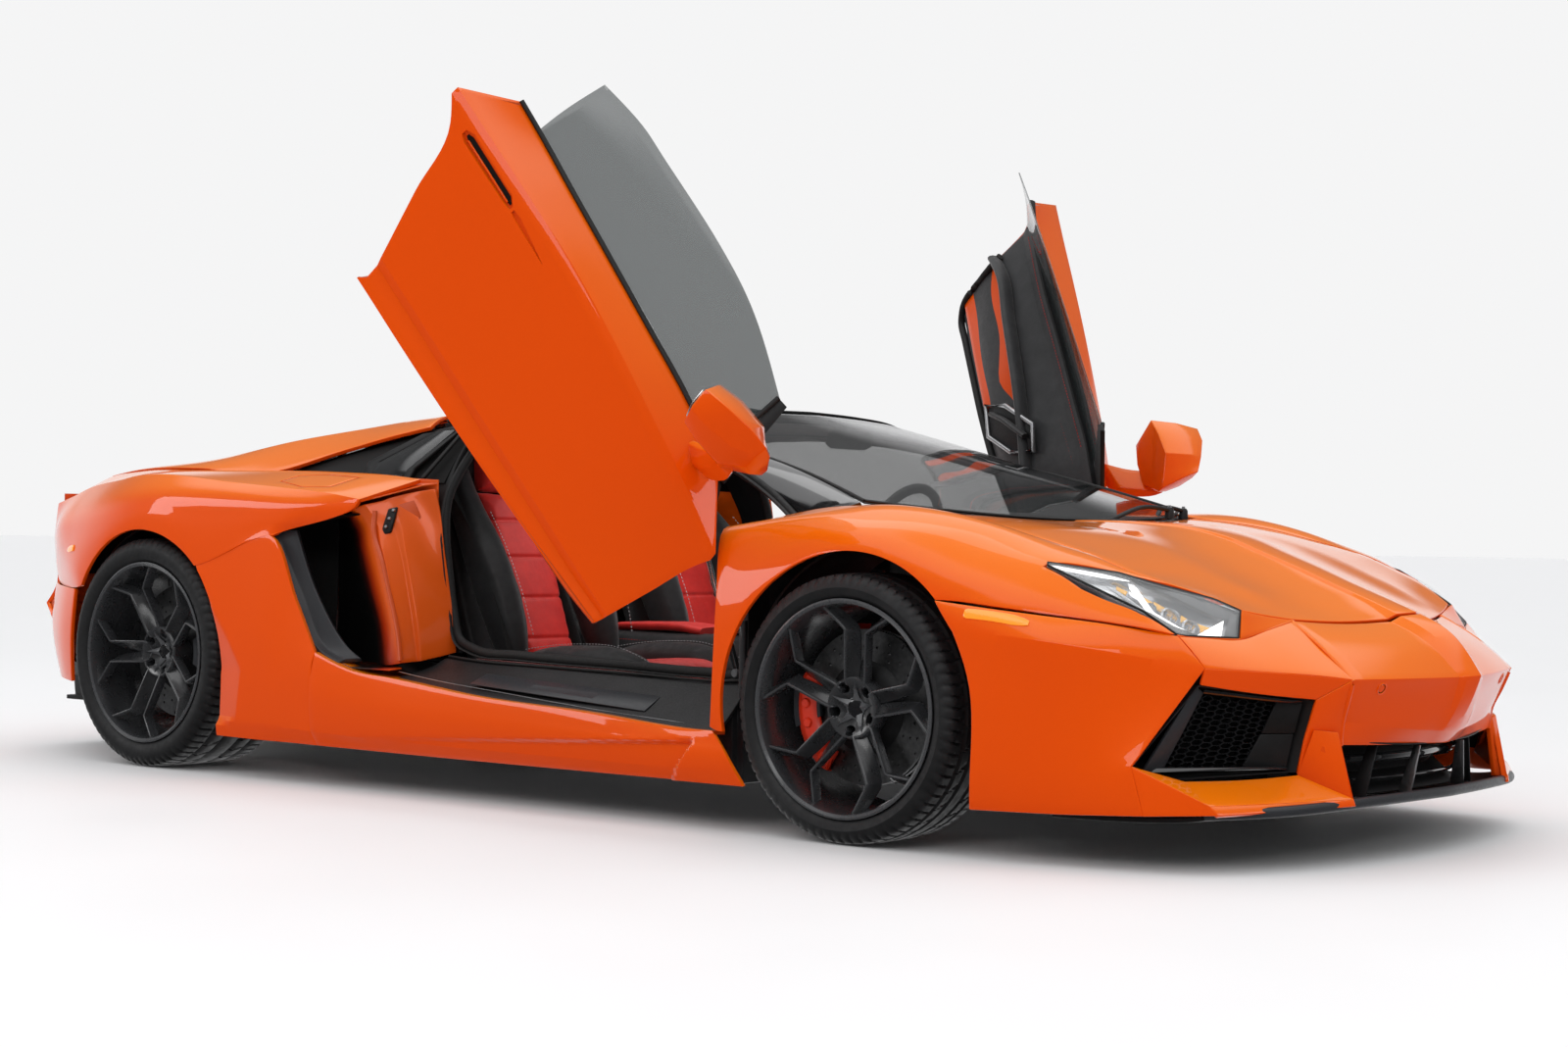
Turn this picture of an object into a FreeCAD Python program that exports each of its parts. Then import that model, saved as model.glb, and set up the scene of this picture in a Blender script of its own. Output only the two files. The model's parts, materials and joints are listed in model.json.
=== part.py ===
"""Mid-engined two-seat supercar with scissor doors, built as an assembly of separate closed solids, in millimetres.

Frame: +X forward, +Y to the car's left, +Z up. The origin is on the ground, below the centre of the length and width.
Body panels are skins: a short table of cross-sections, lofted with flat facets and given the panel's thickness inwards.
Every table is the left half (y > 0) and is mirrored for the right.
"""
import FreeCAD, Part
import math
import os

os.makedirs("parts", exist_ok=True)
for old in os.listdir("parts"):
    if old.endswith(".step"):
        os.remove(os.path.join("parts", old))

V = FreeCAD.Vector

# ---------------------------------------------------------------- driving dimensions (mm)
LENGTH = 4780.0            # nose tip to diffuser
NOSE_X = LENGTH / 2
TAIL_X = -LENGTH / 2
WHEELBASE = 2700.0
FRONT_AXLE_X = 1200.0
REAR_AXLE_X = FRONT_AXLE_X - WHEELBASE
FRONT_TYRE_R, FRONT_TYRE_W, FRONT_WHEEL_Y = 330.5, 255.0, 858.0
REAR_TYRE_R, REAR_TYRE_W, REAR_WHEEL_Y = 355.0, 335.0, 833.0
FRONT_RIM_R, REAR_RIM_R = 268.0, 281.0
FRONT_ARCH_R, REAR_ARCH_R = 382.0, 378.0
SKIN = 16.0                # body panel thickness
GAP = 6.0                  # shut line
DOOR_PIVOT = V(854, 900, 663)        # left door hinge
DOOR_AXIS = V(0.036, 1.0, -0.487)   # left door hinge axis; the mirrored one is on the right
DOOR_OPEN = 59.0           # degrees, the doors are stored raised
STEER_PIN_Y = 782.0        # kingpin
GROUND_CLEAR = 110.0


# ---------------------------------------------------------------- helpers
def vec(p):
    return V(*p)


def tri(a, b, c):
    if (b - a).cross(c - a).Length < 1e-3:
        return None
    return Part.Face(Part.makePolygon([a, b, c, a]))


def solid_of(faces):
    sol = Part.Solid(Part.Shell([f for f in faces if f is not None]))
    if sol.Volume < 0:
        sol = sol.reversed() if hasattr(sol, "reversed") else Part.Solid(sol.Shells[0].reversed())
    return sol


def loft2(outer, inner):
    """Closed solid between two equal grids of points, every cell split into two flat facets."""
    n, m = len(outer), len(outer[0])
    fs = []
    for i in range(n - 1):
        for j in range(m - 1):
            for g, s in ((outer, 1), (inner, -1)):
                a, b, c, d = g[i][j], g[i][j + 1], g[i + 1][j + 1], g[i + 1][j]
                if s > 0:
                    fs += [tri(a, b, c), tri(a, c, d)]
                else:
                    fs += [tri(a, c, b), tri(a, d, c)]
    rim = [(i, 0) for i in range(n)] + [(n - 1, j) for j in range(1, m)] + [(i, m - 1) for i in range(n - 2, -1, -1)] + [(0, j) for j in range(m - 2, 0, -1)]
    for k in range(len(rim)):
        (i, j), (p, q) = rim[k], rim[(k + 1) % len(rim)]
        a, b, c, d = outer[i][j], outer[p][q], inner[p][q], inner[i][j]
        fs += [tri(a, b, c), tri(a, c, d)]
    return solid_of(fs)


def normals(g):
    n, m = len(g), len(g[0])
    out = [[V(0, 0, 0) for _ in range(m)] for _ in range(n)]
    for i in range(n - 1):
        for j in range(m - 1):
            a, b, c, d = g[i][j], g[i][j + 1], g[i + 1][j + 1], g[i + 1][j]
            for t in ((a, b, c, (i, j), (i, j + 1), (i + 1, j + 1)), (a, c, d, (i, j), (i + 1, j + 1), (i + 1, j))):
                nn = (t[1] - t[0]).cross(t[2] - t[0])
                for (p, q) in t[3:]:
                    out[p][q] = out[p][q] + nn
    for i in range(n):
        for j in range(m):
            if out[i][j].Length > 1e-9:
                out[i][j].normalize()
    return out


def skin(rows, t=SKIN, away=V(0, 0, 0)):
    """Panel of thickness t: rows are the cross-sections of its outer face; the thickness goes towards the point `away`."""
    g = [[vec(p) for p in r] for r in rows]
    nn = normals(g)
    i, j = len(g) // 2, len(g[0]) // 2
    s = 1.0 if nn[i][j].dot(away - g[i][j]) > 0 else -1.0
    inner = [[g[a][b] + nn[a][b] * (t * s) for b in range(len(g[0]))] for a in range(len(g))]
    return loft2(g, inner)


def slab(rows, d):
    """Panel whose thickness runs along one direction: d is the shift from the outer to the inner face, per column."""
    g = [[vec(p) for p in r] for r in rows]
    inner = [[p + vec(d[j]) for j, p in enumerate(r)] for r in g]
    return loft2(g, inner)


def box(x0, x1, y0, y1, z0, z1):
    return Part.makeBox(abs(x1 - x0), abs(y1 - y0), abs(z1 - z0), V(min(x0, x1), min(y0, y1), min(z0, z1)))


def cyl(r, p, axis, length):
    return Part.makeCylinder(r, length, p, axis)


def tube(ro, ri, p, axis, length):
    return cyl(ro, p, axis, length).cut(cyl(ri, p, axis, length))


def prism(points, axis, length):
    """Straight prism on a flat outline."""
    w = [vec(p) for p in points]
    return Part.Face(Part.makePolygon(w + [w[0]])).extrude(axis * length)


def bar(a, b, w, h):
    """Square bar from a to b."""
    a, b = vec(a), vec(b)
    d = b - a
    s = Part.makeBox(w, h, d.Length, V(-w / 2, -h / 2, 0))
    s.Placement = FreeCAD.Placement(a, FreeCAD.Rotation(V(0, 0, 1), d))
    return s


def mir(s):
    return s.mirror(V(0, 0, 0), V(0, 1, 0))


def both(s):
    return [s, mir(s)]


def raised(s, side):
    """A door part from its shut place to the stored, raised place."""
    s = s.copy()
    if side == "left":
        s.rotate(DOOR_PIVOT, DOOR_AXIS, DOOR_OPEN)
        return s
    m = mir(s)
    m.rotate(V(DOOR_PIVOT.x, -DOOR_PIVOT.y, DOOR_PIVOT.z), V(-DOOR_AXIS.x, DOOR_AXIS.y, -DOOR_AXIS.z), DOOR_OPEN)
    return m


REPORT = []


def put(name, shapes):
    shapes = shapes if isinstance(shapes, list) else [shapes]
    solids = [s for sh in shapes for s in sh.Solids if s.Volume > 200]
    bad = [i for i, s in enumerate(solids) if not s.isValid() or s.Volume < 50]
    c = Part.Compound(solids) if len(solids) > 1 else solids[0]
    c.exportStep("parts/%s.step" % name)
    b = c.BoundBox
    REPORT.append((name, len(solids), round(sum(s.Volume for s in solids) / 1e6, 3), bad))
    print("%-26s solids %2d  litres %8.3f  x %6.0f..%6.0f y %6.0f..%6.0f z %5.0f..%5.0f %s" % (
        name, len(solids), sum(s.Volume for s in solids) / 1e6, b.XMin, b.XMax, b.YMin, b.YMax, b.ZMin, b.ZMax, "BAD %s" % bad if bad else ""))


X, Y, Z = V(1, 0, 0), V(0, 1, 0), V(0, 0, 1)
front_arch = cyl(FRONT_ARCH_R, V(FRONT_AXLE_X + 4, 600, 332), Y, 600)
rear_arch = cyl(REAR_ARCH_R, V(REAR_AXLE_X, 600, 357), Y, 600)

# ---------------------------------------------------------------- front lid (luggage lid)
# columns: centre, edge of the raised band, crease, mid, side shut line
LID = [
    [(1312, 0, 798), (1306, 100, 798), (1296, 170, 797), (1252, 500, 803), (1212, 692, 812)],
    [(1520, 0, 786), (1512, 92, 784), (1500, 205, 766), (1480, 500, 765), (1460, 714, 781)],
    [(1770, 0, 744), (1764, 80, 741), (1690, 285, 724), (1715, 530, 712), (1702, 720, 726)],
    [(1965, 0, 680), (1957, 74, 677), (1897, 360, 650), (1900, 545, 646), (1880, 655, 668)],
    [(2218, 0, 587), (2192, 66, 582), (2117, 395, 573), (2082, 488, 583), (2049, 562, 593)],
]
# the two halves are one pressing: the mirrored table is joined row by row
full = [[(x, -y, z) for (x, y, z) in reversed(r)] + r[1:] for r in LID]
front_lid = skin(full, 16, V(1700, 0, 0))
put("front_lid", front_lid)

# ---------------------------------------------------------------- front wings
# columns: lid shut line, ridge, shoulder, upper lip of the arch, arch lip
WING = [
    [(800, 778, 776), (778, 862, 772), (772, 925, 742), (790, 962, 600), (786, 980, 270)],
    [(930, 770, 812), (930, 848, 793), (930, 915, 750), (905, 960, 640), (862, 982, 270)],
    [(1090, 740, 830), (1090, 832, 808), (1090, 905, 770), (1090, 948, 715), (1080, 972, 500)],
    [(1204, 702, 816), (1215, 812, 796), (1220, 893, 768), (1220, 945, 732), (1220, 975, 600)],
    [(1452, 724, 783), (1464, 806, 764), (1470, 880, 722), (1460, 935, 668), (1452, 980, 618)],
    [(1702, 730, 726), (1708, 790, 714), (1716, 862, 684), (1722, 905, 635), (1722, 944, 580)],
    [(1880, 666, 666), (1890, 706, 652), (1938, 820, 590), (1965, 812, 565), (2006, 790, 540)],
]
wing = skin(WING, SKIN, V(1300, 300, 300)).cut(front_arch)

# ---------------------------------------------------------------- front bumper
# nose cover; columns: centre, edge of the band, ridge to the outer point
NOSE = [
    [(2230, 0, 584), (2204, 66, 578), (2128, 400, 567)],
    [(2318, 0, 533), (2298, 52, 526), (2200, 432, 508)],
    [(2388, 0, 436), (2378, 42, 432), (2279, 446, 441)],
    [(2372, 0, 380), (2362, 46, 378), (2262, 440, 388)],
    [(2330, 0, 303), (2322, 60, 303), (2241, 425, 336)],
    [(2302, 0, 268), (2294, 60, 268), (2228, 420, 280)],
]
nose_full = [[(x, -y, z) for (x, y, z) in reversed(r)] + r[1:] for r in NOSE]
nose = skin(nose_full, SKIN, V(1700, 0, 300))
# corner; columns: shut line under the wing and lamp, shoulder crease, lower crease, bottom edge
CORNER = [
    [(1452, 984, 606), (1530, 990, 530), (1578, 986, 223), (1572, 976, 118)],
    [(1722, 944, 572), (1730, 980, 524), (1760, 962, 230), (1760, 952, 122)],
    [(2010, 786, 533), (2072, 772, 462), (1961, 900, 241), (1985, 900, 130)],
]
corner = skin(CORNER, SKIN, V(1500, 300, 300)).cut(front_arch)
# brow over the side intake; columns: lamp edge, shoulder crease, lower lip of the brow
BROW = [
    [(2014, 784, 533), (2076, 770, 464), (2066, 770, 424)],
    [(2074, 622, 524), (2172, 612, 452), (2140, 640, 402)],
    [(2120, 436, 563), (2279, 450, 441), (2214, 500, 388)],
]
brow = skin(BROW, SKIN, V(1900, 500, 300))
# post between the intake and the nose
POST = [
    [(2279, 452, 438), (2216, 505, 386)],
    [(2244, 436, 330), (2192, 505, 300)],
    [(2232, 432, 282), (2172, 505, 216)],
]
post = skin(POST, SKIN, V(2000, 500, 300))
# lower lip with its fin; columns: rear, front top, front bottom
LIP = [
    [(1961, 900, 238), (1975, 896, 225), (1985, 896, 132)],
    [(2001, 806, 200), (2118, 820, 159), (2128, 812, 140)],
    [(2172, 506, 212), (2279, 440, 168), (2279, 440, 146)],
]
lip = slab(LIP, [(-6, -6, -18), (-16, -6, -14), (-26, -6, -4)])
fin = prism([(2150, 452, 190), (2276, 452, 150), (2241, 452, 306), (2206, 452, 314)], Y, 26)
bumper = nose
for p in (corner, brow, post, lip, fin):
    for q in both(p):
        bumper = bumper.fuse(q)

put("front_intake_grilles", both(slab([[(1990, 796, 215), (2032, 766, 418)], [(2150, 520, 222), (2176, 520, 380)]], [(-30, -20, 0)] * 2)))

# splitter; columns: outer edge, inner edge
SPLIT = [
    [(1740, 0, 120), (1740, 420, 120), (1740, 880, 120)],
    [(2000, 0, 116), (2000, 420, 118), (1930, 850, 120)],
    [(2318, 0, 150), (2266, 420, 150), (2092, 800, 136)],
]
split_full = [[(x, -y, z) for (x, y, z) in reversed(r)] + r[1:] for r in SPLIT]
splitter = slab(split_full, [(0, 0, -14)] * 5)
put("front_splitter", splitter)
put("front_bumper", bumper.cut(splitter))

# ---------------------------------------------------------------- headlamps
# columns: upper edge, lower edge of the clear cover
LAMP = [
    [(1712, 860, 694), (1716, 866, 688)],
    [(1896, 714, 648), (1938, 818, 588)],
    [(2000, 612, 613), (2008, 780, 536)],
    [(2054, 584, 586), (2074, 622, 528)],
]
lamp = slab(LAMP, [(-40, -40, -60), (-40, -40, -46)])
lamp_hole = prism([(1700, 876, 480), (1706, 857, 480), (1897, 705, 480), (2000, 598, 480), (2070, 560, 480), (2110, 640, 480), (2014, 796, 480), (1942, 826, 480)], Z, 280)
wing = wing.cut(lamp_hole)
put("front_wings", both(wing))
put("headlamps", both(lamp))

# ---------------------------------------------------------------- side skirts
# columns: bottom, low, crease, top shut line
SKIRT = [
    [(905, 990, 123), (880, 994, 160), (830, 988, 220), (800, 984, 254)],
    [(374, 972, 117), (374, 990, 150), (374, 990, 235), (374, 984, 278)],
    [(-70, 972, 116), (-70, 992, 150), (-70, 996, 255), (-70, 992, 300)],
    [(-526, 982, 118), (-526, 1000, 155), (-526, 1004, 280), (-526, 1000, 336)],
    [(-700, 988, 119), (-700, 1004, 160), (-700, 1006, 300), (-697, 1000, 386)],
    [(-930, 996, 120), (-930, 1008, 165), (-930, 1008, 312), (-930, 986, 712)],
    [(-1118, 1000, 122), (-1118, 1010, 170), (-1126, 1010, 320), (-1236, 1004, 618)],
]
skirt = skin(SKIRT, SKIN, V(0, 700, 300)).cut(rear_arch)
put("side_skirts", both(skirt))

# ---------------------------------------------------------------- rear wings
# columns: inner edge, shoulder crease, side, lower edge
REAR_WING = [
    [(-480, 790, 880), (-580, 934, 824), (-700, 950, 772), (-838, 962, 743)],
    [(-750, 790, 892), (-850, 942, 852), (-890, 970, 800), (-930, 985, 724)],
    [(-1160, 782, 905), (-1160, 952, 893), (-1200, 988, 800), (-1238, 1006, 630)],
    [(-1500, 788, 925), (-1500, 940, 905), (-1500, 988, 830), (-1500, 1012, 720)],
    [(-1780, 770, 925), (-1780, 892, 886), (-1790, 955, 790), (-1800, 990, 580)],
    [(-2000, 730, 908), (-1990, 830, 866), (-1975, 905, 770), (-1895, 968, 545)],
    [(-2290, 610, 868), (-2272, 757, 818), (-2285, 757, 712), (-2240, 778, 562)],
]
rear_wing = skin(REAR_WING, SKIN, V(-1300, 300, 300)).cut(rear_arch)
FLAP = [(-705, 822, 0), (-742, 905, 0), (-850, 925, 0), (-975, 898, 0), (-960, 835, 0), (-850, 812, 0)]
flap_hole = prism([(x, y, 760) for (x, y, _) in FLAP], Z, 220)
right_wing = mir(rear_wing).cut(mir(flap_hole))
put("rear_wings", [rear_wing, right_wing])
cx = sum(p[0] for p in FLAP) / len(FLAP)
cy = sum(p[1] for p in FLAP) / len(FLAP)
flap_in = prism([(cx + (x - cx) * 0.91, cy + (y - cy) * 0.88, 760) for (x, y, _) in FLAP], Z, 220)
put("fuel_flap", mir(skin(REAR_WING, 8, V(-1300, 300, 300)).common(flap_in)))

# ---------------------------------------------------------------- roof buttresses
# columns: inner edge, ridge, outer lower edge
BUTTRESS = [
    [(-640, 470, 1094), (-640, 540, 1088), (-610, 628, 1052)],
    [(-950, 498, 1056), (-950, 560, 1060), (-925, 690, 984)],
    [(-1240, 528, 1010), (-1240, 622, 1016), (-1186, 774, 912)],
    [(-1500, 580, 970), (-1500, 682, 964), (-1500, 780, 932)],
    [(-1850, 620, 930), (-1850, 690, 928), (-1850, 744, 922)],
    [(-2030, 620, 912), (-2030, 670, 910), (-2030, 716, 906)],
]
put("roof_buttresses", both(skin(BUTTRESS, SKIN, V(-1300, 0, 300)).cut(rear_wing)))
# vent panel below the buttress; columns: upper edge, lower edge
VENT = [
    [(-412, 652, 1056), (-446, 746, 880)],
    [(-620, 632, 1040), (-640, 764, 893)],
    [(-925, 684, 976), (-925, 766, 905)],
    [(-1150, 748, 914), (-1150, 766, 906)],
]
put("quarter_vents", both(skin(VENT, 10, V(-900, 300, 700)).cut(skin(BUTTRESS, SKIN, V(-1300, 0, 300)))))

# ---------------------------------------------------------------- roof and glass
# columns: centre, quarter, shoulder, rail
ROOF = [
    [(322, 4, 1104), (312, 250, 1099), (296, 430, 1088), (274, 548, 1068)],
    [(0, 4, 1130), (0, 250, 1126), (0, 430, 1114), (0, 566, 1088)],
    [(-300, 4, 1136), (-300, 250, 1132), (-300, 430, 1120), (-300, 554, 1098)],
    [(-628, 4, 1120), (-628, 250, 1116), (-628, 430, 1106), (-600, 550, 1090)],
]
put("roof_panels", both(skin(ROOF, 20, V(0, 0, 300))))
WIND = [
    [(1288, 0, 800), (1262, 350, 806), (1190, 620, 822), (1112, 776, 836)],
    [(1020, 0, 902), (1002, 300, 901), (950, 560, 900), (880, 700, 906)],
    [(700, 0, 1003), (690, 280, 1000), (650, 480, 992), (596, 632, 978)],
    [(330, 0, 1106), (320, 250, 1100), (304, 430, 1088), (282, 540, 1068)],
]
wind_full = [[(x, -y, z) for (x, y, z) in reversed(r)] + r[1:] for r in WIND]
put("windscreen", skin(wind_full, 6, V(700, 0, 300)))

# cabin frame: pillars and rails; columns: glass side, door side
FRAME = [
    [(1106, 786, 832), (1040, 806, 812), (930, 800, 800)],
    [(878, 708, 904), (850, 738, 884), (800, 756, 864)],
    [(592, 640, 980), (580, 672, 972), (570, 700, 958)],
    [(268, 562, 1066), (262, 612, 1054), (250, 626, 1040)],
    [(0, 572, 1084), (0, 590, 1078), (0, 597, 1066)],
    [(-300, 560, 1094), (-300, 570, 1090), (-300, 577, 1080)],
    [(-600, 556, 1086), (-600, 566, 1080), (-600, 572, 1070)],
]
frame = skin(FRAME, 24, V(200, 0, 700))
# B post, from the rail to the rear bulkhead
BPOST = [
    [(-400, 570, 1058), (-470, 566, 1056), (-590, 560, 1050)],
    [(-402, 712, 902), (-470, 712, 900), (-600, 712, 896)],
    [(-394, 748, 700), (-460, 748, 700), (-598, 748, 700)],
    [(-354, 742, 385), (-420, 742, 385), (-598, 742, 385)],
]
bpost = slab(BPOST, [(0, -60, 0)] * 3)
put("cabin_frame", both(frame.fuse(bpost).cut(wing)))

# ---------------------------------------------------------------- tub: floor, sills, bulkheads
floor = box(-724, 1000, -500, 500, 112, 142).fuse(box(-724, 800, -840, 840, 112, 142))
for s in (1, -1):
    sill = prism([(-724, s * 660, 112), (-724, s * 880, 112), (-724, s * 880, 300), (-724, s * 790, 366), (-724, s * 660, 366)], X, 1504)
    floor = floor.fuse(sill)
    floor = floor.fuse(box(780, 800, s * 484, s * 860, 112, 530))
    floor = floor.fuse(box(780, 1000, s * 484, s * 500, 112, 530))
floor = floor.fuse(box(-724, -700, -740, 740, 112, 860)).fuse(box(980, 1000, -500, 500, 112, 530))
luggage = box(1360, 1860, -310, 310, 290, 600).cut(box(1370, 1850, -300, 300, 300, 700))
put("chassis_tub", [floor.removeSplitter(), luggage])

# pillar and duct wall between the door and the side intake; columns: outer edge at the door, outer edge at the duct, duct end
PILLAR = [
    [(-476, 792, 850), (-580, 882, 800), (-616, 872, 790), (-860, 760, 780)],
    [(-396, 768, 700), (-500, 900, 692), (-560, 890, 690), (-860, 760, 690)],
    [(-356, 758, 430), (-400, 922, 424), (-455, 905, 424), (-860, 760, 424)],
    [(-350, 766, 385), (-380, 935, 350), (-440, 930, 350), (-860, 780, 350)],
]
put("intake_ducts", both(skin(PILLAR, 12, V(-400, 300, 500)).cut(floor).cut(bpost).cut(rear_wing)))
blade = prism([(-905, 955, 726), (-700, 955, 398), (-560, 955, 352), (-600, 955, 398), (-690, 955, 440), (-850, 955, 735)], Y, 28)
put("intake_blades", both(blade))


# ---------------------------------------------------------------- doors (drawn shut, stored raised)
# columns: belt, shoulder crease, side, top of the groove, flare, bottom edge
DOOR = [
    [(-463, 770, 897), (-565, 935, 837), (-480, 948, 690), (-362, 968, 417), (-358, 980, 368), (-365, 992, 335)],
    [(-200, 776, 864), (-200, 934, 806), (-180, 946, 640), (-160, 962, 395), (-160, 974, 352), (-160, 988, 320)],
    [(100, 802, 826), (100, 936, 762), (110, 946, 600), (120, 962, 368), (120, 972, 334), (120, 985, 302)],
    [(405, 828, 780), (400, 940, 702), (410, 948, 560), (420, 962, 342), (420, 970, 312), (420, 983, 283)],
    [(605, 838, 720), (620, 938, 654), (632, 946, 520), (642, 962, 312), (645, 968, 288), (650, 980, 266)],
    [(662, 862, 716), (758, 932, 618), (756, 946, 500), (718, 962, 305), (712, 968, 284), (706, 977, 266)],
]
# the same columns on the lining side
DOOR_IN = [
    [(-400, 738, 888), (-372, 765, 800), (-340, 722, 690), (-335, 725, 450), (-337, 800, 405), (-345, 885, 360)],
    [(-200, 744, 858), (-200, 758, 790), (-190, 718, 640), (-190, 722, 432), (-190, 800, 398), (-190, 885, 348)],
    [(100, 768, 820), (100, 772, 745), (100, 722, 600), (100, 726, 416), (100, 800, 385), (100, 885, 334)],
    [(405, 794, 772), (400, 792, 690), (400, 740, 560), (400, 740, 402), (400, 806, 370), (400, 885, 320)],
    [(600, 806, 712), (606, 826, 645), (606, 812, 520), (606, 820, 380), (606, 850, 345), (606, 900, 305)],
    [(650, 842, 708), (690, 866, 612), (690, 860, 500), (690, 866, 360), (690, 880, 325), (690, 915, 295)],
]
door = loft2([[vec(p) for p in r] for r in DOOR], [[vec(p) for p in r] for r in DOOR_IN])
# side glass; columns: belt, middle, top
GLASS = [
    [(-380, 738, 896), (-384, 680, 965), (-386, 595, 1063)],
    [(-230, 746, 890), (-240, 680, 966), (-250, 591, 1073)],
    [(0, 764, 872), (0, 690, 958), (0, 608, 1056)],
    [(190, 778, 858), (180, 705, 944), (170, 626, 1040)],
    [(400, 800, 828), (370, 735, 912), (334, 653, 1013)],
    [(590, 806, 806), (576, 770, 870), (558, 719, 948)],
]
glass = slab(GLASS, [(0, -5, 0)] * 3)
# mirror: stalk and head; sections of the head from the inner to the outer end
stalk = bar((548, 852, 712), (625, 985, 842), 44, 60)
HEAD = [
    [(530, 955, 805), (505, 950, 925), (452, 1120, 930), (470, 1132, 835)],
    [(600, 955, 800), (585, 955, 945), (545, 1090, 940), (560, 1075, 822)],
    [(698, 955, 862), (694, 958, 872), (650, 1052, 938), (655, 1045, 870)],
]
head_faces = []
for i in range(2):
    for j in range(4):
        a, b, c, d = [vec(p) for p in (HEAD[i][j], HEAD[i][(j + 1) % 4], HEAD[i + 1][(j + 1) % 4], HEAD[i + 1][j])]
        head_faces += [tri(a, b, c), tri(a, c, d)]
for i in (0, 2):
    a, b, c, d = [vec(p) for p in HEAD[i]]
    head_faces += [tri(a, b, c), tri(a, c, d)]
head = solid_of(head_faces)
mirror = head.fuse(stalk).cut(door)
for side in ("left", "right"):
    put("door_" + side, raised(door, side))
    put("door_glass_" + side, raised(glass, side))
    put("door_mirror_" + side, raised(mirror, side))

# ---------------------------------------------------------------- engine lid: frame with slats, hinged at the roof
ELID = [
    [(-652, -460, 1094), (-652, 0, 1112), (-652, 460, 1094)],
    [(-950, -490, 1052), (-950, 0, 1072), (-950, 490, 1052)],
    [(-1240, -520, 1008), (-1240, 0, 1030), (-1240, 520, 1008)],
    [(-1500, -572, 970), (-1500, 0, 996), (-1500, 572, 970)],
    [(-1850, -612, 930), (-1850, 0, 954), (-1850, 612, 930)],
    [(-2020, -612, 912), (-2020, 0, 936), (-2020, 612, 912)],
]
elid = skin(ELID, 22, V(-1300, 0, 300))
elid = elid.cut(box(-1580, -760, -380, 380, 800, 1200))
for k in range(6):
    x = -790 - k * 140
    z = 1080 - (k * 140) * 0.15
    slat = prism([(x, -392, z), (x - 110, -392, z - 52), (x - 114, -392, z - 42), (x - 6, -392, z + 10)], Y, 784)
    elid = elid.fuse(slat)
put("engine_lid", elid)

# ---------------------------------------------------------------- tail
spoiler = slab([[(-2046, -600, 908), (-2046, 0, 932), (-2046, 600, 908)], [(-2300, -560, 872), (-2316, 0, 926), (-2300, 560, 872)]], [(0, 0, -20)] * 3)
put("rear_spoiler", spoiler)
# tail panel under the spoiler; columns: centre, mid, corner
REAR = [
    [(-2335, 0, 850), (-2326, 400, 850), (-2290, 600, 845), (-2282, 738, 800)],
    [(-2335, 0, 740), (-2326, 400, 738), (-2300, 650, 730), (-2292, 750, 706)],
    [(-2330, 0, 560), (-2318, 400, 560), (-2285, 700, 560), (-2246, 774, 556)],
    [(-2368, 0, 480), (-2360, 400, 480), (-2328, 700, 482), (-2302, 776, 482)],
    [(-2350, 0, 420), (-2342, 400, 420), (-2295, 690, 420), (-2252, 784, 422)],
    [(-2335, 0, 330), (-2335, 400, 330), (-2335, 640, 300), (-2318, 702, 290)],
]
rear_full = [[(x, -y, z) for (x, y, z) in reversed(r)] + r[1:] for r in REAR]
rear_panel = skin(rear_full, SKIN, V(-1700, 0, 500))
# side of the bumper behind the wheel; columns: top, mid, bottom
RSIDE = [
    [(-1884, 966, 540), (-1905, 965, 400), (-1925, 945, 240)],
    [(-2110, 866, 548), (-2110, 880, 400), (-2100, 860, 250)],
    [(-2232, 784, 556), (-2246, 790, 424), (-2306, 708, 292)],
]
for y in (-108, -36, 36, 108):
    rear_panel = rear_panel.cut(cyl(40, V(-2400, y, 392), X, 140))
rear_panel = rear_panel.cut(rear_wing).cut(mir(rear_wing))
put("rear_bumper", [rear_panel] + both(skin(RSIDE, SKIN, V(-1700, 300, 400)).cut(rear_arch)))
put("tail_lamps", both(slab([[(-2333, 380, 720), (-2335, 380, 640)], [(-2312, 650, 716), (-2308, 660, 650)]], [(-12, 0, 0)] * 2)))
diff = box(-2376, -1960, -640, 640, 150, 164)
for y in (-600, -360, -150, 150, 360, 600):
    diff = diff.fuse(prism([(-1960, y - 5, 164), (-2376, y - 5, 164), (-2390, y - 5, 260), (-2040, y - 5, 300)], Y, 10))
put("rear_diffuser", diff)
silencer = box(-2285, -2080, -330, 330, 330, 470)
for y in (-108, -36, 36, 108):
    silencer = silencer.fuse(tube(33, 28, V(-2376, y, 392), X, 100))
put("exhaust", silencer)
plate = prism([(-2368, -170, 500), (-2368, -170, 620), (-2340, -170, 620), (-2340, -170, 560), (-2364, -170, 504)], Y, 340)
for y in (-89, 89):
    plate = plate.cut(cyl(3.25, V(-2370, y, 590), X, 40))
put("plate_bracket", plate)

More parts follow.
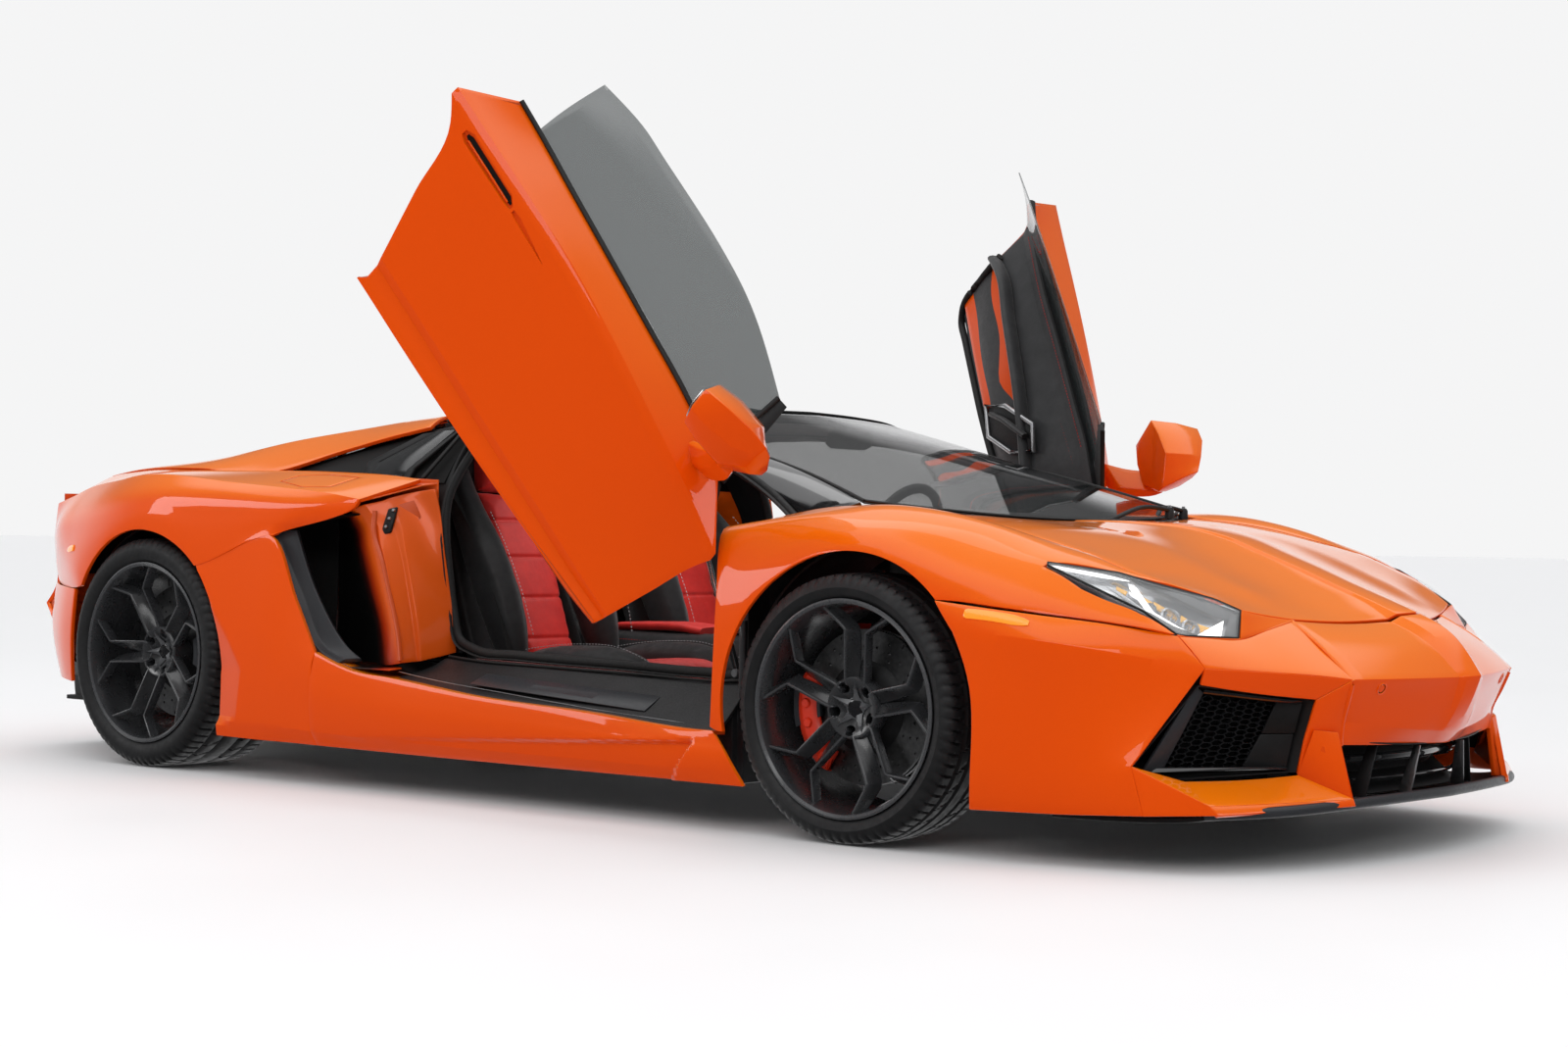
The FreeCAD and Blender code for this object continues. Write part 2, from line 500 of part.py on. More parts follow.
# ---------------------------------------------------------------- engine, subframes, axles
put("engine_block", box(-1430, -860, -290, 290, 190, 720).fuse(box(-1700, -1430, -140, 140, 200, 480)))
rsf = box(-1930, -740, 330, 390, 200, 270).fuse(box(-1930, -740, -390, -330, 200, 270)).fuse(box(-1930, -1870, -390, 390, 200, 270)).fuse(box(-800, -740, -390, 390, 200, 270))
for s in (1, -1):
    rsf = rsf.fuse(bar((-1440, s * 360, 235), (-1500, s * 700, 235), 40, 26)).fuse(bar((-1600, s * 360, 235), (-1510, s * 700, 235), 40, 26))
put("rear_subframe", rsf)
fsf = box(1004, 2060, 330, 380, 200, 270).fuse(box(1004, 2060, -380, -330, 200, 270)).fuse(box(2040, 2090, -500, 500, 200, 300))
for s in (1, -1):
    for z, dx in ((215, 120), (450, 90)):
        if z == 450:
            fsf = fsf.fuse(box(1150, 1250, s * 330, s * 380, 260, 470))
        fsf = fsf.fuse(bar((1200 - dx * 0.4, s * 360, z), (1196, s * 734, z), 34, 22)).fuse(bar((1200 + dx * 0.4, s * 360, z), (1204, s * 734, z), 34, 22))
fsf = fsf.cut(cyl(8, V(2040, -300, 225), X, 60))
put("front_subframe", fsf)

# wheel-arch liners
fl = tube(408, 400, V(FRONT_AXLE_X + 4, 560, 332), Y, 280).common(box(810, 1700, 500, 1000, 420, 760))
rl = tube(400, 392, V(REAR_AXLE_X, 640, 357), Y, 280).common(box(-2000, -1000, 500, 1100, 430, 790))
put("arch_liners", both(fl) + both(rl))


# ---------------------------------------------------------------- wheels
def ring(profile, centre):
    """Solid of revolution about the wheel axis; profile rows are (radius, y from the wheel centre)."""
    w = Part.makePolygon([V(centre.x + r, centre.y + y, centre.z) for r, y in profile + [profile[0]]])
    return Part.Face(w).revolve(centre, Y, 360)


def wheel(name, x, y, tyre_r, w, rim_r, s):
    c = V(x, y * s, tyre_r)
    h = w / 2
    tyre = ring([(rim_r - 8, -h + 22), (tyre_r - 34, -h), (tyre_r - 10, -h + 14), (tyre_r - 3, -h + 34), (tyre_r, -h * 0.4), (tyre_r, h * 0.4),
                 (tyre_r - 3, h - 34), (tyre_r - 10, h - 14), (tyre_r - 34, h), (rim_r - 8, h - 22)], c)
    put("tyre_" + name, tyre)
    b = h - 20
    barrel = ring([(rim_r - 24, -b), (rim_r - 9, -b), (rim_r - 9, b), (rim_r - 24, b)], c)
    face_y = s * (h - 48)
    hub = cyl(78, V(x, c.y + face_y - s * 46, tyre_r), Y * s, 46)
    rim = barrel.fuse(hub)
    for k in range(5):
        a = math.radians(90 + 72 * k)
        for d in (-0.30, 0.30):
            p0 = V(x + 60 * math.cos(a), c.y + face_y - s * 22, tyre_r + 60 * math.sin(a))
            r1 = rim_r - 14
            p1 = V(x + r1 * math.cos(a + d), c.y + face_y - s * 4, tyre_r + r1 * math.sin(a + d))
            dv = p1 - p0
            sp = Part.makeBox(30, 26, dv.Length, V(-15, -13, 0))
            rot = FreeCAD.Rotation(V(0, 0, 1), dv)
            sp.Placement = FreeCAD.Placement(p0, rot)
            rim = rim.fuse(sp)
    dr = rim_r - 76
    dy = c.y + s * (h - 140)
    disc = cyl(dr, V(x, dy, tyre_r), Y * s, 30).cut(cyl(dr * 0.55, V(x, dy, tyre_r), Y * s, 30))
    disc = disc.fuse(cyl(dr * 0.56, V(x, dy + s * 8, tyre_r), Y * s, abs((c.y + face_y - s * 46) - (dy + s * 8))))
    disc = disc.cut(cyl(62, V(x, dy - s * 1, tyre_r), Y * s, 16))
    put("rim_" + name, [rim, disc])
    return dr, dy


FR = {}
for name, x, y, tr, w, rr, s in (
    ("front_left", FRONT_AXLE_X, FRONT_WHEEL_Y, FRONT_TYRE_R, FRONT_TYRE_W, FRONT_RIM_R, 1),
    ("front_right", FRONT_AXLE_X, FRONT_WHEEL_Y, FRONT_TYRE_R, FRONT_TYRE_W, FRONT_RIM_R, -1),
    ("rear_left", REAR_AXLE_X, REAR_WHEEL_Y, REAR_TYRE_R, REAR_TYRE_W, REAR_RIM_R, 1),
    ("rear_right", REAR_AXLE_X, REAR_WHEEL_Y, REAR_TYRE_R, REAR_TYRE_W, REAR_RIM_R, -1),
):
    FR[name] = wheel(name, x, y, tr, w, rr, s)

# knuckles with calipers
for side, s in (("left", 1), ("right", -1)):
    dr, dy = FR["front_" + side]
    zc = FRONT_TYRE_R
    body = cyl(58, V(FRONT_AXLE_X, dy - s * 46, zc), Y * s, 44)
    post_ = box(FRONT_AXLE_X - 24, FRONT_AXLE_X + 24, s * (STEER_PIN_Y - 28), s * (STEER_PIN_Y + 6), 236, 430)
    body = body.fuse(post_)
    cal = tube(dr + 20, dr - 62, V(FRONT_AXLE_X, dy - s * 34, zc), Y * s, 82).cut(cyl(dr + 5, V(FRONT_AXLE_X, dy - s * 5, zc), Y * s, 40))
    wedge = prism([(FRONT_AXLE_X - 60, 0, zc), (FRONT_AXLE_X - 420, 0, zc + 190), (FRONT_AXLE_X - 420, 0, zc - 150)], Y, 1200)
    wedge.translate(V(0, -100 if s > 0 else -1100, 0))
    cal = cal.common(wedge)
    arm = bar((FRONT_AXLE_X - 20, s * (abs(dy) - 40), zc), (FRONT_AXLE_X - dr + 40, s * (abs(dy) - 22), zc), 60, 20)
    put("knuckle_front_" + side, [body.fuse(arm), cal.cut(arm)])
rk = []
for side, s in (("left", 1), ("right", -1)):
    dr, dy = FR["rear_" + side]
    zc = REAR_TYRE_R
    body = cyl(58, V(REAR_AXLE_X, dy - s * 46, zc), Y * s, 44).fuse(box(REAR_AXLE_X - 30, REAR_AXLE_X + 30, dy - s * 70, dy - s * 40, 215, 460))
    arm = bar((REAR_AXLE_X + 20, s * (abs(dy) - 40), zc), (REAR_AXLE_X + dr - 40, s * (abs(dy) - 22), zc), 60, 20)
    cal = tube(dr + 20, dr - 62, V(REAR_AXLE_X, dy - s * 34, zc), Y * s, 82).cut(cyl(dr + 5, V(REAR_AXLE_X, dy - s * 5, zc), Y * s, 40))
    wedge = prism([(REAR_AXLE_X + 60, 0, zc), (REAR_AXLE_X + 420, 0, zc + 190), (REAR_AXLE_X + 420, 0, zc - 150)], Y, 1200)
    wedge.translate(V(0, -100 if s > 0 else -1100, 0))
    shaft = cyl(22, V(REAR_AXLE_X, s * 150, zc), Y * s, abs(dy) - 70 - 150)
    rk += [body.fuse(arm).fuse(shaft), cal.common(wedge).cut(arm)]
put("rear_knuckles", rk)

# ---------------------------------------------------------------- cabin
dash = prism([(830, -545, 560), (960, -545, 600), (960, -545, 790), (700, -545, 748), (560, -545, 690), (580, -545, 600), (700, -545, 540)], Y, 1090)
for s in (1, -1):
    dash = dash.fuse(box(600, 770, s * 540, s * 700, 560, 700))
put("dashboard", [dash, bar((700, 365, 610), (480, 365, 700), 60, 60).cut(dash)])
cons = prism([(700, -115, 150), (700, -115, 530), (350, -115, 470), (-250, -115, 430), (-380, -115, 150)], Y, 230)
put("centre_console", cons)
SEAT_Y = 365
base = prism([(270, SEAT_Y - 240, 150), (270, SEAT_Y - 240, 330), (150, SEAT_Y - 240, 345), (-250, SEAT_Y - 240, 270), (-420, SEAT_Y - 240, 330), (-560, SEAT_Y - 240, 900), (-620, SEAT_Y - 240, 900), (-560, SEAT_Y - 240, 300), (-420, SEAT_Y - 240, 150)], Y, 480)
put("seats", both(base))
sw_c = V(400, 365, 735)
sw_axis = V(-0.92, 0, 0.39)
rimw = Part.makeTorus(172, 15, sw_c, sw_axis)
hubw = cyl(45, sw_c - sw_axis * 30, sw_axis, 50)
for a in (0, 180, 270):
    d = FreeCAD.Rotation(sw_axis, a).multVec(Y)
    hubw = hubw.fuse(bar(tuple(sw_c + d * 30), tuple(sw_c + d * 170), 30, 12))
put("steering_wheel", rimw.fuse(hubw))

bad = [r for r in REPORT if r[3]]
print("nodes", len(REPORT), "bad", bad)
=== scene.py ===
import bpy
import json
import math
import random
import numpy as np
from mathutils import Matrix, Quaternion, Vector

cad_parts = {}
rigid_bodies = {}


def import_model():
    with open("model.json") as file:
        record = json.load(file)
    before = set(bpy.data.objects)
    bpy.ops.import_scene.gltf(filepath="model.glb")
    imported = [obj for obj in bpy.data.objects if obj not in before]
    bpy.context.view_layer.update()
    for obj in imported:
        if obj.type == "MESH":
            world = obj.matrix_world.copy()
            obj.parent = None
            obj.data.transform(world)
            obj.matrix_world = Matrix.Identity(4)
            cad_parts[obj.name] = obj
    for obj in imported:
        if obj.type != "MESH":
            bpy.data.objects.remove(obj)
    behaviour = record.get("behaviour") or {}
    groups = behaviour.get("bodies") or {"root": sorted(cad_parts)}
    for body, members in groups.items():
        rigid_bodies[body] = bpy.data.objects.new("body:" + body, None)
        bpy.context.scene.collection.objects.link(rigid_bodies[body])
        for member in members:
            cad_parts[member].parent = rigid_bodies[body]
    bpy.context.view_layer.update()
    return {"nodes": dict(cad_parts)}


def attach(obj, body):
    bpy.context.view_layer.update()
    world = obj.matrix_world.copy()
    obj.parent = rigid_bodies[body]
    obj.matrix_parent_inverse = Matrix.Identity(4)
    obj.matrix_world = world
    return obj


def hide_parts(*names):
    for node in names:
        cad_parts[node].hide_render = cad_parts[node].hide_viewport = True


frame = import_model()
nodes = frame["nodes"]
C = bpy.context


# ------------------------------------------------------------------ materials
def lin(c):
    return [(v / 12.92 if v <= 0.04045 else ((v + 0.055) / 1.055) ** 2.4) for v in c]


class Mat:
    """Small node-graph builder around one Principled BSDF."""

    def __init__(self, name, color, rough=0.5, metal=0.0, **kw):
        self.m = bpy.data.materials.new(name)
        self.m.use_nodes = True
        self.t = self.m.node_tree
        self.b = self.t.nodes["Principled BSDF"]
        self.out = self.t.nodes["Material Output"]
        self.b.inputs["Base Color"].default_value = (*color, 1)
        self.b.inputs["Roughness"].default_value = rough
        self.b.inputs["Metallic"].default_value = metal
        for k, v in kw.items():
            s = self.b.inputs[k.replace("_", " ")]
            s.default_value = v
        self.m.diffuse_color = (*color, 1)

    def n(self, kind, **kw):
        x = self.t.nodes.new(kind)
        for k, v in kw.items():
            if k.startswith("in_"):
                key = k[3:]
                x.inputs[int(key) if key.isdigit() else key.replace("_", " ")].default_value = v
            else:
                setattr(x, k, v)
        return x

    def l(self, a, b):
        self.t.links.new(a, b)

    def coord(self, scale=(1, 1, 1)):
        tc = self.n("ShaderNodeTexCoord")
        mp = self.n("ShaderNodeMapping")
        mp.inputs["Scale"].default_value = scale
        self.l(tc.outputs["Object"], mp.inputs["Vector"])
        return mp.outputs["Vector"]

    def noise(self, scale=10.0, detail=4.0, rough=0.55, stretch=(1, 1, 1)):
        x = self.n("ShaderNodeTexNoise")
        x.inputs["Scale"].default_value = scale
        x.inputs["Detail"].default_value = detail
        x.inputs["Roughness"].default_value = rough
        self.l(self.coord(stretch), x.inputs["Vector"])
        return x.outputs["Fac"]

    def ramp(self, fac, stops):
        r = self.n("ShaderNodeValToRGB")
        e = r.color_ramp.elements
        while len(e) < len(stops):
            e.new(0.5)
        for el, (p, c) in zip(e, stops):
            el.position = p
            el.color = (*c, 1) if len(c) == 3 else c
        self.l(fac, r.inputs["Fac"])
        return r.outputs["Color"]

    def rangemap(self, fac, a, b, c, d):
        r = self.n("ShaderNodeMapRange")
        for k, v in zip(("From Min", "From Max", "To Min", "To Max"), (a, b, c, d)):
            r.inputs[k].default_value = v
        self.l(fac, r.inputs["Value"])
        return r.outputs["Result"]

    def bump(self, h, strength=0.2, dist=0.001, to="Normal"):
        x = self.n("ShaderNodeBump")
        x.inputs["Strength"].default_value = strength
        x.inputs["Distance"].default_value = dist
        self.l(h, x.inputs["Height"])
        self.l(x.outputs["Normal"], self.b.inputs[to])
        return self

    def rough(self, fac, lo, hi):
        self.l(self.rangemap(fac, 0.3, 0.7, lo, hi), self.b.inputs["Roughness"])
        return self

    def col(self, fac, stops):
        self.l(self.ramp(fac, stops), self.b.inputs["Base Color"])
        return self


M = {}


def make_materials():
    # pearl orange body paint under a clear coat: flakes as cells of randomly varied tone; the base colour is painted
    # lighter and yellower on surfaces that face up and deeper red on those that face down, as painted top light and
    # shade
    p = Mat("paint_orange", (0.90, 0.10, 0.001), 0.38, 0.0, Coat_Weight=0.85, Coat_Roughness=0.02, Coat_IOR=1.5, Specular_Tint=(1.0, 0.42, 0.20, 1), Specular_IOR_Level=0.18)
    vor = p.n("ShaderNodeTexVoronoi")
    vor.inputs["Scale"].default_value = 1400.0
    p.l(p.coord(), vor.inputs["Vector"])
    # base colour by how far the normal points up: painted top light
    geo = p.n("ShaderNodeNewGeometry")
    nz = p.n("ShaderNodeSeparateXYZ")
    p.l(geo.outputs["Normal"], nz.inputs[0])
    face = p.ramp(p.rangemap(nz.outputs["Z"], -0.2, 0.95, 0.0, 1.0), [(0.0, (0.82, 0.072, 0.0008)), (0.35, (0.88, 0.088, 0.0008)), (1.0, (1.0, 0.225, 0.0015))])
    mixc = p.n("ShaderNodeMix", data_type="RGBA", blend_type="MULTIPLY")
    mixc.inputs["Factor"].default_value = 0.22
    p.l(face, mixc.inputs[6])
    p.l(p.ramp(vor.outputs["Color"], [(0.0, (0.72, 0.66, 0.6)), (1.0, (1, 1, 1))]), mixc.inputs[7])
    p.l(mixc.outputs[2], p.b.inputs["Base Color"])
    p.rough(p.noise(900, 2), 0.30, 0.40)
    p.bump(p.noise(7.0, 2, 0.4), 0.02, 0.004, "Coat Normal")
    M["paint"] = p.m
    # inner flange paint: the body hue with a darker base colour, a shaded copy of the body paint as painted shade on
    # inward-turned surfaces, and a thinner clear coat
    q = Mat("paint_inner", (0.60, 0.07, 0.004), 0.42, 0.1, Coat_Weight=0.35, Coat_Roughness=0.2)
    q.rough(q.noise(60, 4), 0.36, 0.5).bump(q.noise(300, 3), 0.06, 0.0006)
    M["paint_inner"] = q.m
    g = Mat("black_gloss", (0.0075, 0.0075, 0.0085), 0.12, 0.0, Coat_Weight=1.0, Coat_Roughness=0.03)
    g.rough(g.noise(35, 3), 0.09, 0.16).bump(g.noise(9, 2), 0.015, 0.003)
    M["black_gloss"] = g.m
    b = Mat("black_plastic", (0.018, 0.018, 0.02), 0.5)
    b.rough(b.noise(220, 4), 0.42, 0.6).bump(b.noise(1400, 3), 0.16, 0.0004)
    b.col(b.noise(14, 3), [(0.3, (0.0065, 0.0065, 0.007)), (0.7, (0.012, 0.012, 0.013))])
    M["black_plastic"] = b.m
    s = Mat("satin_grey", (0.030, 0.032, 0.036), 0.36)
    s.rough(s.noise(120, 4), 0.32, 0.46).bump(s.noise(900, 3), 0.1, 0.0004)
    M["satin_grey"] = s.m
    # near-black matte sheet set inside openings, slots, gaps and recesses where there is only shade: painted shade
    v = Mat("void_black", (0.003, 0.003, 0.003), 0.8)
    v.bump(v.noise(200, 3), 0.2, 0.001)
    M["painted_shade"] = v.m
    # carbon fibre weave
    c = Mat("carbon", (0.02, 0.02, 0.022), 0.32, 0.2, Coat_Weight=0.8, Coat_Roughness=0.08)
    chk = c.n("ShaderNodeTexChecker")
    chk.inputs["Scale"].default_value = 420.0
    chk.inputs["Color1"].default_value = (0.012, 0.012, 0.014, 1)
    chk.inputs["Color2"].default_value = (0.035, 0.035, 0.038, 1)
    c.l(c.coord((1, 1, 1)), chk.inputs["Vector"])
    c.l(chk.outputs["Color"], c.b.inputs["Base Color"])
    c.bump(chk.outputs["Fac"], 0.25, 0.0004)
    M["carbon"] = c.m
    r = Mat("rubber", (0.012, 0.012, 0.012), 0.62)
    r.rough(r.noise(150, 4), 0.52, 0.72).bump(r.noise(700, 3), 0.2, 0.0006)
    M["rubber"] = r.m
    t = Mat("tyre_rubber", (0.016, 0.016, 0.017), 0.6)
    t.rough(t.noise(60, 5), 0.46, 0.68)
    t.col(t.noise(18, 4), [(0.3, (0.0075, 0.0075, 0.0085)), (0.7, (0.014, 0.014, 0.015))])
    t.bump(t.noise(500, 4), 0.18, 0.0007)
    M["tyre"] = t.m
    w = Mat("rim_black", (0.014, 0.0145, 0.016), 0.30, 0.0, Coat_Weight=0.7, Coat_Roughness=0.16, Specular_IOR_Level=0.7)
    # base colour by Pointiness: painted highlight on the convex ridges and painted shade in the hollows
    ridge_light_shade = w.n("ShaderNodeNewGeometry")
    w.col(ridge_light_shade.outputs["Pointiness"], [(0.0, (0.004, 0.004, 0.0045)), (0.49, (0.012, 0.0125, 0.0135)), (0.54, (0.040, 0.041, 0.044)), (0.62, (0.085, 0.087, 0.092))])
    w.rough(w.noise(45, 3), 0.24, 0.34).bump(w.noise(240, 3), 0.02, 0.0005)
    M["rim"] = w.m
    i = Mat("disc_iron", (0.26, 0.26, 0.265), 0.36, 1.0)
    i.col(i.noise(90, 4), [(0.25, (0.20, 0.20, 0.205)), (0.75, (0.33, 0.33, 0.335))])
    i.rough(i.noise(200, 4), 0.28, 0.46)
    i.bump(i.noise(480, 3), 0.12, 0.0004)
    M["iron"] = i.m
    cal = Mat("caliper_red", (0.78, 0.035, 0.008), 0.32, 0.0, Coat_Weight=0.7, Coat_Roughness=0.12)
    cal.rough(cal.noise(90, 3), 0.28, 0.4).bump(cal.noise(420, 3), 0.08, 0.0005)
    M["caliper"] = cal.m
    a = Mat("alloy", (0.46, 0.46, 0.47), 0.34, 1.0)
    a.rough(a.noise(160, 4), 0.26, 0.44).bump(a.noise(800, 3), 0.08, 0.0003)
    a.col(a.noise(25, 3), [(0.3, (0.38, 0.38, 0.39)), (0.7, (0.54, 0.54, 0.55))])
    M["alloy"] = a.m
    st = Mat("steel", (0.55, 0.55, 0.56), 0.24, 1.0)
    st.rough(st.noise(260, 4, stretch=(1, 14, 1)), 0.18, 0.34)
    M["steel"] = st.m
    ch = Mat("chrome", (0.82, 0.82, 0.83), 0.06, 1.0)
    ch.rough(ch.noise(60, 3), 0.04, 0.1)
    M["chrome"] = ch.m
    # leather
    for nm, base, hi in (("leather_black", (0.012, 0.012, 0.0125), (0.024, 0.024, 0.025)), ("leather_red", (0.52, 0.010, 0.007), (0.66, 0.020, 0.012)), ("leather_grey", (0.030, 0.031, 0.033), (0.045, 0.046, 0.048))):
        le = Mat(nm, base, 0.5, 0.0, Sheen_Weight=0.12)
        vo = le.n("ShaderNodeTexVoronoi", feature="DISTANCE_TO_EDGE")
        vo.inputs["Scale"].default_value = 520.0
        le.l(le.coord(), vo.inputs["Vector"])
        le.col(le.noise(22, 5), [(0.3, base), (0.72, hi)])
        le.rough(le.noise(70, 4), 0.40, 0.58)
        le.bump(vo.outputs["Distance"], 0.35, 0.0006)
        M[nm] = le.m
    cp = Mat("carpet_red", (0.20, 0.006, 0.006), 0.95, 0.0, Sheen_Weight=0.4)
    cp.col(cp.noise(420, 3), [(0.3, (0.10, 0.003, 0.003)), (0.7, (0.30, 0.010, 0.008))])
    cp.bump(cp.noise(900, 4), 0.8, 0.003)
    M["carpet_red"] = cp.m
    cb = Mat("carpet_black", (0.012, 0.012, 0.012), 0.95, 0.0, Sheen_Weight=0.3)
    cb.col(cb.noise(420, 3), [(0.3, (0.006, 0.006, 0.006)), (0.7, (0.022, 0.022, 0.022))])
    cb.bump(cb.noise(900, 4), 0.8, 0.003)
    M["carpet_black"] = cb.m
    th = Mat("thread_red", (0.62, 0.012, 0.010), 0.6)
    th.bump(th.noise(2600, 2), 0.4, 0.0004)
    M["thread"] = th.m
    # glass
    for nm, col, al in (("glass_side", (0.050, 0.066, 0.066), 0.60), ("glass_screen", (0.030, 0.033, 0.034), 0.60), ("glass_dark", (0.006, 0.007, 0.008), 0.86), ("glass_quarter", (0.008, 0.009, 0.010), 0.72)):
        gl = Mat(nm, col, 0.02, 0.0, Alpha=al, Coat_Weight=1.0, Coat_Roughness=0.01, Specular_IOR_Level=0.9)
        gl.rough(gl.noise(6, 2), 0.012, 0.03)
        gl.m.surface_render_method = "BLENDED" if hasattr(gl.m, "surface_render_method") else None
        M[nm] = gl.m
    lc = Mat("lens_clear", (0.85, 0.87, 0.88), 0.01, 0.0, Alpha=0.13, Coat_Weight=1.0, Coat_Roughness=0.01, Specular_IOR_Level=1.0)
    lc.rough(lc.noise(5, 2), 0.008, 0.02)
    M["lens"] = lc.m
    lr = Mat("lens_red", (0.30, 0.004, 0.004), 0.08, 0.0, Alpha=0.38, Coat_Weight=1.0, Coat_Roughness=0.02)
    lr.rough(lr.noise(40, 2), 0.05, 0.12)
    M["lens_red"] = lr.m
    la = Mat("lens_amber", (0.95, 0.30, 0.02), 0.14, 0.0, Coat_Weight=1.0, Coat_Roughness=0.03, Emission_Color=(1.0, 0.34, 0.03, 1), Emission_Strength=0.25)
    la.rough(la.noise(300, 2), 0.1, 0.2).bump(la.noise(260, 1), 0.3, 0.002)
    M["amber"] = la.m
    le = Mat("led_white", (0.95, 0.95, 0.95), 0.3, 0.0, Emission_Color=(1, 1, 1, 1), Emission_Strength=1.6)
    le.rough(le.noise(80, 2), 0.25, 0.4)
    M["led"] = le.m
    lr2 = Mat("led_red", (0.6, 0.02, 0.02), 0.3, 0.0, Emission_Color=(1, 0.03, 0.02, 1), Emission_Strength=2.2)
    lr2.rough(lr2.noise(80, 2), 0.25, 0.4)
    M["led_red"] = lr2.m
    mi = Mat("mirror_glass", (0.82, 0.84, 0.86), 0.02, 1.0)
    mi.rough(mi.noise(4, 2), 0.01, 0.03)
    M["mirror"] = mi.m
    pl = Mat("plate_blank", (0.72, 0.72, 0.72), 0.35, 0.2)
    pl.rough(pl.noise(50, 3), 0.3, 0.42).bump(pl.noise(300, 2), 0.05, 0.0004)
    M["plate"] = pl.m


make_materials()


# ------------------------------------------------------------------ mesh helpers (metres, frame coordinates)
def refine(P, n, crease=()):
    """Cubic interpolation through control rows; the direction may break at crease indices; a span between two creases is straight."""
    P = np.asarray(P, float)
    k = len(P)
    F = P.reshape(k, -1, 3)
    h = np.maximum(np.linalg.norm(F[1:] - F[:-1], axis=2).mean(axis=1), 1e-6)
    D = (F[1:] - F[:-1]) / h[:, None, None]
    T = [None] * k
    for i in range(1, k - 1):
        if i not in crease:
            T[i] = (h[i] * D[i - 1] + h[i - 1] * D[i]) / (h[i - 1] + h[i])
    ns = list(n) if hasattr(n, "__len__") else [n] * (k - 1)
    out = []
    for i in range(k - 1):
        a, b = T[i], T[i + 1]
        if a is None and b is None:
            a = b = D[i]
        elif a is None:
            a = (3 * D[i] - b) / 2
        elif b is None:
            b = (3 * D[i] - a) / 2
        for s in range(ns[i]):
            t = s / ns[i]
            out.append((2 * t**3 - 3 * t**2 + 1) * F[i] + (t**3 - 2 * t**2 + t) * h[i] * a + (-2 * t**3 + 3 * t**2) * F[i + 1] + (t**3 - t**2) * h[i] * b)
    out.append(F[-1])
    out = np.array(out)
    return out if P.ndim == 3 else out[:, 0]


def grid_normals(Q):
    du = np.gradient(Q, axis=0)
    dv = np.gradient(Q, axis=1)
    N = np.cross(du, dv)
    L = np.linalg.norm(N, axis=2, keepdims=True)
    return N / np.maximum(L, 1e-12)


def patch(rows, nu=6, nv=4, cu=(), cv=(), crown=None, ref=None):
    """Dense surface from a table of control points in mm. crown = {span: mm} bulges a span that is straight across."""
    P = np.array(rows, float) / 1000.0
    P = refine(P, nu, cu)
    nvs = list(nv) if hasattr(nv, "__len__") else [nv] * (P.shape[1] - 1)
    Q = refine(P.transpose(1, 0, 2), nvs, cv).transpose(1, 0, 2)
    if crown:
        N = grid_normals(Q)
        if ref is not None:
            s = np.sign(((Q - np.array(ref) / 1000.0) * N).sum(axis=2).mean())
            N = N * (s if s else 1)
        start = np.concatenate([[0], np.cumsum(nvs)])
        for span, mm in crown.items():
            a, b = start[span], start[span + 1]
            for j in range(a, b + 1):
                t = (j - a) / (b - a)
                Q[:, j] += N[:, j] * (mm / 1000.0) * 4 * t * (1 - t)
    return Q


def inset(Q, u0=0.0, u1=0.0, v0=0.0, v1=0.0):
    """Pull the borders of a surface back by so many metres, which opens the shut lines."""
    Q = Q.copy()

    def pull(a, b, d):
        v = b - a
        L = np.linalg.norm(v, axis=-1, keepdims=True)
        return a + v / np.maximum(L, 1e-9) * np.minimum(d, L * 0.6)

    if u0:
        Q[0] = pull(Q[0], Q[1], u0)
    if u1:
        Q[-1] = pull(Q[-1], Q[-2], u1)
    if v0:
        Q[:, 0] = pull(Q[:, 0], Q[:, 1], v0)
    if v1:
        Q[:, -1] = pull(Q[:, -1], Q[:, -2], v1)
    return Q


def mirror_y(Q):
    Q = Q.copy()
    Q[..., 1] *= -1
    return Q


def full(Q):
    """Left half, first column on the centre line, to the full width."""
    return np.concatenate([mirror_y(Q)[:, :0:-1], Q], axis=1)


def new_obj(name, verts, faces, mat=None, smooth=35.0):
    me = bpy.data.meshes.new(name)
    me.from_pydata([tuple(v) for v in verts], [], [tuple(int(i) for i in f) for f in faces])
    me.update()
    o = bpy.data.objects.new(name, me)
    C.scene.collection.objects.link(o)
    if mat is not None:
        o.data.materials.append(M[mat] if isinstance(mat, str) else mat)
    return o


def shade(o, deg=35.0):
    me = o.data
    me.polygons.foreach_set("use_smooth", [True] * len(me.polygons))
    if deg < 180:
        me.set_sharp_from_angle(angle=math.radians(deg))
    me.update()
    return o


def bake(o):
    dg = C.evaluated_depsgraph_get()
    ev = o.evaluated_get(dg)
    me = bpy.data.meshes.new_from_object(ev, preserve_all_data_layers=True, depsgraph=dg)
    old = o.data
    o.modifiers.clear()
    o.data = me
    me.name = o.name
    if old.users == 0:
        bpy.data.meshes.remove(old)
    return o


def thin(o, ratio):
    """Fewer triangles where the surface is plain; sewn lines and tread edges keep theirs."""
    m = o.modifiers.new("thin", "DECIMATE")
    m.ratio = ratio
    bake(o)
    return o


def orient(Q, ref):
    """True when the grid's own normals point away from ref."""
    N = grid_normals(Q)
    return (((Q - np.array(ref) / 1000.0) * N).sum(axis=2)).mean() > 0


def grid_obj(name, Q, mat, ref):
    nu, nv = Q.shape[:2]
    out = orient(Q, ref)
    faces = []
    for i in range(nu - 1):
        for j in range(nv - 1):
            a, b, c, d = i * nv + j, (i + 1) * nv + j, (i + 1) * nv + j + 1, i * nv + j + 1
            faces.append((a, b, c, d) if out else (a, d, c, b))
    return new_obj(name, Q.reshape(-1, 3), faces, mat)


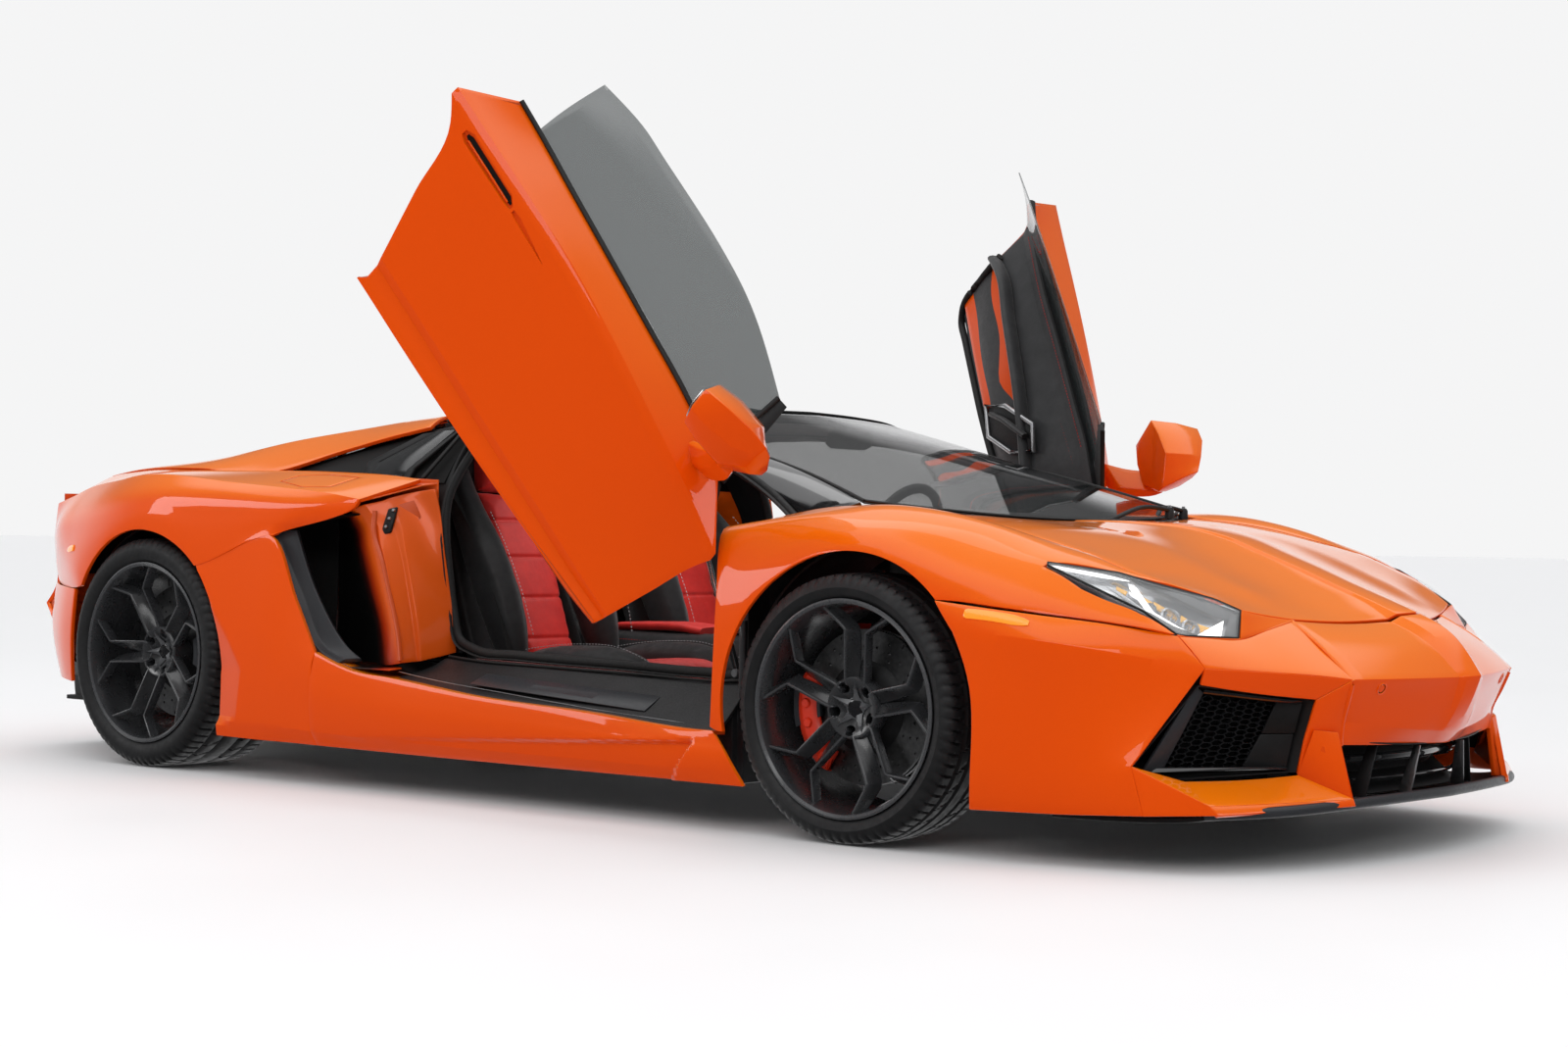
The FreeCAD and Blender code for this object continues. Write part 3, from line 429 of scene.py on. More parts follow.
def boolean(o, cutter, op="DIFFERENCE"):
    m = o.modifiers.new("cut", "BOOLEAN")
    m.operation = op
    m.solver = "EXACT"
    m.object = cutter


def drop(*objs):
    for o in objs:
        d = o.data
        bpy.data.objects.remove(o)
        if d and d.users == 0:
            bpy.data.meshes.remove(d)


def panel(name, Q, ref, thick=0.014, mat="paint", bevel=0.0022, seg=3, cuts=(), angle=24.0, inner=None):
    """Body panel: outer surface Q, turned-in edges, cut-outs, then softened edges and creases."""
    o = grid_obj(name, Q, mat, ref)
    if inner:
        o.data.materials.append(M[inner])
    s = o.modifiers.new("thick", "SOLIDIFY")
    s.thickness = thick
    s.offset = -1
    if inner:
        s.material_offset = 1
        s.material_offset_rim = 0
    for c in cuts:
        boolean(o, c)
    if bevel:
        b = o.modifiers.new("soft", "BEVEL")
        b.width = bevel
        b.segments = seg
        b.limit_method = "ANGLE"
        b.angle_limit = math.radians(angle)
        b.use_clamp_overlap = True
        b.harden_normals = False
        b.miter_outer = "MITER_ARC"
    bake(o)
    shade(o, 38)
    return o


def mirrored(o, name):
    me = o.data.copy()
    me.transform(Matrix.Scale(-1, 4, (0, 1, 0)))
    me.flip_normals()
    n = bpy.data.objects.new(name, me)
    me.name = name
    C.scene.collection.objects.link(n)
    return n


def join(objs, name):
    """One object from several meshes."""
    base = objs[0]
    if len(objs) > 1:
        with C.temp_override(active_object=base, selected_editable_objects=list(objs), selected_objects=list(objs), object=base):
            bpy.ops.object.join()
    base.name = name
    base.data.name = name
    return base


def place(o, body, slot, *replaced):
    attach(o, body)
    if replaced:
        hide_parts(*replaced)
    return o


def both_sides(o, name, body, slot, *replaced):
    """Keeps the left piece and adds the mirrored right one, joined as one piece of the car."""
    r = mirrored(o, name + "_r")
    j = join([o, r], name)
    return place(j, body, slot, *replaced)


def prism_obj(outline, axis, lo, hi, mat=None, name="cutter"):
    """Straight prism: outline in mm as (a, b) pairs in the plane normal to axis."""
    pts = []
    for h in (lo, hi):
        for a, b in outline:
            p = {"x": (h, a, b), "y": (a, h, b), "z": (a, b, h)}[axis]
            pts.append([v / 1000.0 for v in p])
    n = len(outline)
    faces = [list(range(n))[::-1], list(range(n, 2 * n))]
    for i in range(n):
        j = (i + 1) % n
        faces.append((i, j, n + j, n + i))
    o = new_obj(name, pts, faces, mat)
    fix_normals(o)
    return o


def fix_normals(o):
    import bmesh
    bm = bmesh.new()
    bm.from_mesh(o.data)
    bmesh.ops.recalc_face_normals(bm, faces=bm.faces)
    bm.to_mesh(o.data)
    bm.free()
    return o


def lathe(profile, centre, axis, seg=96, name="lathe", mat=None, closed=True, a0=0.0, a1=2 * math.pi):
    """Solid of revolution. profile = [(radius, along axis)] in metres; axis is a unit vector."""
    ax = Vector(axis).normalized()
    u = ax.orthogonal().normalized()
    w = ax.cross(u)
    c = Vector(centre)
    whole = abs(a1 - a0 - 2 * math.pi) < 1e-6
    n = seg if whole else seg + 1
    V, Fc = [], []
    k = len(profile)
    for i in range(n):
        a = a0 + (a1 - a0) * i / seg
        d = u * math.cos(a) + w * math.sin(a)
        for r, h in profile:
            V.append(c + d * r + ax * h)
    for i in range(seg):
        i2 = (i + 1) % n
        for j in range(k if closed else k - 1):
            j2 = (j + 1) % k
            Fc.append((i * k + j, i2 * k + j, i2 * k + j2, i * k + j2))
    o = new_obj(name, V, Fc, mat)
    fix_normals(o)
    return o


def sweep(path, radius, name="rod", mat=None, seg=12, flat=None, caps=True, closed=False):
    """Round or elliptical bar along a polyline (metres)."""
    P = [Vector(p) for p in path]
    n = len(P)
    V, Fc = [], []
    up = Vector((0, 0, 1))
    for i, p in enumerate(P):
        a = P[(i - 1) % n] if (closed or i > 0) else p
        b = P[(i + 1) % n] if (closed or i < n - 1) else p
        t = (b - a).normalized()
        s = t.cross(up)
        if s.length < 1e-3:
            s = t.cross(Vector((1, 0, 0)))
        s.normalize()
        v = s.cross(t).normalized()
        ra, rb = (radius, radius) if flat is None else flat
        for k in range(seg):
            q = 2 * math.pi * k / seg
            V.append(p + s * math.cos(q) * ra + v * math.sin(q) * rb)
    m = n if closed else n - 1
    for i in range(m):
        i2 = (i + 1) % n
        for k in range(seg):
            k2 = (k + 1) % seg
            Fc.append((i * seg + k, i2 * seg + k, i2 * seg + k2, i * seg + k2))
    if caps and not closed:
        Fc.append(tuple(range(seg))[::-1])
        Fc.append(tuple((n - 1) * seg + k for k in range(seg)))
    o = new_obj(name, V, Fc, mat)
    fix_normals(o)
    return shade(o, 50)


def slabof(name, outline3, normal, thick, mat, bevel=0.001, seg=2):
    """Flat plate: 3-D outline in mm, thickness against the normal."""
    P = [Vector(p) / 1000.0 for p in outline3]
    nrm = Vector(normal).normalized()
    n = len(P)
    V = P + [p - nrm * thick for p in P]
    Fc = [tuple(range(n)), tuple(range(2 * n - 1, n - 1, -1))]
    for i in range(n):
        j = (i + 1) % n
        Fc.append((i, n + i, n + j, j))
    o = new_obj(name, V, Fc, mat)
    fix_normals(o)
    soften(o, bevel, seg)
    return o


def soften(o, width=0.0015, seg=2, angle=28.0, sub=0):
    if width:
        b = o.modifiers.new("soft", "BEVEL")
        b.width = width
        b.segments = seg
        b.limit_method = "ANGLE"
        b.angle_limit = math.radians(angle)
    if sub:
        s = o.modifiers.new("sub", "SUBSURF")
        s.levels = sub
        s.render_levels = sub
    bake(o)
    shade(o, 40)
    return o


def cyl_cut(x, z, r, y0, y1, seg=160):
    return lathe([(0.0001, y0), (r, y0), (r, y1), (0.0001, y1)], (x, 0, z), (0, 1, 0), seg, "cyl")


# ------------------------------------------------------------------ front
HOOD = [
    [(1312, 0, 800), (1306, 100, 800), (1305, 110, 797), (1298, 245, 798), (1284, 400, 802), (1250, 560, 808), (1212, 693, 815)],
    [(1420, 0, 801), (1416, 94, 800), (1415, 103, 796), (1408, 240, 791), (1396, 400, 794), (1360, 560, 802), (1318, 709, 803)],
    [(1525, 0, 798), (1521, 88, 796), (1520, 97, 791), (1512, 238, 781), (1500, 400, 782), (1470, 560, 788), (1430, 720, 787)],
    [(1640, 0, 790), (1636, 82, 787), (1635, 91, 781), (1624, 238, 765), (1604, 400, 769), (1575, 560, 770), (1535, 721, 765)],
    [(1750, 0, 765), (1746, 77, 762), (1745, 86, 755), (1732, 238, 738), (1708, 400, 742), (1680, 560, 742), (1640, 721, 741)],
    [(1850, 0, 728), (1846, 74, 724), (1845, 82, 717), (1828, 240, 702), (1803, 402, 708), (1778, 560, 708), (1742, 720, 714)],
    [(1945, 0, 692), (1941, 71, 688), (1940, 79, 681), (1918, 243, 664), (1890, 404, 672), (1866, 545, 672), (1825, 712, 682)],
    [(2040, 0, 654), (2036, 69, 649), (2034, 77, 642), (2006, 246, 626), (1972, 406, 637), (1944, 520, 641), (1905, 680, 655)],
    [(2135, 0, 618), (2131, 67, 612), (2126, 80, 604), (2085, 248, 590), (2040, 408, 601), (2014, 506, 609), (1985, 620, 625)],
    [(2226, 0, 583), (2206, 66, 579), (2192, 90, 566), (2150, 250, 562), (2102, 411, 568), (2077, 500, 579), (2053, 574, 591)],
]
REF_F = (1500, 0, 300)
hood = patch(HOOD, 5, [2, 1, 3, 4, 4, 4], (), (1, 2, 4), {3: 0}, REF_F)
hood = inset(full(hood), 0.0, 0.002, 0.0025, 0.0025)
o = panel("hood", hood, REF_F, 0.012, angle=18, bevel=0.003)
place(o, "front_lid", "paint", "front_lid")

WING = [
    [(800, 778, 776), (780, 862, 772), (765, 925, 745), (786, 963, 600), (785, 980, 262)],
    [(930, 770, 812), (930, 850, 799), (925, 915, 770), (915, 960, 660), (862, 983, 262)],
    [(1090, 740, 830), (1090, 832, 820), (1090, 903, 792), (1085, 948, 735), (1080, 985, 470)],
    [(1212, 693, 815), (1215, 814, 828), (1220, 892, 796), (1220, 945, 752), (1220, 984, 600)],
    [(1318, 709, 803), (1310, 806, 821), (1312, 890, 787), (1315, 944, 740), (1315, 984, 600)],
    [(1430, 720, 787), (1428, 803, 801), (1428, 887, 762), (1430, 940, 712), (1430, 982, 600)],
    [(1535, 721, 765), (1525, 800, 777), (1522, 882, 736), (1520, 934, 688), (1518, 976, 600)],
    [(1640, 721, 741), (1632, 797, 743), (1630, 872, 709), (1630, 918, 666), (1630, 964, 590)],
    [(1742, 720, 714), (1735, 790, 709), (1730, 855, 684), (1735, 900, 640), (1740, 938, 578)],
    [(1825, 712, 682), (1830, 765, 668), (1842, 832, 632), (1855, 858, 602), (1875, 878, 562)],
    [(1905, 680, 655), (1915, 745, 628), (1935, 812, 592), (1948, 826, 572), (1960, 836, 549)],
    [(2000, 602, 617), (2004, 680, 588), (2010, 755, 553), (2010, 775, 543), (2010, 790, 537)],
]
arch_f = cyl_cut(1.204, 0.332, 0.382, 0.55, 1.2)
arch_r = cyl_cut(-1.5, 0.357, 0.378, 0.55, 1.2)
LAMP_PLAN = [(1700, 870), (1707, 855), (1830, 743), (1897, 693), (2000, 597), (2062, 570), (2105, 630), (2014, 790), (1937, 826), (1800, 862)]
lamp_cut = prism_obj(LAMP_PLAN, "z", 440, 800)
wing = inset(patch(WING, 6, [4, 5, 5, 6], (), (), None, REF_F), 0.003, 0.002, 0.0025, 0.0025)
o = panel("front_wing", wing, REF_F, 0.012, cuts=[arch_f, lamp_cut], bevel=0.0025, angle=26)
both_sides(o, "front_wings_skin", "body_shell", "paint", "front_wings")

CORNER = [
    [(1472, 984, 604), (1531, 992, 530), (1580, 990, 400), (1584, 988, 223), (1577, 978, 118)],
    [(1600, 968, 591), (1640, 988, 527), (1665, 982, 390), (1680, 975, 228), (1680, 965, 120)],
    [(1740, 938, 577), (1775, 966, 516), (1780, 955, 380), (1800, 946, 233), (1800, 938, 122)],
    [(1875, 878, 561), (1925, 884, 492), (1895, 905, 368), (1885, 920, 238), (1900, 915, 126)],
    [(2010, 788, 536), (2073, 772, 462), (2018, 835, 352), (1961, 900, 241), (1990, 893, 130)],
]
corner = inset(patch(CORNER, 8, [5, 5, 6, 4], (), (1, 3), {0: 3, 3: 2}, REF_F), 0, 0, 0.0025, 0)
o1 = panel("bumper_corner", corner, REF_F, 0.012, angle=16)
# facet between lamp, lid and shoulder crease
BROW = [
    [(2012, 786, 535), (2073, 772, 462)],
    [(2042, 704, 530), (2122, 693, 458)],
    [(2077, 620, 526), (2174, 610, 452)],
    [(2093, 520, 546), (2228, 528, 446)],
    [(2104, 413, 566), (2279, 448, 436)],
]
brow = inset(patch(BROW, 7, [8], (), (), {0: 3}, REF_F), 0, 0, 0.002, 0)
o2 = panel("bumper_brow", brow, REF_F, 0.012, angle=12)
TRI = [
    [(2059, 578, 590), (2077, 500, 577), (2103, 413, 567)],
    [(2079, 618, 528), (2093, 520, 546), (2104, 413, 566)],
]
tri = patch(TRI, 5, [5, 5], (), (), None, REF_F)
o3 = panel("bumper_tri", tri, REF_F, 0.010, bevel=0.0015)
# underside of the brow down to the intake frame
UNDER = [
    [(2073, 772, 462), (2062, 770, 424)],
    [(2174, 610, 452), (2136, 640, 403)],
    [(2279, 448, 436), (2214, 505, 388)],
]
under = patch(UNDER, 10, [5], (), (), None, REF_F)
o4 = panel("bumper_under", under, (2050, 600, 480), 0.010)
NOSE = [
    [(2230, 0, 581), (2211, 66, 576), (2197, 92, 562), (2154, 250, 558), (2104, 413, 566)],
    [(2318, 0, 533), (2298, 56, 527), (2286, 82, 516), (2248, 250, 511), (2196, 438, 507)],
    [(2392, 0, 436), (2378, 44, 434), (2366, 64, 433), (2330, 250, 434), (2279, 448, 436)],
    [(2368, 0, 372), (2358, 48, 370), (2348, 66, 370), (2306, 250, 378), (2262, 438, 388)],
    [(2332, 0, 303), (2326, 60, 303), (2322, 74, 303), (2290, 250, 316), (2242, 424, 337)],
    [(2304, 0, 268), (2298, 60, 270), (2294, 74, 270), (2268, 250, 274), (2236, 420, 281)],
]
nose = patch(NOSE, 6, [2, 1, 5, 5], (2, 4), (1, 2), {3: 0}, REF_F)
nose = inset(full(nose), 0.0025, 0, 0, 0)
o5 = panel("nose_cover", nose, REF_F, 0.012, angle=14)
# post between intake and centre
POST = [
    [(2279, 450, 434), (2214, 505, 388)],
    [(2258, 438, 380), (2200, 506, 340)],
    [(2243, 426, 337), (2186, 508, 290)],
    [(2236, 420, 281), (2172, 508, 214)],
]
post = patch(POST, 4, [4], (), (), None, REF_F)
o6 = panel("bumper_post", post, (2150, 440, 330), 0.010)
# lip: side facet, tray, front edge
LSIDE = [[(1961, 900, 241), (1975, 897, 190), (1990, 893, 130)], [(2118, 821, 158), (2126, 817, 148), (2135, 812, 137)]]
o7 = panel("lip_side", patch(LSIDE, 10, [4, 4], (), (), None, REF_F), REF_F, 0.012)
TRAY = [
    [(1963, 898, 241), (1972, 884, 236)],
    [(2118, 821, 158), (2040, 796, 206)],
    [(2200, 630, 158), (2110, 640, 205)],
    [(2279, 438, 160), (2172, 508, 212)],
]
o8 = panel("lip_tray", patch(TRAY, 8, [5], (1,), (), None, REF_F), (2050, 700, 100), 0.008)
LFRONT = [[(2118, 821, 158), (2135, 812, 137)], [(2200, 630, 158), (2212, 625, 140)], [(2279, 438, 160), (2283, 434, 143)]]
o9 = panel("lip_front", patch(LFRONT, 10, [2], (), (), None, REF_F), (2050, 600, 150), 0.012)
fin = slabof("lip_fin", [(2240, 447, 312), (2207, 500, 318), (2170, 508, 212), (2276, 440, 158)], (0.55, 0.80, 0.1), 0.016, "paint")
FINF = slabof("lip_fin_front", [(2241, 446, 312), (2278, 438, 158), (2250, 424, 158), (2232, 424, 300)], (0.95, 0.1, 0.2), 0.010, "paint")
seams = []
for pts_, rr in (([(2104, 413, 566), (2150, 426, 538), (2196, 438, 507), (2240, 444, 470), (2279, 448, 436), (2270, 443, 410), (2262, 438, 388), (2242, 424, 337), (2236, 420, 283)], 0.007), ([(2010, 787, 536), (2042, 704, 530), (2077, 620, 526), (2093, 520, 546), (2104, 413, 566)], 0.004)):
    P_ = refine(np.array(pts_, float) / 1000, 4, (4,) if len(pts_) > 6 else (2,))
    seams.append(sweep([tuple(p + np.array([-0.62, -0.28, -0.55]) * (rr * 1.06)) for p in P_], rr, "seam", "paint", 10))
bump = join([o1, o2, o3, o4, o6, o7, o8, o9, fin, FINF] + seams, "bumper_left")
both_sides(bump, "front_bumper_sides", "body_shell", "paint")
place(o5, "body_shell", "paint", "front_bumper")

# ------------------------------------------------------------------ skirts
SKIRT = [
    [(905, 985, 121), (880, 992, 160), (835, 990, 220), (800, 984, 254), (798, 930, 251)],
    [(700, 978, 119), (695, 991, 152), (690, 990, 222), (700, 981, 254), (700, 900, 254)],
    [(374, 972, 117), (374, 990, 150), (374, 992, 235), (374, 984, 275), (374, 898, 276)],
    [(-70, 972, 116), (-70, 992, 150), (-70, 996, 255), (-70, 989, 297), (-70, 898, 299)],
    [(-380, 978, 117), (-380, 998, 153), (-380, 1001, 275), (-390, 992, 330), (-395, 905, 326)],
    [(-526, 982, 118), (-526, 1000, 155), (-526, 1004, 288), (-530, 998, 342), (-540, 925, 344)],
    [(-690, 988, 119), (-700, 1004, 160), (-700, 1008, 320), (-690, 1000, 388), (-700, 940, 392)],
]
REF_S = (0, 500, 300)
def smooth01(t):
    t = np.clip(t, 0.0, 1.0)
    return t * t * (3 - 2 * t)


# long shallow facet low on the skirt, ending in a slanted notch behind the front wheel
skq = patch(SKIRT, [30, 30, 12, 10, 8, 8], [3, 16, 4, 4], (), (1, 3), {1: 2}, REF_S)
X, Z = skq[..., 0] * 1000, skq[..., 2] * 1000
zl = np.interp(X, [-737, 13, 747], [148, 187, 229])
xn = np.interp(Z, [110, 134, 229], [655, 673, 747])
dep = np.interp(X, [-737, 0, 700], [0.0, 0.010, 0.020]) * smooth01((zl - Z) / 15.0) * smooth01((xn - X) / 14.0) * smooth01((skq[..., 1] - 0.960) / 0.008)
skq[..., 1] -= dep
o = panel("skirt", inset(skq, 0.002, 0, 0, 0), REF_S, 0.010, angle=16)
# panel between the side intake and the rear wheel
SCOOP = [
    [(-690, 988, 119), (-700, 1004, 160), (-700, 1008, 320), (-690, 1000, 388)],
    [(-800, 990, 120), (-810, 1006, 163), (-812, 1008, 340), (-790, 992, 540)],
    [(-930, 996, 120), (-930, 1008, 165), (-930, 1009, 420), (-905, 988, 722)],
    [(-1040, 999, 121), (-1040, 1010, 168), (-1050, 1010, 420), (-1060, 996, 690)],
    [(-1126, 1001, 122), (-1124, 1011, 170), (-1140, 1011, 420), (-1230, 1006, 628)],
]
sc = patch(SCOOP, [8, 8, 26, 26], [3, 20, 16], (), (1,), None, REF_S)
# hollow ahead of the rear wheel
X, Z = sc[..., 0] * 1000, sc[..., 2] * 1000
xc = np.interp(Z, [151, 177, 327, 418, 503], [-1116, -1030, -1007, -1072, -1147])
sc[..., 1] -= np.minimum(0.024, 0.20 * np.maximum(0, xc - X) / 1000) * smooth01((Z - 150) / 12.0) * smooth01((560 - Z) / 60.0)
scallop = None
o_b = panel("flank", sc, REF_S, 0.012, angle=18, cuts=[arch_r])
both_sides(join([o, o_b], "skirt_l"), "side_skirts_skin", "body_shell", "paint", "side_skirts")

# ------------------------------------------------------------------ rear wings
RWING = [
    [(-478, 788, 894), (-580, 934, 832), (-610, 940, 800), (-700, 951, 772), (-838, 963, 744), (-905, 986, 724)],
    [(-600, 790, 906), (-690, 940, 848), (-720, 958, 815), (-790, 968, 782), (-880, 978, 748), (-930, 990, 722)],
    [(-850, 788, 917), (-870, 944, 863), (-900, 974, 828), (-930, 984, 780), (-970, 990, 735), (-1000, 996, 706)],
    [(-1160, 786, 922), (-1160, 948, 884), (-1170, 988, 842), (-1190, 1000, 770), (-1210, 1006, 700), (-1238, 1008, 628)],
    [(-1500, 788, 925), (-1500, 940, 908), (-1500, 990, 852), (-1500, 1006, 800), (-1500, 1012, 752), (-1500, 1013, 660)],
    [(-1780, 770, 925), (-1780, 890, 888), (-1785, 950, 815), (-1790, 978, 720), (-1795, 990, 640), (-1800, 994, 560)],
    [(-2000, 730, 910), (-1990, 828, 870), (-1980, 898, 785), (-1950, 934, 700), (-1920, 958, 610), (-1888, 968, 545)],
    [(-2160, 668, 890), (-2140, 792, 840), (-2130, 850, 760), (-2105, 872, 690), (-2080, 878, 615), (-2060, 885, 548)],
    [(-2288, 612, 868), (-2274, 757, 816), (-2292, 757, 712), (-2278, 764, 660), (-2262, 770, 610), (-2242, 776, 562)],
]
REF_R = (-1500, 0, 350)
FLAP = [(-705, 822), (-742, 905), (-850, 925), (-975, 898), (-960, 835), (-850, 812)]
rw = patch(RWING, 8, [7, 4, 4, 4, 4], (), (1,), None, REF_R)
rw = inset(rw, 0.003, 0.0, 0.002, 0.0)
o = panel("rear_wing", rw, REF_R, 0.012, cuts=[arch_r], angle=22)
lefts = o
r0 = panel("rear_wing_r0", rw, REF_R, 0.012, cuts=[arch_r, prism_obj(FLAP, "z", 700, 1000)], angle=22)
right = mirrored(r0, "rear_wing_r")
drop(r0)
cxf = sum(p[0] for p in FLAP) / 6
cyf = sum(p[1] for p in FLAP) / 6
flap_in = prism_obj([(cxf + (x - cxf) * 0.955, cyf + (y - cyf) * 0.925) for x, y in FLAP], "z", 700, 1000)
flap = grid_obj("flap0", rw, "paint", REF_R)
s = flap.modifiers.new("t", "SOLIDIFY")
s.thickness = 0.008
s.offset = -1
boolean(flap, flap_in, "INTERSECT")
bake(flap)
soften(flap, 0.0018, 3)
fr = mirrored(flap, "fuel_flap_skin")
drop(flap)
place(fr, "fuel_flap", "paint", "fuel_flap")
place(join([lefts, right], "rear_wings_skin"), "body_shell", "paint", "rear_wings")

# ------------------------------------------------------------------ buttresses
BUTT = [
    [(-640, 470, 1094), (-640, 540, 1090), (-612, 628, 1054)],
    [(-800, 484, 1078), (-800, 550, 1076), (-768, 660, 1022)],
    [(-950, 498, 1056), (-950, 566, 1058), (-925, 692, 984)],
    [(-1240, 528, 1010), (-1240, 622, 1018), (-1186, 776, 914)],
    [(-1500, 580, 970), (-1500, 684, 966), (-1500, 784, 930)],
    [(-1850, 620, 930), (-1850, 692, 930), (-1850, 750, 927)],
    [(-2030, 620, 912), (-2030, 672, 912), (-2030, 722, 908)],
]
o = panel("buttress", inset(patch(BUTT, 7, [5, 7], (), (1,), {1: 4, 0: 2}, REF_R), 0.002, 0, 0.002, 0.001), REF_R, 0.012, angle=14)
both_sides(o, "roof_buttresses_skin", "body_shell", "paint", "roof_buttresses")


# ------------------------------------------------------------------ wheels
def tyre_mesh(name, centre, R, w, rim, side, sipes=62, per=9):
    """Tyre as one dense turned surface; grooves and curved sipes are pressed into the tread."""
    h = w / 2
    prof = [  # radius, across (outer side positive), detail 0 = wall, 1 = tread
        (rim - 0.012, -h + 0.030), (rim + 0.001, -h + 0.026), (rim + 0.006, -h + 0.014), (rim + 0.018, -h + 0.004), (R - 0.036, -h - 0.001),
        (R - 0.020, -h + 0.004), (R - 0.0085, -h + 0.013),
    ]
    left = prof
    tread = []
    n = 26
    a = h - 0.020
    for i in range(n + 1):
        y = -a + 2 * a * i / n
        r = R - 0.0042 * (abs(y) / a) ** 3.2
        tread.append((r, y))
    prof = left + tread + [(r, -y) for r, y in reversed(left)]
    P = np.array(prof)
    k = len(P)
    nt = sipes * per
    th = np.arange(nt) * 2 * math.pi / nt
    V = np.zeros((nt, k, 3))
    grooves = [-0.62 * a, -0.22 * a, 0.22 * a, 0.62 * a]
    for j in range(k):
        r, y = P[j]
        on = len(left) <= j < len(left) + len(tread)
        edge = j in (len(left) - 1, len(left) - 2, len(left) + len(tread), len(left) + len(tread) + 1)
        d = np.zeros(nt)
        if on:
            for g in grooves:
                if abs(y - g) < a / n * 0.95:
                    d = np.maximum(d, 0.0065)
            f = abs(y) / a
            if f > 0.70:
                ph = (th * sipes / (2 * math.pi) + 0.9 * (f - 0.62) ** 1.3 * np.sign(y) * side * 1.0) % 1.0
                d = np.maximum(d, np.where(np.abs(ph - 0.5) < 0.12, 0.0055, 0))
            elif 0.30 < f < 0.54:
                ph = (th * sipes / (2 * math.pi) * 0.5 + 1.6 * y / a + 0.2) % 1.0
                d = np.maximum(d, np.where(np.abs(ph - 0.5) < 0.045, 0.0038, 0))
        if edge:
            f = 1.02
            ph = (th * sipes / (2 * math.pi) + 0.9 * 0.40**1.3 * np.sign(y) * side) % 1.0
            d = np.maximum(d, np.where(np.abs(ph - 0.5) < 0.12, 0.0040 if j in (len(left) - 1, len(left) + len(tread)) else 0.0012, 0))
        rr = r - d
        V[:, j, 0] = centre[0] + rr * np.cos(th)
        V[:, j, 1] = centre[1] + y * side
        V[:, j, 2] = centre[2] + rr * np.sin(th)
    F = []
    for i in range(nt):
        i2 = (i + 1) % nt
        for j in range(k - 1):
            F.append((i * k + j, i2 * k + j, i2 * k + j + 1, i * k + j + 1) if side > 0 else (i * k + j, i * k + j + 1, i2 * k + j + 1, i2 * k + j))
        F.append((i * k + k - 1, i2 * k + k - 1, i2 * k, i * k) if side > 0 else (i * k + k - 1, i * k, i2 * k, i2 * k + k - 1))
    o = new_obj(name, V.reshape(-1, 3), F, "tyre")
    fix_normals(o)
    thin(o, 0.42)
    shade(o, 32)
    return o


def loft_solid(name, sections, mat):
    """Closed mesh through equal sections, ends closed."""
    k = len(sections[0])
    V = [tuple(p) for sec in sections for p in sec]
    F = []
    for i in range(len(sections) - 1):
        for j in range(k):
            j2 = (j + 1) % k
            F.append((i * k + j, (i + 1) * k + j, (i + 1) * k + j2, i * k + j2))
    F.append(tuple(range(k)))
    m = (len(sections) - 1) * k
    F.append(tuple(m + j for j in reversed(range(k))))
    o = new_obj(name, V, F, mat)
    fix_normals(o)
    return o


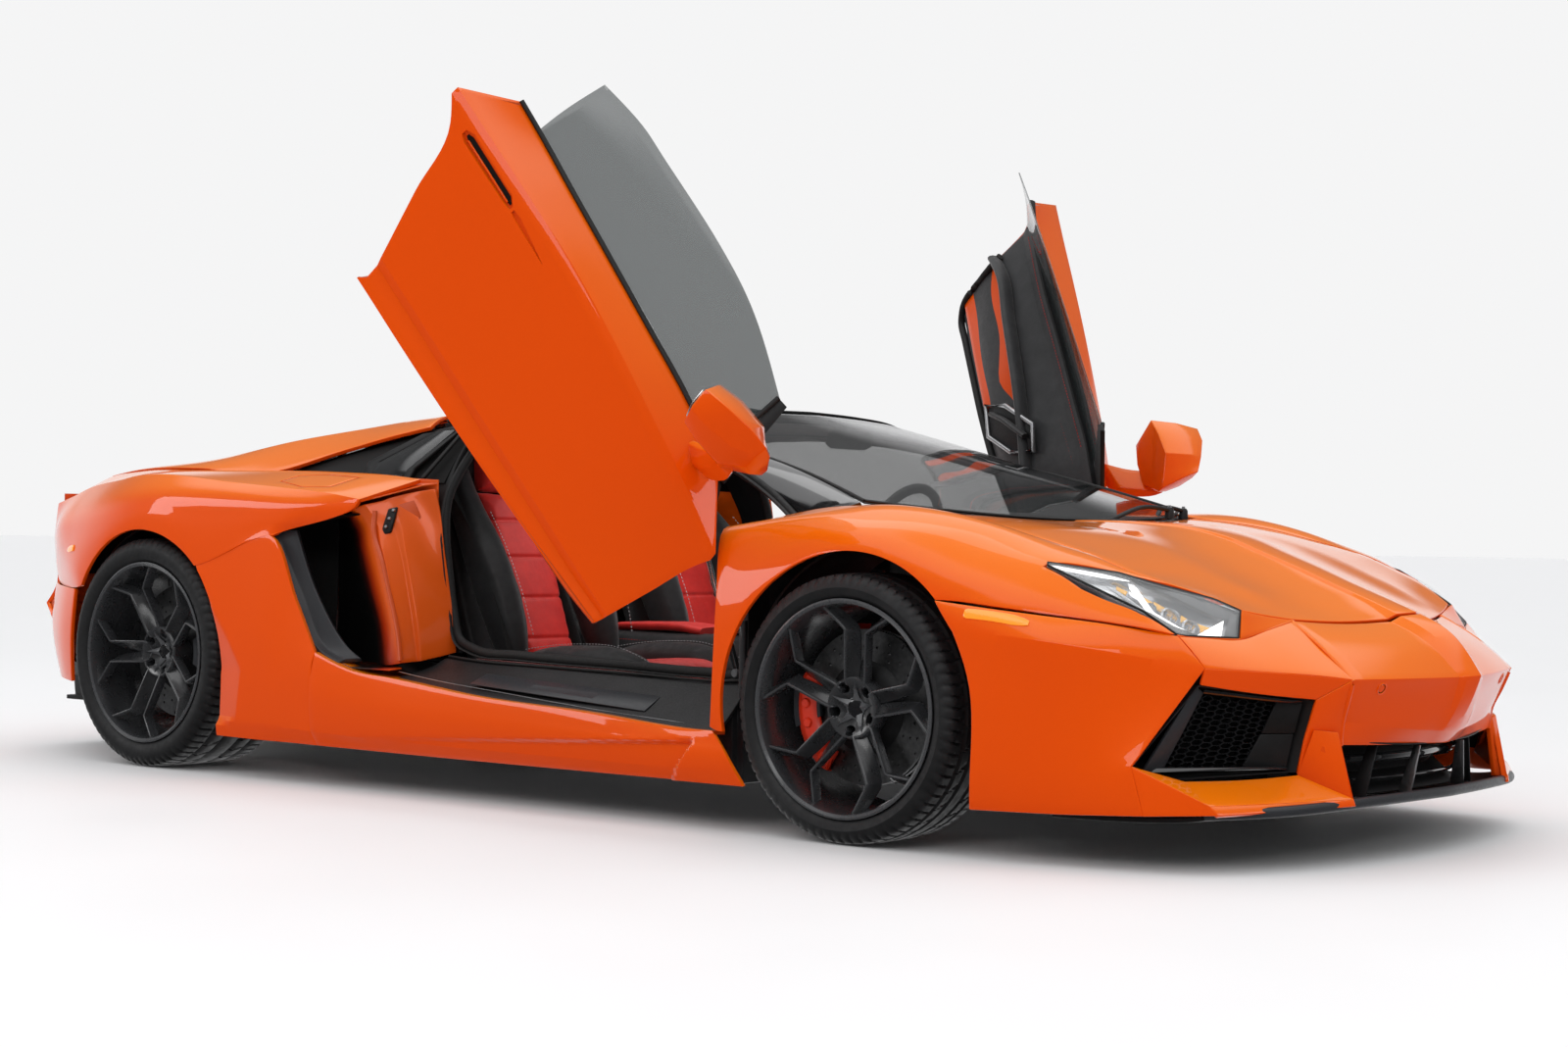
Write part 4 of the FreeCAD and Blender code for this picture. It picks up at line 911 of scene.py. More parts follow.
def wheel_face(R, depth=0.046, lip=0.0):
    """Wheel centre facing +Z about the origin: five hexagonal windows framed by narrow ridges, with a deep V spoke between each two."""

    def dz(r):
        return -depth * float(np.interp(r / R, [0.0, 0.10, 0.22, 0.34, 0.74, 0.97], [1.0, 0.92, 0.66, 0.52, 0.16, 0.0]))

    parts = []
    hub_prof = [(0.0005, dz(0) - 0.004), (0.10 * R, dz(0.10 * R) - 0.004), (0.20 * R, dz(0.2 * R) - 0.002), (0.262 * R, dz(0.262 * R)), (0.285 * R, dz(0.285 * R) - 0.001), (0.298 * R, dz(0.3 * R) - 0.008), (0.285 * R, dz(0) - 0.050), (0.20 * R, dz(0) - 0.060), (0.0005, dz(0) - 0.060)]
    hub = lathe(hub_prof, (0, 0, 0), (0, 0, 1), 120, "hub", "rim")
    cut = []
    for k in range(5):
        w = math.radians(8 + 36 + 72 * k)
        n = 28
        cx, cy = 0.215 * R * math.cos(w), 0.215 * R * math.sin(w)
        V = []
        for z, sc in ((dz(0) - 0.030, 0.80), (0.03, 1.25)):
            for i in range(n):
                q = 2 * math.pi * i / n
                aa, bb = 0.052 * R * math.cos(q) * sc, 0.062 * R * math.sin(q) * sc
                V.append((cx + aa * math.cos(w) - bb * math.sin(w), cy + aa * math.sin(w) + bb * math.cos(w), z))
        F = [tuple(range(n)), tuple(range(2 * n - 1, n - 1, -1))] + [(i, n + i, n + (i + 1) % n, (i + 1) % n) for i in range(n)]
        cc = new_obj("cutter_p", V, F)
        fix_normals(cc)
        cut.append(cc)
    tool = join(cut, "cutter_w")
    boolean(hub, tool)
    bv = hub.modifiers.new("soft", "BEVEL")
    bv.width = 0.0022
    bv.segments = 3
    bv.limit_method = "ANGLE"
    bv.angle_limit = math.radians(35)
    bake(hub)
    shade(hub, 32)
    drop(tool)
    parts.append(hub)
    # rib stations: ridge line (along, across), foot line (along, across), depth of the foot below the ridge
    RIB = (
        ((0.215, 0.112), (0.150, 0.000), 0.040), ((0.270, 0.128), (0.250, 0.000), 0.078), ((0.420, 0.131), (0.420, 0.004), 0.110),
        ((0.600, 0.133), (0.600, 0.022), 0.135), ((0.728, 0.135), (0.750, 0.048), 0.145), ((0.748, 0.158), (0.792, 0.080), 0.145),
        ((0.800, 0.234), (0.868, 0.188), 0.120), ((0.885, 0.358), (0.945, 0.290), 0.070), ((0.908, 0.392), (0.962, 0.330), 0.055),
    )
    for k in range(5):
        a0 = math.radians(8 + 72 * k)
        for sg in (-1, 1):
            secs = []
            for (os_, ot), (is_, it_), wall in RIB:
                def P(s, t, z):
                    return (R * (s * math.cos(a0) - sg * t * math.sin(a0)), R * (s * math.sin(a0) + sg * t * math.cos(a0)), z)

                ro = R * math.hypot(os_, ot)
                zo = dz(ro)
                L = math.hypot(is_ - os_, it_ - ot)
                mix = lambda f: (os_ * (1 - f) + is_ * f, ot * (1 - f) + it_ * f)
                f1 = min(0.5, 0.022 / L)
                f2 = min(0.7, 0.034 / L)
                m1, m2, m3 = mix(f1), mix(f2), mix(0.62)
                secs.append([
                    P(os_, ot, zo - 0.0010), P(m1[0], m1[1], zo - 0.0002), P(m2[0], m2[1], zo - 0.0052), P(m3[0], m3[1], zo - 0.0052 - (wall * R - 0.0052) * 0.52),
                    P(is_, it_, zo - wall * R), P(is_, it_, zo - wall * R - 0.018 * R), P(os_ * 0.985, ot * 0.93, zo - 0.130 * R),
                ])
            o = loft_solid("spoke", secs, "rim")
            bv = o.modifiers.new("soft", "BEVEL")
            bv.width = 0.0016
            bv.segments = 2
            bv.limit_method = "ANGLE"
            bv.angle_limit = math.radians(16)
            bake(o)
            shade(o, 24)
            parts.append(o)
        V = []
        for r, hw, z in ((0.075 * R, 0.050 * R, 0.004), (0.13 * R, 0.030 * R, 0.005), (0.19 * R, 0.014 * R, 0.004), (0.27 * R, 0.003 * R, -0.004)):
            zz = dz(r) + z
            for s2 in (-1, 1):
                V.append((r * math.cos(a0) - s2 * hw * math.sin(a0), r * math.sin(a0) + s2 * hw * math.cos(a0), zz - 0.005))
            V.append((r * math.cos(a0), r * math.sin(a0), zz + 0.004 * (1 - r / R)))
        F = []
        for i in range(3):
            F += [(i * 3, (i + 1) * 3, (i + 1) * 3 + 2, i * 3 + 2), (i * 3 + 2, (i + 1) * 3 + 2, (i + 1) * 3 + 1, i * 3 + 1)]
        st = new_obj("star", V, F, "rim")
        fix_normals(st)
        sm = st.modifiers.new("t", "SOLIDIFY")
        sm.thickness = 0.012
        bake(st)
        shade(st, 20)
        parts.append(st)
        w = math.radians(8 + 36 + 72 * k)
        bolt = lathe([(0.0003, dz(0) - 0.016), (0.0075, dz(0) - 0.016), (0.0092, dz(0) - 0.018), (0.0095, dz(0) - 0.036), (0.0003, dz(0) - 0.036)], (0.215 * R * math.cos(w), 0.215 * R * math.sin(w), 0), (0, 0, 1), 6, "bolt", "black_gloss")
        shade(bolt, 20)
        parts.append(bolt)
    z0 = dz(0)
    cap = lathe([(0.0005, z0 + 0.0075), (0.060 * R, z0 + 0.0072), (0.080 * R, z0 + 0.0058), (0.088 * R, z0 + 0.002), (0.090 * R, z0 - 0.012), (0.0005, z0 - 0.012)], (0, 0, 0), (0, 0, 1), 64, "cap", "black_gloss")
    shade(cap, 40)
    ringc = lathe([(0.093 * R, z0 - 0.006), (0.093 * R, z0 + 0.004), (0.104 * R, z0 + 0.0035), (0.110 * R, z0 - 0.006)], (0, 0, 0), (0, 0, 1), 64, "cap_ring", "rim")
    shade(ringc, 35)
    parts += [cap, ringc]
    # tyre valve
    va = sweep([(0.80 * R * math.cos(math.radians(44)), 0.80 * R * math.sin(math.radians(44)), -0.040), (0.88 * R * math.cos(math.radians(44)), 0.88 * R * math.sin(math.radians(44)), -0.034)], 0.003, "valve", "black_plastic", 10)
    parts.append(va)
    return parts


def set_slots(o, mats):
    o.data.materials.clear()
    for m in mats:
        o.data.materials.append(M[m])


def brake_disc(centre, r, side, y):
    """Drilled and vented disc with a black bell."""
    o = lathe([(r * 0.58, 0), (r, 0), (r, -0.011), (r * 0.60, -0.011), (r * 0.60, -0.021), (r, -0.021), (r, -0.032), (r * 0.58, -0.032)], (0, 0, 0), (0, 0, 1), 120, "disc", "iron")
    holes = []
    for k in range(24):
        for i, (rr, off) in enumerate(((0.68, 0.0), (0.78, 3.2), (0.88, 6.4), (0.95, 10.2))):
            if (k + i) % 2 and i != 1:
                continue
            a = math.radians(k * 15 + off)
            x, y0 = r * rr * math.cos(a), r * rr * math.sin(a)
            c = lathe([(0.0001, -0.0060), (0.0042, -0.0060), (0.0042, 0.004), (0.0001, 0.004)], (x, y0, 0), (0, 0, 1), 8, "h")
            holes.append(c)
    t = join(holes, "cutter_h")
    boolean(o, t)
    bake(o)
    drop(t)
    shade(o, 30)
    bell = lathe([(0.05, 0.012), (r * 0.50, 0.012), (r * 0.56, 0.004), (r * 0.60, 0.0005), (r * 0.60, -0.006), (0.05, -0.006)], (0, 0, 0), (0, 0, 1), 64, "bell", "black_plastic")
    shade(bell, 35)
    return [o, bell]


def to_wheel(objs, centre, y, side, spin=0.0):
    """Parts made facing +Z about the origin are turned to face the car's side at height y."""
    if side > 0:
        rot = Matrix(((-1, 0, 0), (0, 0, 1), (0, 1, 0))).to_4x4()
    else:
        rot = Matrix(((1, 0, 0), (0, 0, -1), (0, 1, 0))).to_4x4()
    m = Matrix.Translation((centre[0], y, centre[2])) @ rot @ Matrix.Rotation(spin, 4, "Z")
    for o in objs:
        o.data.transform(m)
    return objs


FACE = {}
for key, (wx, wy, R, w, rim) in {"front": (1.2, 0.858, 0.3305, 0.255, 0.262), "rear": (-1.5, 0.833, 0.355, 0.335, 0.273)}.items():
    h = w / 2
    dr = (0.268 if key == "front" else 0.281) - 0.076
    for side, sn in ((1, "left"), (-1, "right")):
        c = (wx, wy * side, R)
        t = tyre_mesh("tyre_%s_%s_skin" % (key, sn), c, R, w, rim, side, 74 if key == "front" else 76, 9)
        body = "wheel_%s_%s" % (key, sn)
        place(t, body, "tyre", "tyre_%s_%s" % (key, sn))
        spin = math.radians({"front": 3.0, "rear": 30.0}[key])
        parts = wheel_face(rim - 0.004, 0.050 if key == "front" else 0.078)
        to_wheel(parts, c, c[1] + side * (h - 0.019), side, spin)
        L = h - 0.012
        back_y = 0.110 if key == "front" else 0.150
        barrel = lathe([(rim - 0.020, -L), (rim + 0.004, -L), (rim + 0.005, -L + 0.006), (rim - 0.006, -L + 0.012), (rim - 0.008, L - 0.014), (rim - 0.001, L - 0.006), (rim + 0.006, L + 0.001), (rim + 0.006, L + 0.005), (rim + 0.001, L + 0.007), (rim - 0.006, L + 0.003), (rim - 0.010, L - 0.012), (rim - 0.016, L - 0.03), (rim - 0.018, -L + 0.01)], (c[0], c[1], c[2]), (0, side, 0), 144, "barrel", "rim")
        shade(barrel, 30)
        parts.append(barrel)
        rimo = join(parts, "rim_%s_%s_skin" % (key, sn))
        place(rimo, body, "rim_black", "rim_%s_%s" % (key, sn))
        d = brake_disc(c, dr, side, 0)
        to_wheel(d, c, c[1] + side * (h - back_y), side)
        hub = lathe([(0.0005, 0.0), (0.066, 0.0), (0.066, -0.03), (0.0005, -0.03)], (0, 0, 0), (0, 0, 1), 48, "hub", "black_plastic")
        to_wheel([hub], c, c[1] + side * (h - back_y + 0.016), side)
        dj = join(d + [hub], "disc_%s_%s" % (key, sn))
        place(dj, body, "steel")


# calipers, one block over the disc with three round bosses and a bridge, and a brake pipe
def caliper(key, side):
    wx, wy, R, w = (1.2, 0.858, 0.3305, 0.255) if key == "front" else (-1.5, 0.833, 0.355, 0.335)
    h = w / 2
    dr = (0.268 if key == "front" else 0.281) - 0.076
    a_mid = math.radians(196) if key == "front" else math.radians(8)
    span = math.radians(40 if key == "front" else 32)
    ri, ro = dr - 0.058, dr + 0.017
    n = 26
    q0 = 0.110 if key == "front" else 0.150
    y_face = h - q0 + 0.026
    y_back = h - q0 - 0.070
    V, F = [], []
    for i in range(n + 1):
        a = a_mid - span + 2 * span * i / n
        e = 1 - (abs(2 * i / n - 1)) ** 6 * 0.25
        for r, y in ((ri + 0.010, y_face - 0.004), (ri + 0.020, y_face), (ro - 0.030, y_face + 0.001), (ro - 0.006, y_face - 0.012), (ro, y_face - 0.030), (ro, y_back + 0.02), (ro - 0.008, y_back), (ri + 0.01, y_back), (ri, y_back + 0.012), (ri + 0.004, h - q0 - 0.036), (dr + 0.006, h - q0 - 0.036), (dr + 0.006, h - q0 + 0.004), (ri + 0.004, h - q0 + 0.004), (ri, h - q0 + 0.012)):
            rr = (ri + ro) / 2 + (r - (ri + ro) / 2) * (e if r > dr else 1)
            V.append((wx + rr * math.cos(a), (wy + y) * side, R + rr * math.sin(a)))
    k = 14
    for i in range(n):
        for j in range(k):
            j2 = (j + 1) % k
            F.append((i * k + j, (i + 1) * k + j, (i + 1) * k + j2, i * k + j2))
    F.append(tuple(range(k)))
    F.append(tuple(n * k + j for j in reversed(range(k))))
    o = new_obj("caliper_%s_%s" % (key, "left" if side > 0 else "right"), V, F, "caliper")
    fix_normals(o)
    soften(o, 0.003, 3, 30)
    extra = []
    for da in (-0.42, 0, 0.42):
        a = a_mid + da * span
        r = (ri + ro) / 2 - 0.006
        b = lathe([(0.0003, 0.006), (0.010, 0.006), (0.0125, 0.003), (0.0135, -0.004), (0.0003, -0.004)], (wx + r * math.cos(a), (wy + y_face) * side, R + r * math.sin(a)), (0, side, 0), 24, "boss", "caliper")
        shade(b, 40)
        extra.append(b)
    a0, a1 = a_mid - span * 0.7, a_mid + span * 0.7
    pipe = sweep([(wx + (ro + 0.002) * math.cos(a0 + (a1 - a0) * t / 10), (wy + y_face - 0.028) * side, R + (ro + 0.002) * math.sin(a0 + (a1 - a0) * t / 10)) for t in range(11)], 0.003, "pipe", "steel", 8)
    return join([o] + extra + [pipe], o.name)


for side, sn in ((1, "left"), (-1, "right")):
    place(caliper("front", side), "knuckle_" + sn, "alloy")
    place(caliper("rear", side), "body_shell", "alloy")
for nm in ("knuckle_front_left", "knuckle_front_right", "rear_knuckles"):
    nodes[nm].data.materials.clear()
    nodes[nm].data.materials.append(M["satin_grey"])


# ------------------------------------------------------------------ doors, drawn shut on the left and raised
PIV = Vector((0.854, 0.9, 0.663))
AX = Vector((0.036, 1.0, -0.487)).normalized()
RAISE = Matrix.Translation(PIV) @ Matrix.Rotation(math.radians(59.0), 4, AX) @ Matrix.Translation(-PIV)


def door_pair(parts, name, slot, replaced="", body="door_"):
    """Joined left parts are raised, and the right door gets the mirrored copy."""
    l = join(parts, name + "_left")
    l.data.transform(RAISE)
    r = mirrored(l, name + "_right")
    place(l, "door_left", slot, *([replaced + "left"] if replaced else []))
    place(r, "door_right", slot, *([replaced + "right"] if replaced else []))


DOOR = [
    [(-467, 771, 905), (-563, 930, 846), (-560, 939, 826), (-505, 942, 775), (-434, 960, 596), (-362, 979, 417), (-356, 968, 392), (-348, 983, 354), (-365, 988, 334)],
    [(-375, 762, 889), (-440, 928, 834), (-438, 938, 812), (-400, 945, 760), (-335, 960, 592), (-296, 978, 409), (-294, 967, 384), (-292, 982, 346), (-294, 988, 327)],
    [(-200, 778, 865), (-225, 927, 814), (-222, 937, 792), (-210, 943, 740), (-185, 959, 578), (-160, 977, 395), (-160, 966, 370), (-160, 981, 332), (-160, 987, 313)],
    [(-6, 797, 840), (-20, 926, 792), (-18, 936, 770), (-10, 942, 718), (5, 958, 558), (20, 976, 375), (20, 965, 350), (20, 980, 314), (20, 985, 296)],
    [(200, 815, 812), (195, 931, 756), (196, 941, 734), (200, 946, 684), (206, 959, 530), (212, 975, 354), (212, 964, 329), (213, 978, 296), (214, 983, 281)],
    [(403, 831, 783), (402, 937, 714), (402, 946, 692), (404, 950, 642), (410, 959, 495), (420, 974, 332), (420, 963, 307), (421, 976, 281), (422, 981, 269)],
    [(560, 846, 748), (600, 936, 668), (600, 944, 646), (597, 948, 598), (592, 957, 460), (590, 973, 313), (590, 962, 290), (591, 974, 270), (592, 980, 262)],
    [(613, 850, 728), (770, 930, 620), (775, 937, 600), (762, 941, 560), (742, 955, 430), (722, 973, 300), (720, 963, 284), (716, 974, 268), (712, 979, 259)],
]
REF_D = (100, 300, 500)
door = patch(DOOR, 7, [6, 2, 4, 8, 8, 2, 3, 2], (), (0, 1, 2, 5, 6, 7), None, REF_D)
door = inset(door, 0.003, 0.003, 0.0, 0.001)


def strip(pts, hw, t0, t1):
    """Polygon round a centre line in the x-z plane."""
    up = [(x, z + hw * s) for x, z, s in pts]
    dn = [(x, z - hw * s) for x, z, s in reversed(pts)]
    return up + dn


slot_out = strip([(-462, 789, 0.5), (-440, 789, 1.15), (-260, 770, 1.0), (-236, 762, 0.4)], 15, 0, 0)
tail = strip([(-228, 760, 0.5), (-200, 757, 0.8), (-76, 735, 0.05)], 10, 0, 0)
cut1 = prism_obj([(x, z) for x, z in slot_out], "y", 928, 1000)
cut2 = prism_obj([(x, z) for x, z in tail], "y", 932, 1000)
skin_o = panel("door_skin", door, REF_D, 0.022, cuts=[cut1, cut2], angle=20, bevel=0.0028)
drop(cut1, cut2)
slot_in = strip([(-452, 788, 0.4), (-436, 787, 1.0), (-262, 769, 0.9), (-246, 764, 0.3)], 9, 0, 0)
# near-black sheet inside the handle slot: painted shade
dark = prism_obj(slot_in, "y", 921, 930, "painted_shade", "handle_dark")
grip = sweep([(-0.440, 0.932, 0.7805), (-0.35, 0.9335, 0.772), (-0.256, 0.932, 0.7615)], 0.003, "grip", "paint", 8)
door_pair([skin_o, dark, grip], "door_skin", "paint", "door_")

# shell of the door behind the skin, and the lining
LIN = [
    [(-392, 752, 884), (-380, 756, 830), (-366, 728, 735), (-352, 724, 520), (-336, 742, 462), (-322, 800, 420), (-330, 900, 366)],
    [(-270, 748, 872), (-262, 750, 818), (-255, 722, 730), (-250, 718, 512), (-246, 738, 456), (-240, 800, 408), (-236, 900, 350)],
    [(-100, 752, 850), (-95, 754, 796), (-90, 721, 700), (-88, 716, 490), (-86, 738, 440), (-84, 800, 398), (-82, 900, 336)],
    [(100, 770, 824), (100, 770, 768), (98, 730, 650), (98, 722, 460), (98, 742, 424), (98, 802, 388), (98, 900, 322)],
    [(300, 786, 795), (300, 786, 740), (300, 750, 620), (300, 742, 440), (300, 758, 408), (300, 812, 376), (300, 900, 308)],
    [(470, 806, 765), (480, 806, 712), (480, 782, 590), (480, 776, 430), (480, 790, 396), (480, 832, 362), (480, 905, 298)],
    [(600, 826, 722), (610, 832, 676), (612, 820, 570), (612, 820, 420), (612, 832, 384), (612, 858, 350), (612, 915, 292)],
    [(640, 850, 712), (680, 868, 650), (690, 866, 560), (690, 866, 420), (690, 870, 380), (690, 884, 346), (690, 922, 286)],
]
REF_L = (100, 900, 500)
lin_q = patch(LIN, 6, [4, 6, 8, 4, 4, 4], (), (1, 2, 4), None, REF_L)
lining = panel("door_lining", lin_q, REF_L, 0.006, "leather_grey", 0.003, 3, angle=20)
# closing faces between skin and lining
edge = []
for idx, nm in ((0, "rear"), (-1, "front")):
    a = door[idx]
    b = lin_q[idx]
    b = np.array([b[int(round(t))] for t in np.linspace(0, len(b) - 1, len(a))])
    mid = (a * 0.25 + b * 0.75) + np.array([-0.010 if idx == 0 else 0.006, 0, 0])
    near = a * 0.92 + b * 0.08
    Q = np.stack([near, mid, b], axis=1)
    e = grid_obj("edge_" + nm, Q, "black_plastic" if nm == "front" else "paint_inner", (100, 850, 550))
    s = e.modifiers.new("t", "SOLIDIFY")
    s.thickness = 0.004
    bake(e)
    shade(e, 50)
    edge.append(e)
for j, nm, mt in ((0, "belt", "black_plastic"), (-1, "sill", "paint_inner")):
    a = door[:, j]
    b = lin_q[:, j]
    b = np.array([b[int(round(t))] for t in np.linspace(0, len(b) - 1, len(a))])
    near = a * 0.97 + b * 0.03
    Q = np.stack([near, (near + b) / 2 + np.array([0, 0, -0.004]), b], axis=1)
    e = grid_obj("edge_" + nm, Q, mt, (100, 850, 550))
    s = e.modifiers.new("t", "SOLIDIFY")
    s.thickness = 0.004
    bake(e)
    shade(e, 50)
    edge.append(e)
# black belt seal along the glass
belt = sweep([tuple(p + np.array([0, -0.004, 0.003])) for p in door[::2, 0]], 0.006, "belt_seal", "rubber", 10, flat=(0.012, 0.006))
# rubber band round the lower edge of the lining
band_pts = [(-0.352, 0.716, 0.74), (-0.350, 0.712, 0.62), (-0.340, 0.716, 0.50), (-0.312, 0.730, 0.455), (-0.24, 0.732, 0.446), (-0.086, 0.733, 0.432), (0.098, 0.737, 0.414), (0.30, 0.752, 0.398), (0.48, 0.785, 0.386), (0.612, 0.828, 0.374)]
band = sweep([tuple(p) for p in refine(np.array(band_pts), 6)], 0.012, "band", "rubber", 10)
# orange insert, slightly proud of the lining
INS = [
    [(-352, 720, 708), (-344, 716, 606), (-338, 712, 512)],
    [(-259, 712, 727), (-252, 709, 606), (-246, 708, 504)],
    [(-88, 711, 684), (-88, 708, 586), (-88, 707, 486)],
    [(82, 718, 642), (92, 714, 552), (100, 712, 462)],
    [(205, 732, 592), (172, 726, 520), (140, 720, 452)],
]
ins = panel("door_insert", patch(INS, 6, [6, 6], (), (), None, REF_L), REF_L, 0.005, "paint", 0.004, 3)
ridge_pts = [(-0.352, 0.704, 0.722), (-0.25, 0.700, 0.740), (-0.09, 0.700, 0.708), (0.004, 0.703, 0.688), (0.18, 0.714, 0.640), (0.30, 0.730, 0.590), (0.40, 0.745, 0.54)]
ridge = sweep([tuple(p) for p in refine(np.array(ridge_pts), 6)], 0.016, "ridge", "leather_grey", 12, flat=(0.026, 0.014))


def hexring(pts, r_out, name, mat):
    P = [tuple(p) for p in pts]
    return sweep(P, r_out, name, mat, 8, closed=True)


H = [(0.096, 0.702, 0.488), (0.170, 0.702, 0.575), (0.308, 0.722, 0.651), (0.378, 0.735, 0.607), (0.318, 0.722, 0.520), (0.203, 0.706, 0.455)]
cen = np.mean(np.array(H), axis=0)
frame_ring = hexring(H, 0.008, "pull_frame", "alloy")
inner_plate = slabof("pull_plate", [tuple(1000 * np.array([cen[0] + (p[0] - cen[0]) * 0.95, p[1] + 0.004, cen[2] + (p[2] - cen[2]) * 0.95])) for p in H], (-0.08, -1, 0), 0.006, "black_plastic")
bar_ = sweep([(0.150, 0.700, 0.505), (0.22, 0.690, 0.560), (0.325, 0.715, 0.610)], 0.011, "pull_bar", "leather_black", 12, flat=(0.014, 0.009))


def stitches(pts, mat="thread", gap=0.011, length=0.0065, r=0.0011, name="stitch"):
    """A row of short threads along a polyline (metres)."""
    P = refine(np.array(pts, float), 12)
    seg = np.linalg.norm(np.diff(P, axis=0), axis=1)
    s = np.concatenate([[0], np.cumsum(seg)])
    out = []
    V, F = [], []
    x = 0.0
    while x + length < s[-1]:
        a = np.array([np.interp(x, s, P[:, i]) for i in range(3)])
        b = np.array([np.interp(x + length, s, P[:, i]) for i in range(3)])
        t = (b - a) / max(np.linalg.norm(b - a), 1e-9)
        u = np.cross(t, [0, 0, 1.0])
        u = u / max(np.linalg.norm(u), 1e-9)
        v = np.cross(t, u)
        k0 = len(V)
        for e, sc in ((a, 0.5), (a * 0.75 + b * 0.25, 1.0), (a * 0.25 + b * 0.75, 1.0), (b, 0.5)):
            for q in range(5):
                w = 2 * math.pi * q / 5
                V.append(e + (u * math.cos(w) + v * math.sin(w)) * r * sc)
        for ring in range(3):
            for q in range(5):
                q2 = (q + 1) % 5
                F.append((k0 + ring * 5 + q, k0 + (ring + 1) * 5 + q, k0 + (ring + 1) * 5 + q2, k0 + ring * 5 + q2))
        F.append(tuple(k0 + q for q in range(5))[::-1])
        F.append(tuple(k0 + 15 + q for q in range(5)))
        x += gap
    o = new_obj(name, V, F, mat)
    return shade(o, 60)


st1 = stitches([(-0.36, 0.7485, 0.800), (-0.20, 0.747, 0.790), (0.10, 0.764, 0.742), (0.30, 0.780, 0.716), (0.47, 0.801, 0.692), (0.60, 0.828, 0.665)])
st2 = stitches([(-0.34, 0.7485, 0.858), (-0.10, 0.749, 0.828), (0.10, 0.766, 0.802), (0.30, 0.783, 0.775), (0.46, 0.803, 0.745)])
door_pair([lining] + edge + [belt, band, ins, ridge, frame_ring, inner_plate, bar_, st1, st2], "door_lining", "leather_black")

# side glass
GLASS = [
    [(-380, 758, 860), (-388, 690, 960), (-388, 595, 1063)],
    [(-230, 768, 846), (-240, 688, 962), (-262, 590, 1073)],
    [(0, 790, 822), (0, 700, 950), (-127, 599, 1066)],
    [(190, 806, 796), (180, 712, 940), (135, 621, 1046)],
    [(400, 823, 766), (384, 742, 900), (334, 654, 1013)],
    [(576, 834, 744), (566, 780, 850), (553, 722, 944)],
]
gq = patch(GLASS, 7, [5, 5], (), (), None, (0, 0, 500))
glass = panel("door_glass", gq, (0, 0, 500), 0.004, "glass_side", 0.0008, 2)
door_pair([glass], "door_window", "glass_dark", "door_glass_")
# black triangle and guide at the front of the glass
tri = slabof("door_tri", [(557, 824, 770), (553, 722, 944), (580, 722, 946), (640, 852, 726), (600, 845, 735)], (0.3, 0.9, 0.4), 0.014, "black_plastic")
rail = sweep([(0.556, 0.826, 0.766), (0.556, 0.779, 0.851), (0.548, 0.724, 0.944)], 0.007, "rail", "rubber", 8)
door_pair([tri, rail], "door_corner", "black_plastic")

# mirror: wedge head on a flat stalk
HEADQ = [
    [(470, 962, 815), (448, 958, 915), (455, 1040, 934), (452, 1130, 930), (466, 1150, 876), (478, 1120, 832), (480, 1040, 812)],
    [(540, 956, 800), (515, 952, 932), (520, 1040, 948), (512, 1122, 940), (522, 1138, 876), (530, 1105, 822), (535, 1030, 798)],
    [(620, 955, 800), (600, 953, 935), (600, 1030, 950), (590, 1088, 944), (598, 1096, 880), (608, 1070, 818), (615, 1010, 797)],
    [(690, 956, 852), (690, 956, 872), (672, 1010, 915), (652, 1060, 938), (652, 1060, 905), (655, 1040, 860), (672, 995, 842)],
]
hq = np.array(HEADQ, float) / 1000
hq = np.concatenate([hq[i] + (hq[i + 1] - hq[i]) * t for i in range(3) for t in ([[[0.0]], [[0.5]]] if i < 2 else [[[0.0]], [[0.35]], [[0.7]], [[1.0]]])]).reshape(-1, 7, 3)
hq = np.concatenate([hq, hq[:, :1]], axis=1)
k = hq.shape[1] - 1
V = hq[:, :k].reshape(-1, 3)
F = []
for i in range(hq.shape[0] - 1):
    for j in range(k):
        F.append((i * k + j, (i + 1) * k + j, (i + 1) * k + (j + 1) % k, i * k + (j + 1) % k))
F.append(tuple(range(k)))
F.append(tuple((hq.shape[0] - 1) * k + j for j in reversed(range(k))))
head = new_obj("mirror_head", V, F, "paint")
fix_normals(head)
b = head.modifiers.new("soft", "BEVEL")
b.width = 0.0035
b.segments = 3
b.limit_method = "ANGLE"
b.angle_limit = math.radians(22)
bake(head)
shade(head, 30)
mg = [(466, 972, 823), (446, 968, 906), (452, 1040, 925), (449, 1122, 921), (461, 1138, 876), (472, 1112, 840), (475, 1040, 822)]
mc = np.mean(np.array(mg, float), axis=0)
glass_m = slabof("mirror_pane", [tuple(mc + (np.array(p) - mc) * 0.94 + np.array([-3, 0, 0])) for p in mg], (-1, 0.1, 0), 0.006, "mirror", 0.001)
stalk = [
    [(500, 880, 725), (505, 880, 745), (600, 905, 748), (606, 900, 716), (540, 890, 700)],
    [(540, 930, 760), (545, 930, 780), (622, 945, 778), (628, 945, 745), (575, 935, 735)],
    [(565, 985, 800), (570, 985, 818), (640, 1000, 812), (645, 1000, 788), (600, 990, 780)],
    [(570, 1010, 815), (575, 1010, 832), (638, 1020, 826), (642, 1020, 806), (600, 1015, 800)],
]
sq = refine(np.array(stalk, float) / 1000, 4)
k = 5
V = sq.reshape(-1, 3)
F = []
for i in range(sq.shape[0] - 1):
    for j in range(k):
        F.append((i * k + j, (i + 1) * k + j, (i + 1) * k + (j + 1) % k, i * k + (j + 1) % k))
F.append(tuple(range(k)))
F.append(tuple((sq.shape[0] - 1) * k + j for j in reversed(range(k))))
stk = new_obj("mirror_stalk", V, F, "paint")
fix_normals(stk)
soften(stk, 0.004, 3, 24)
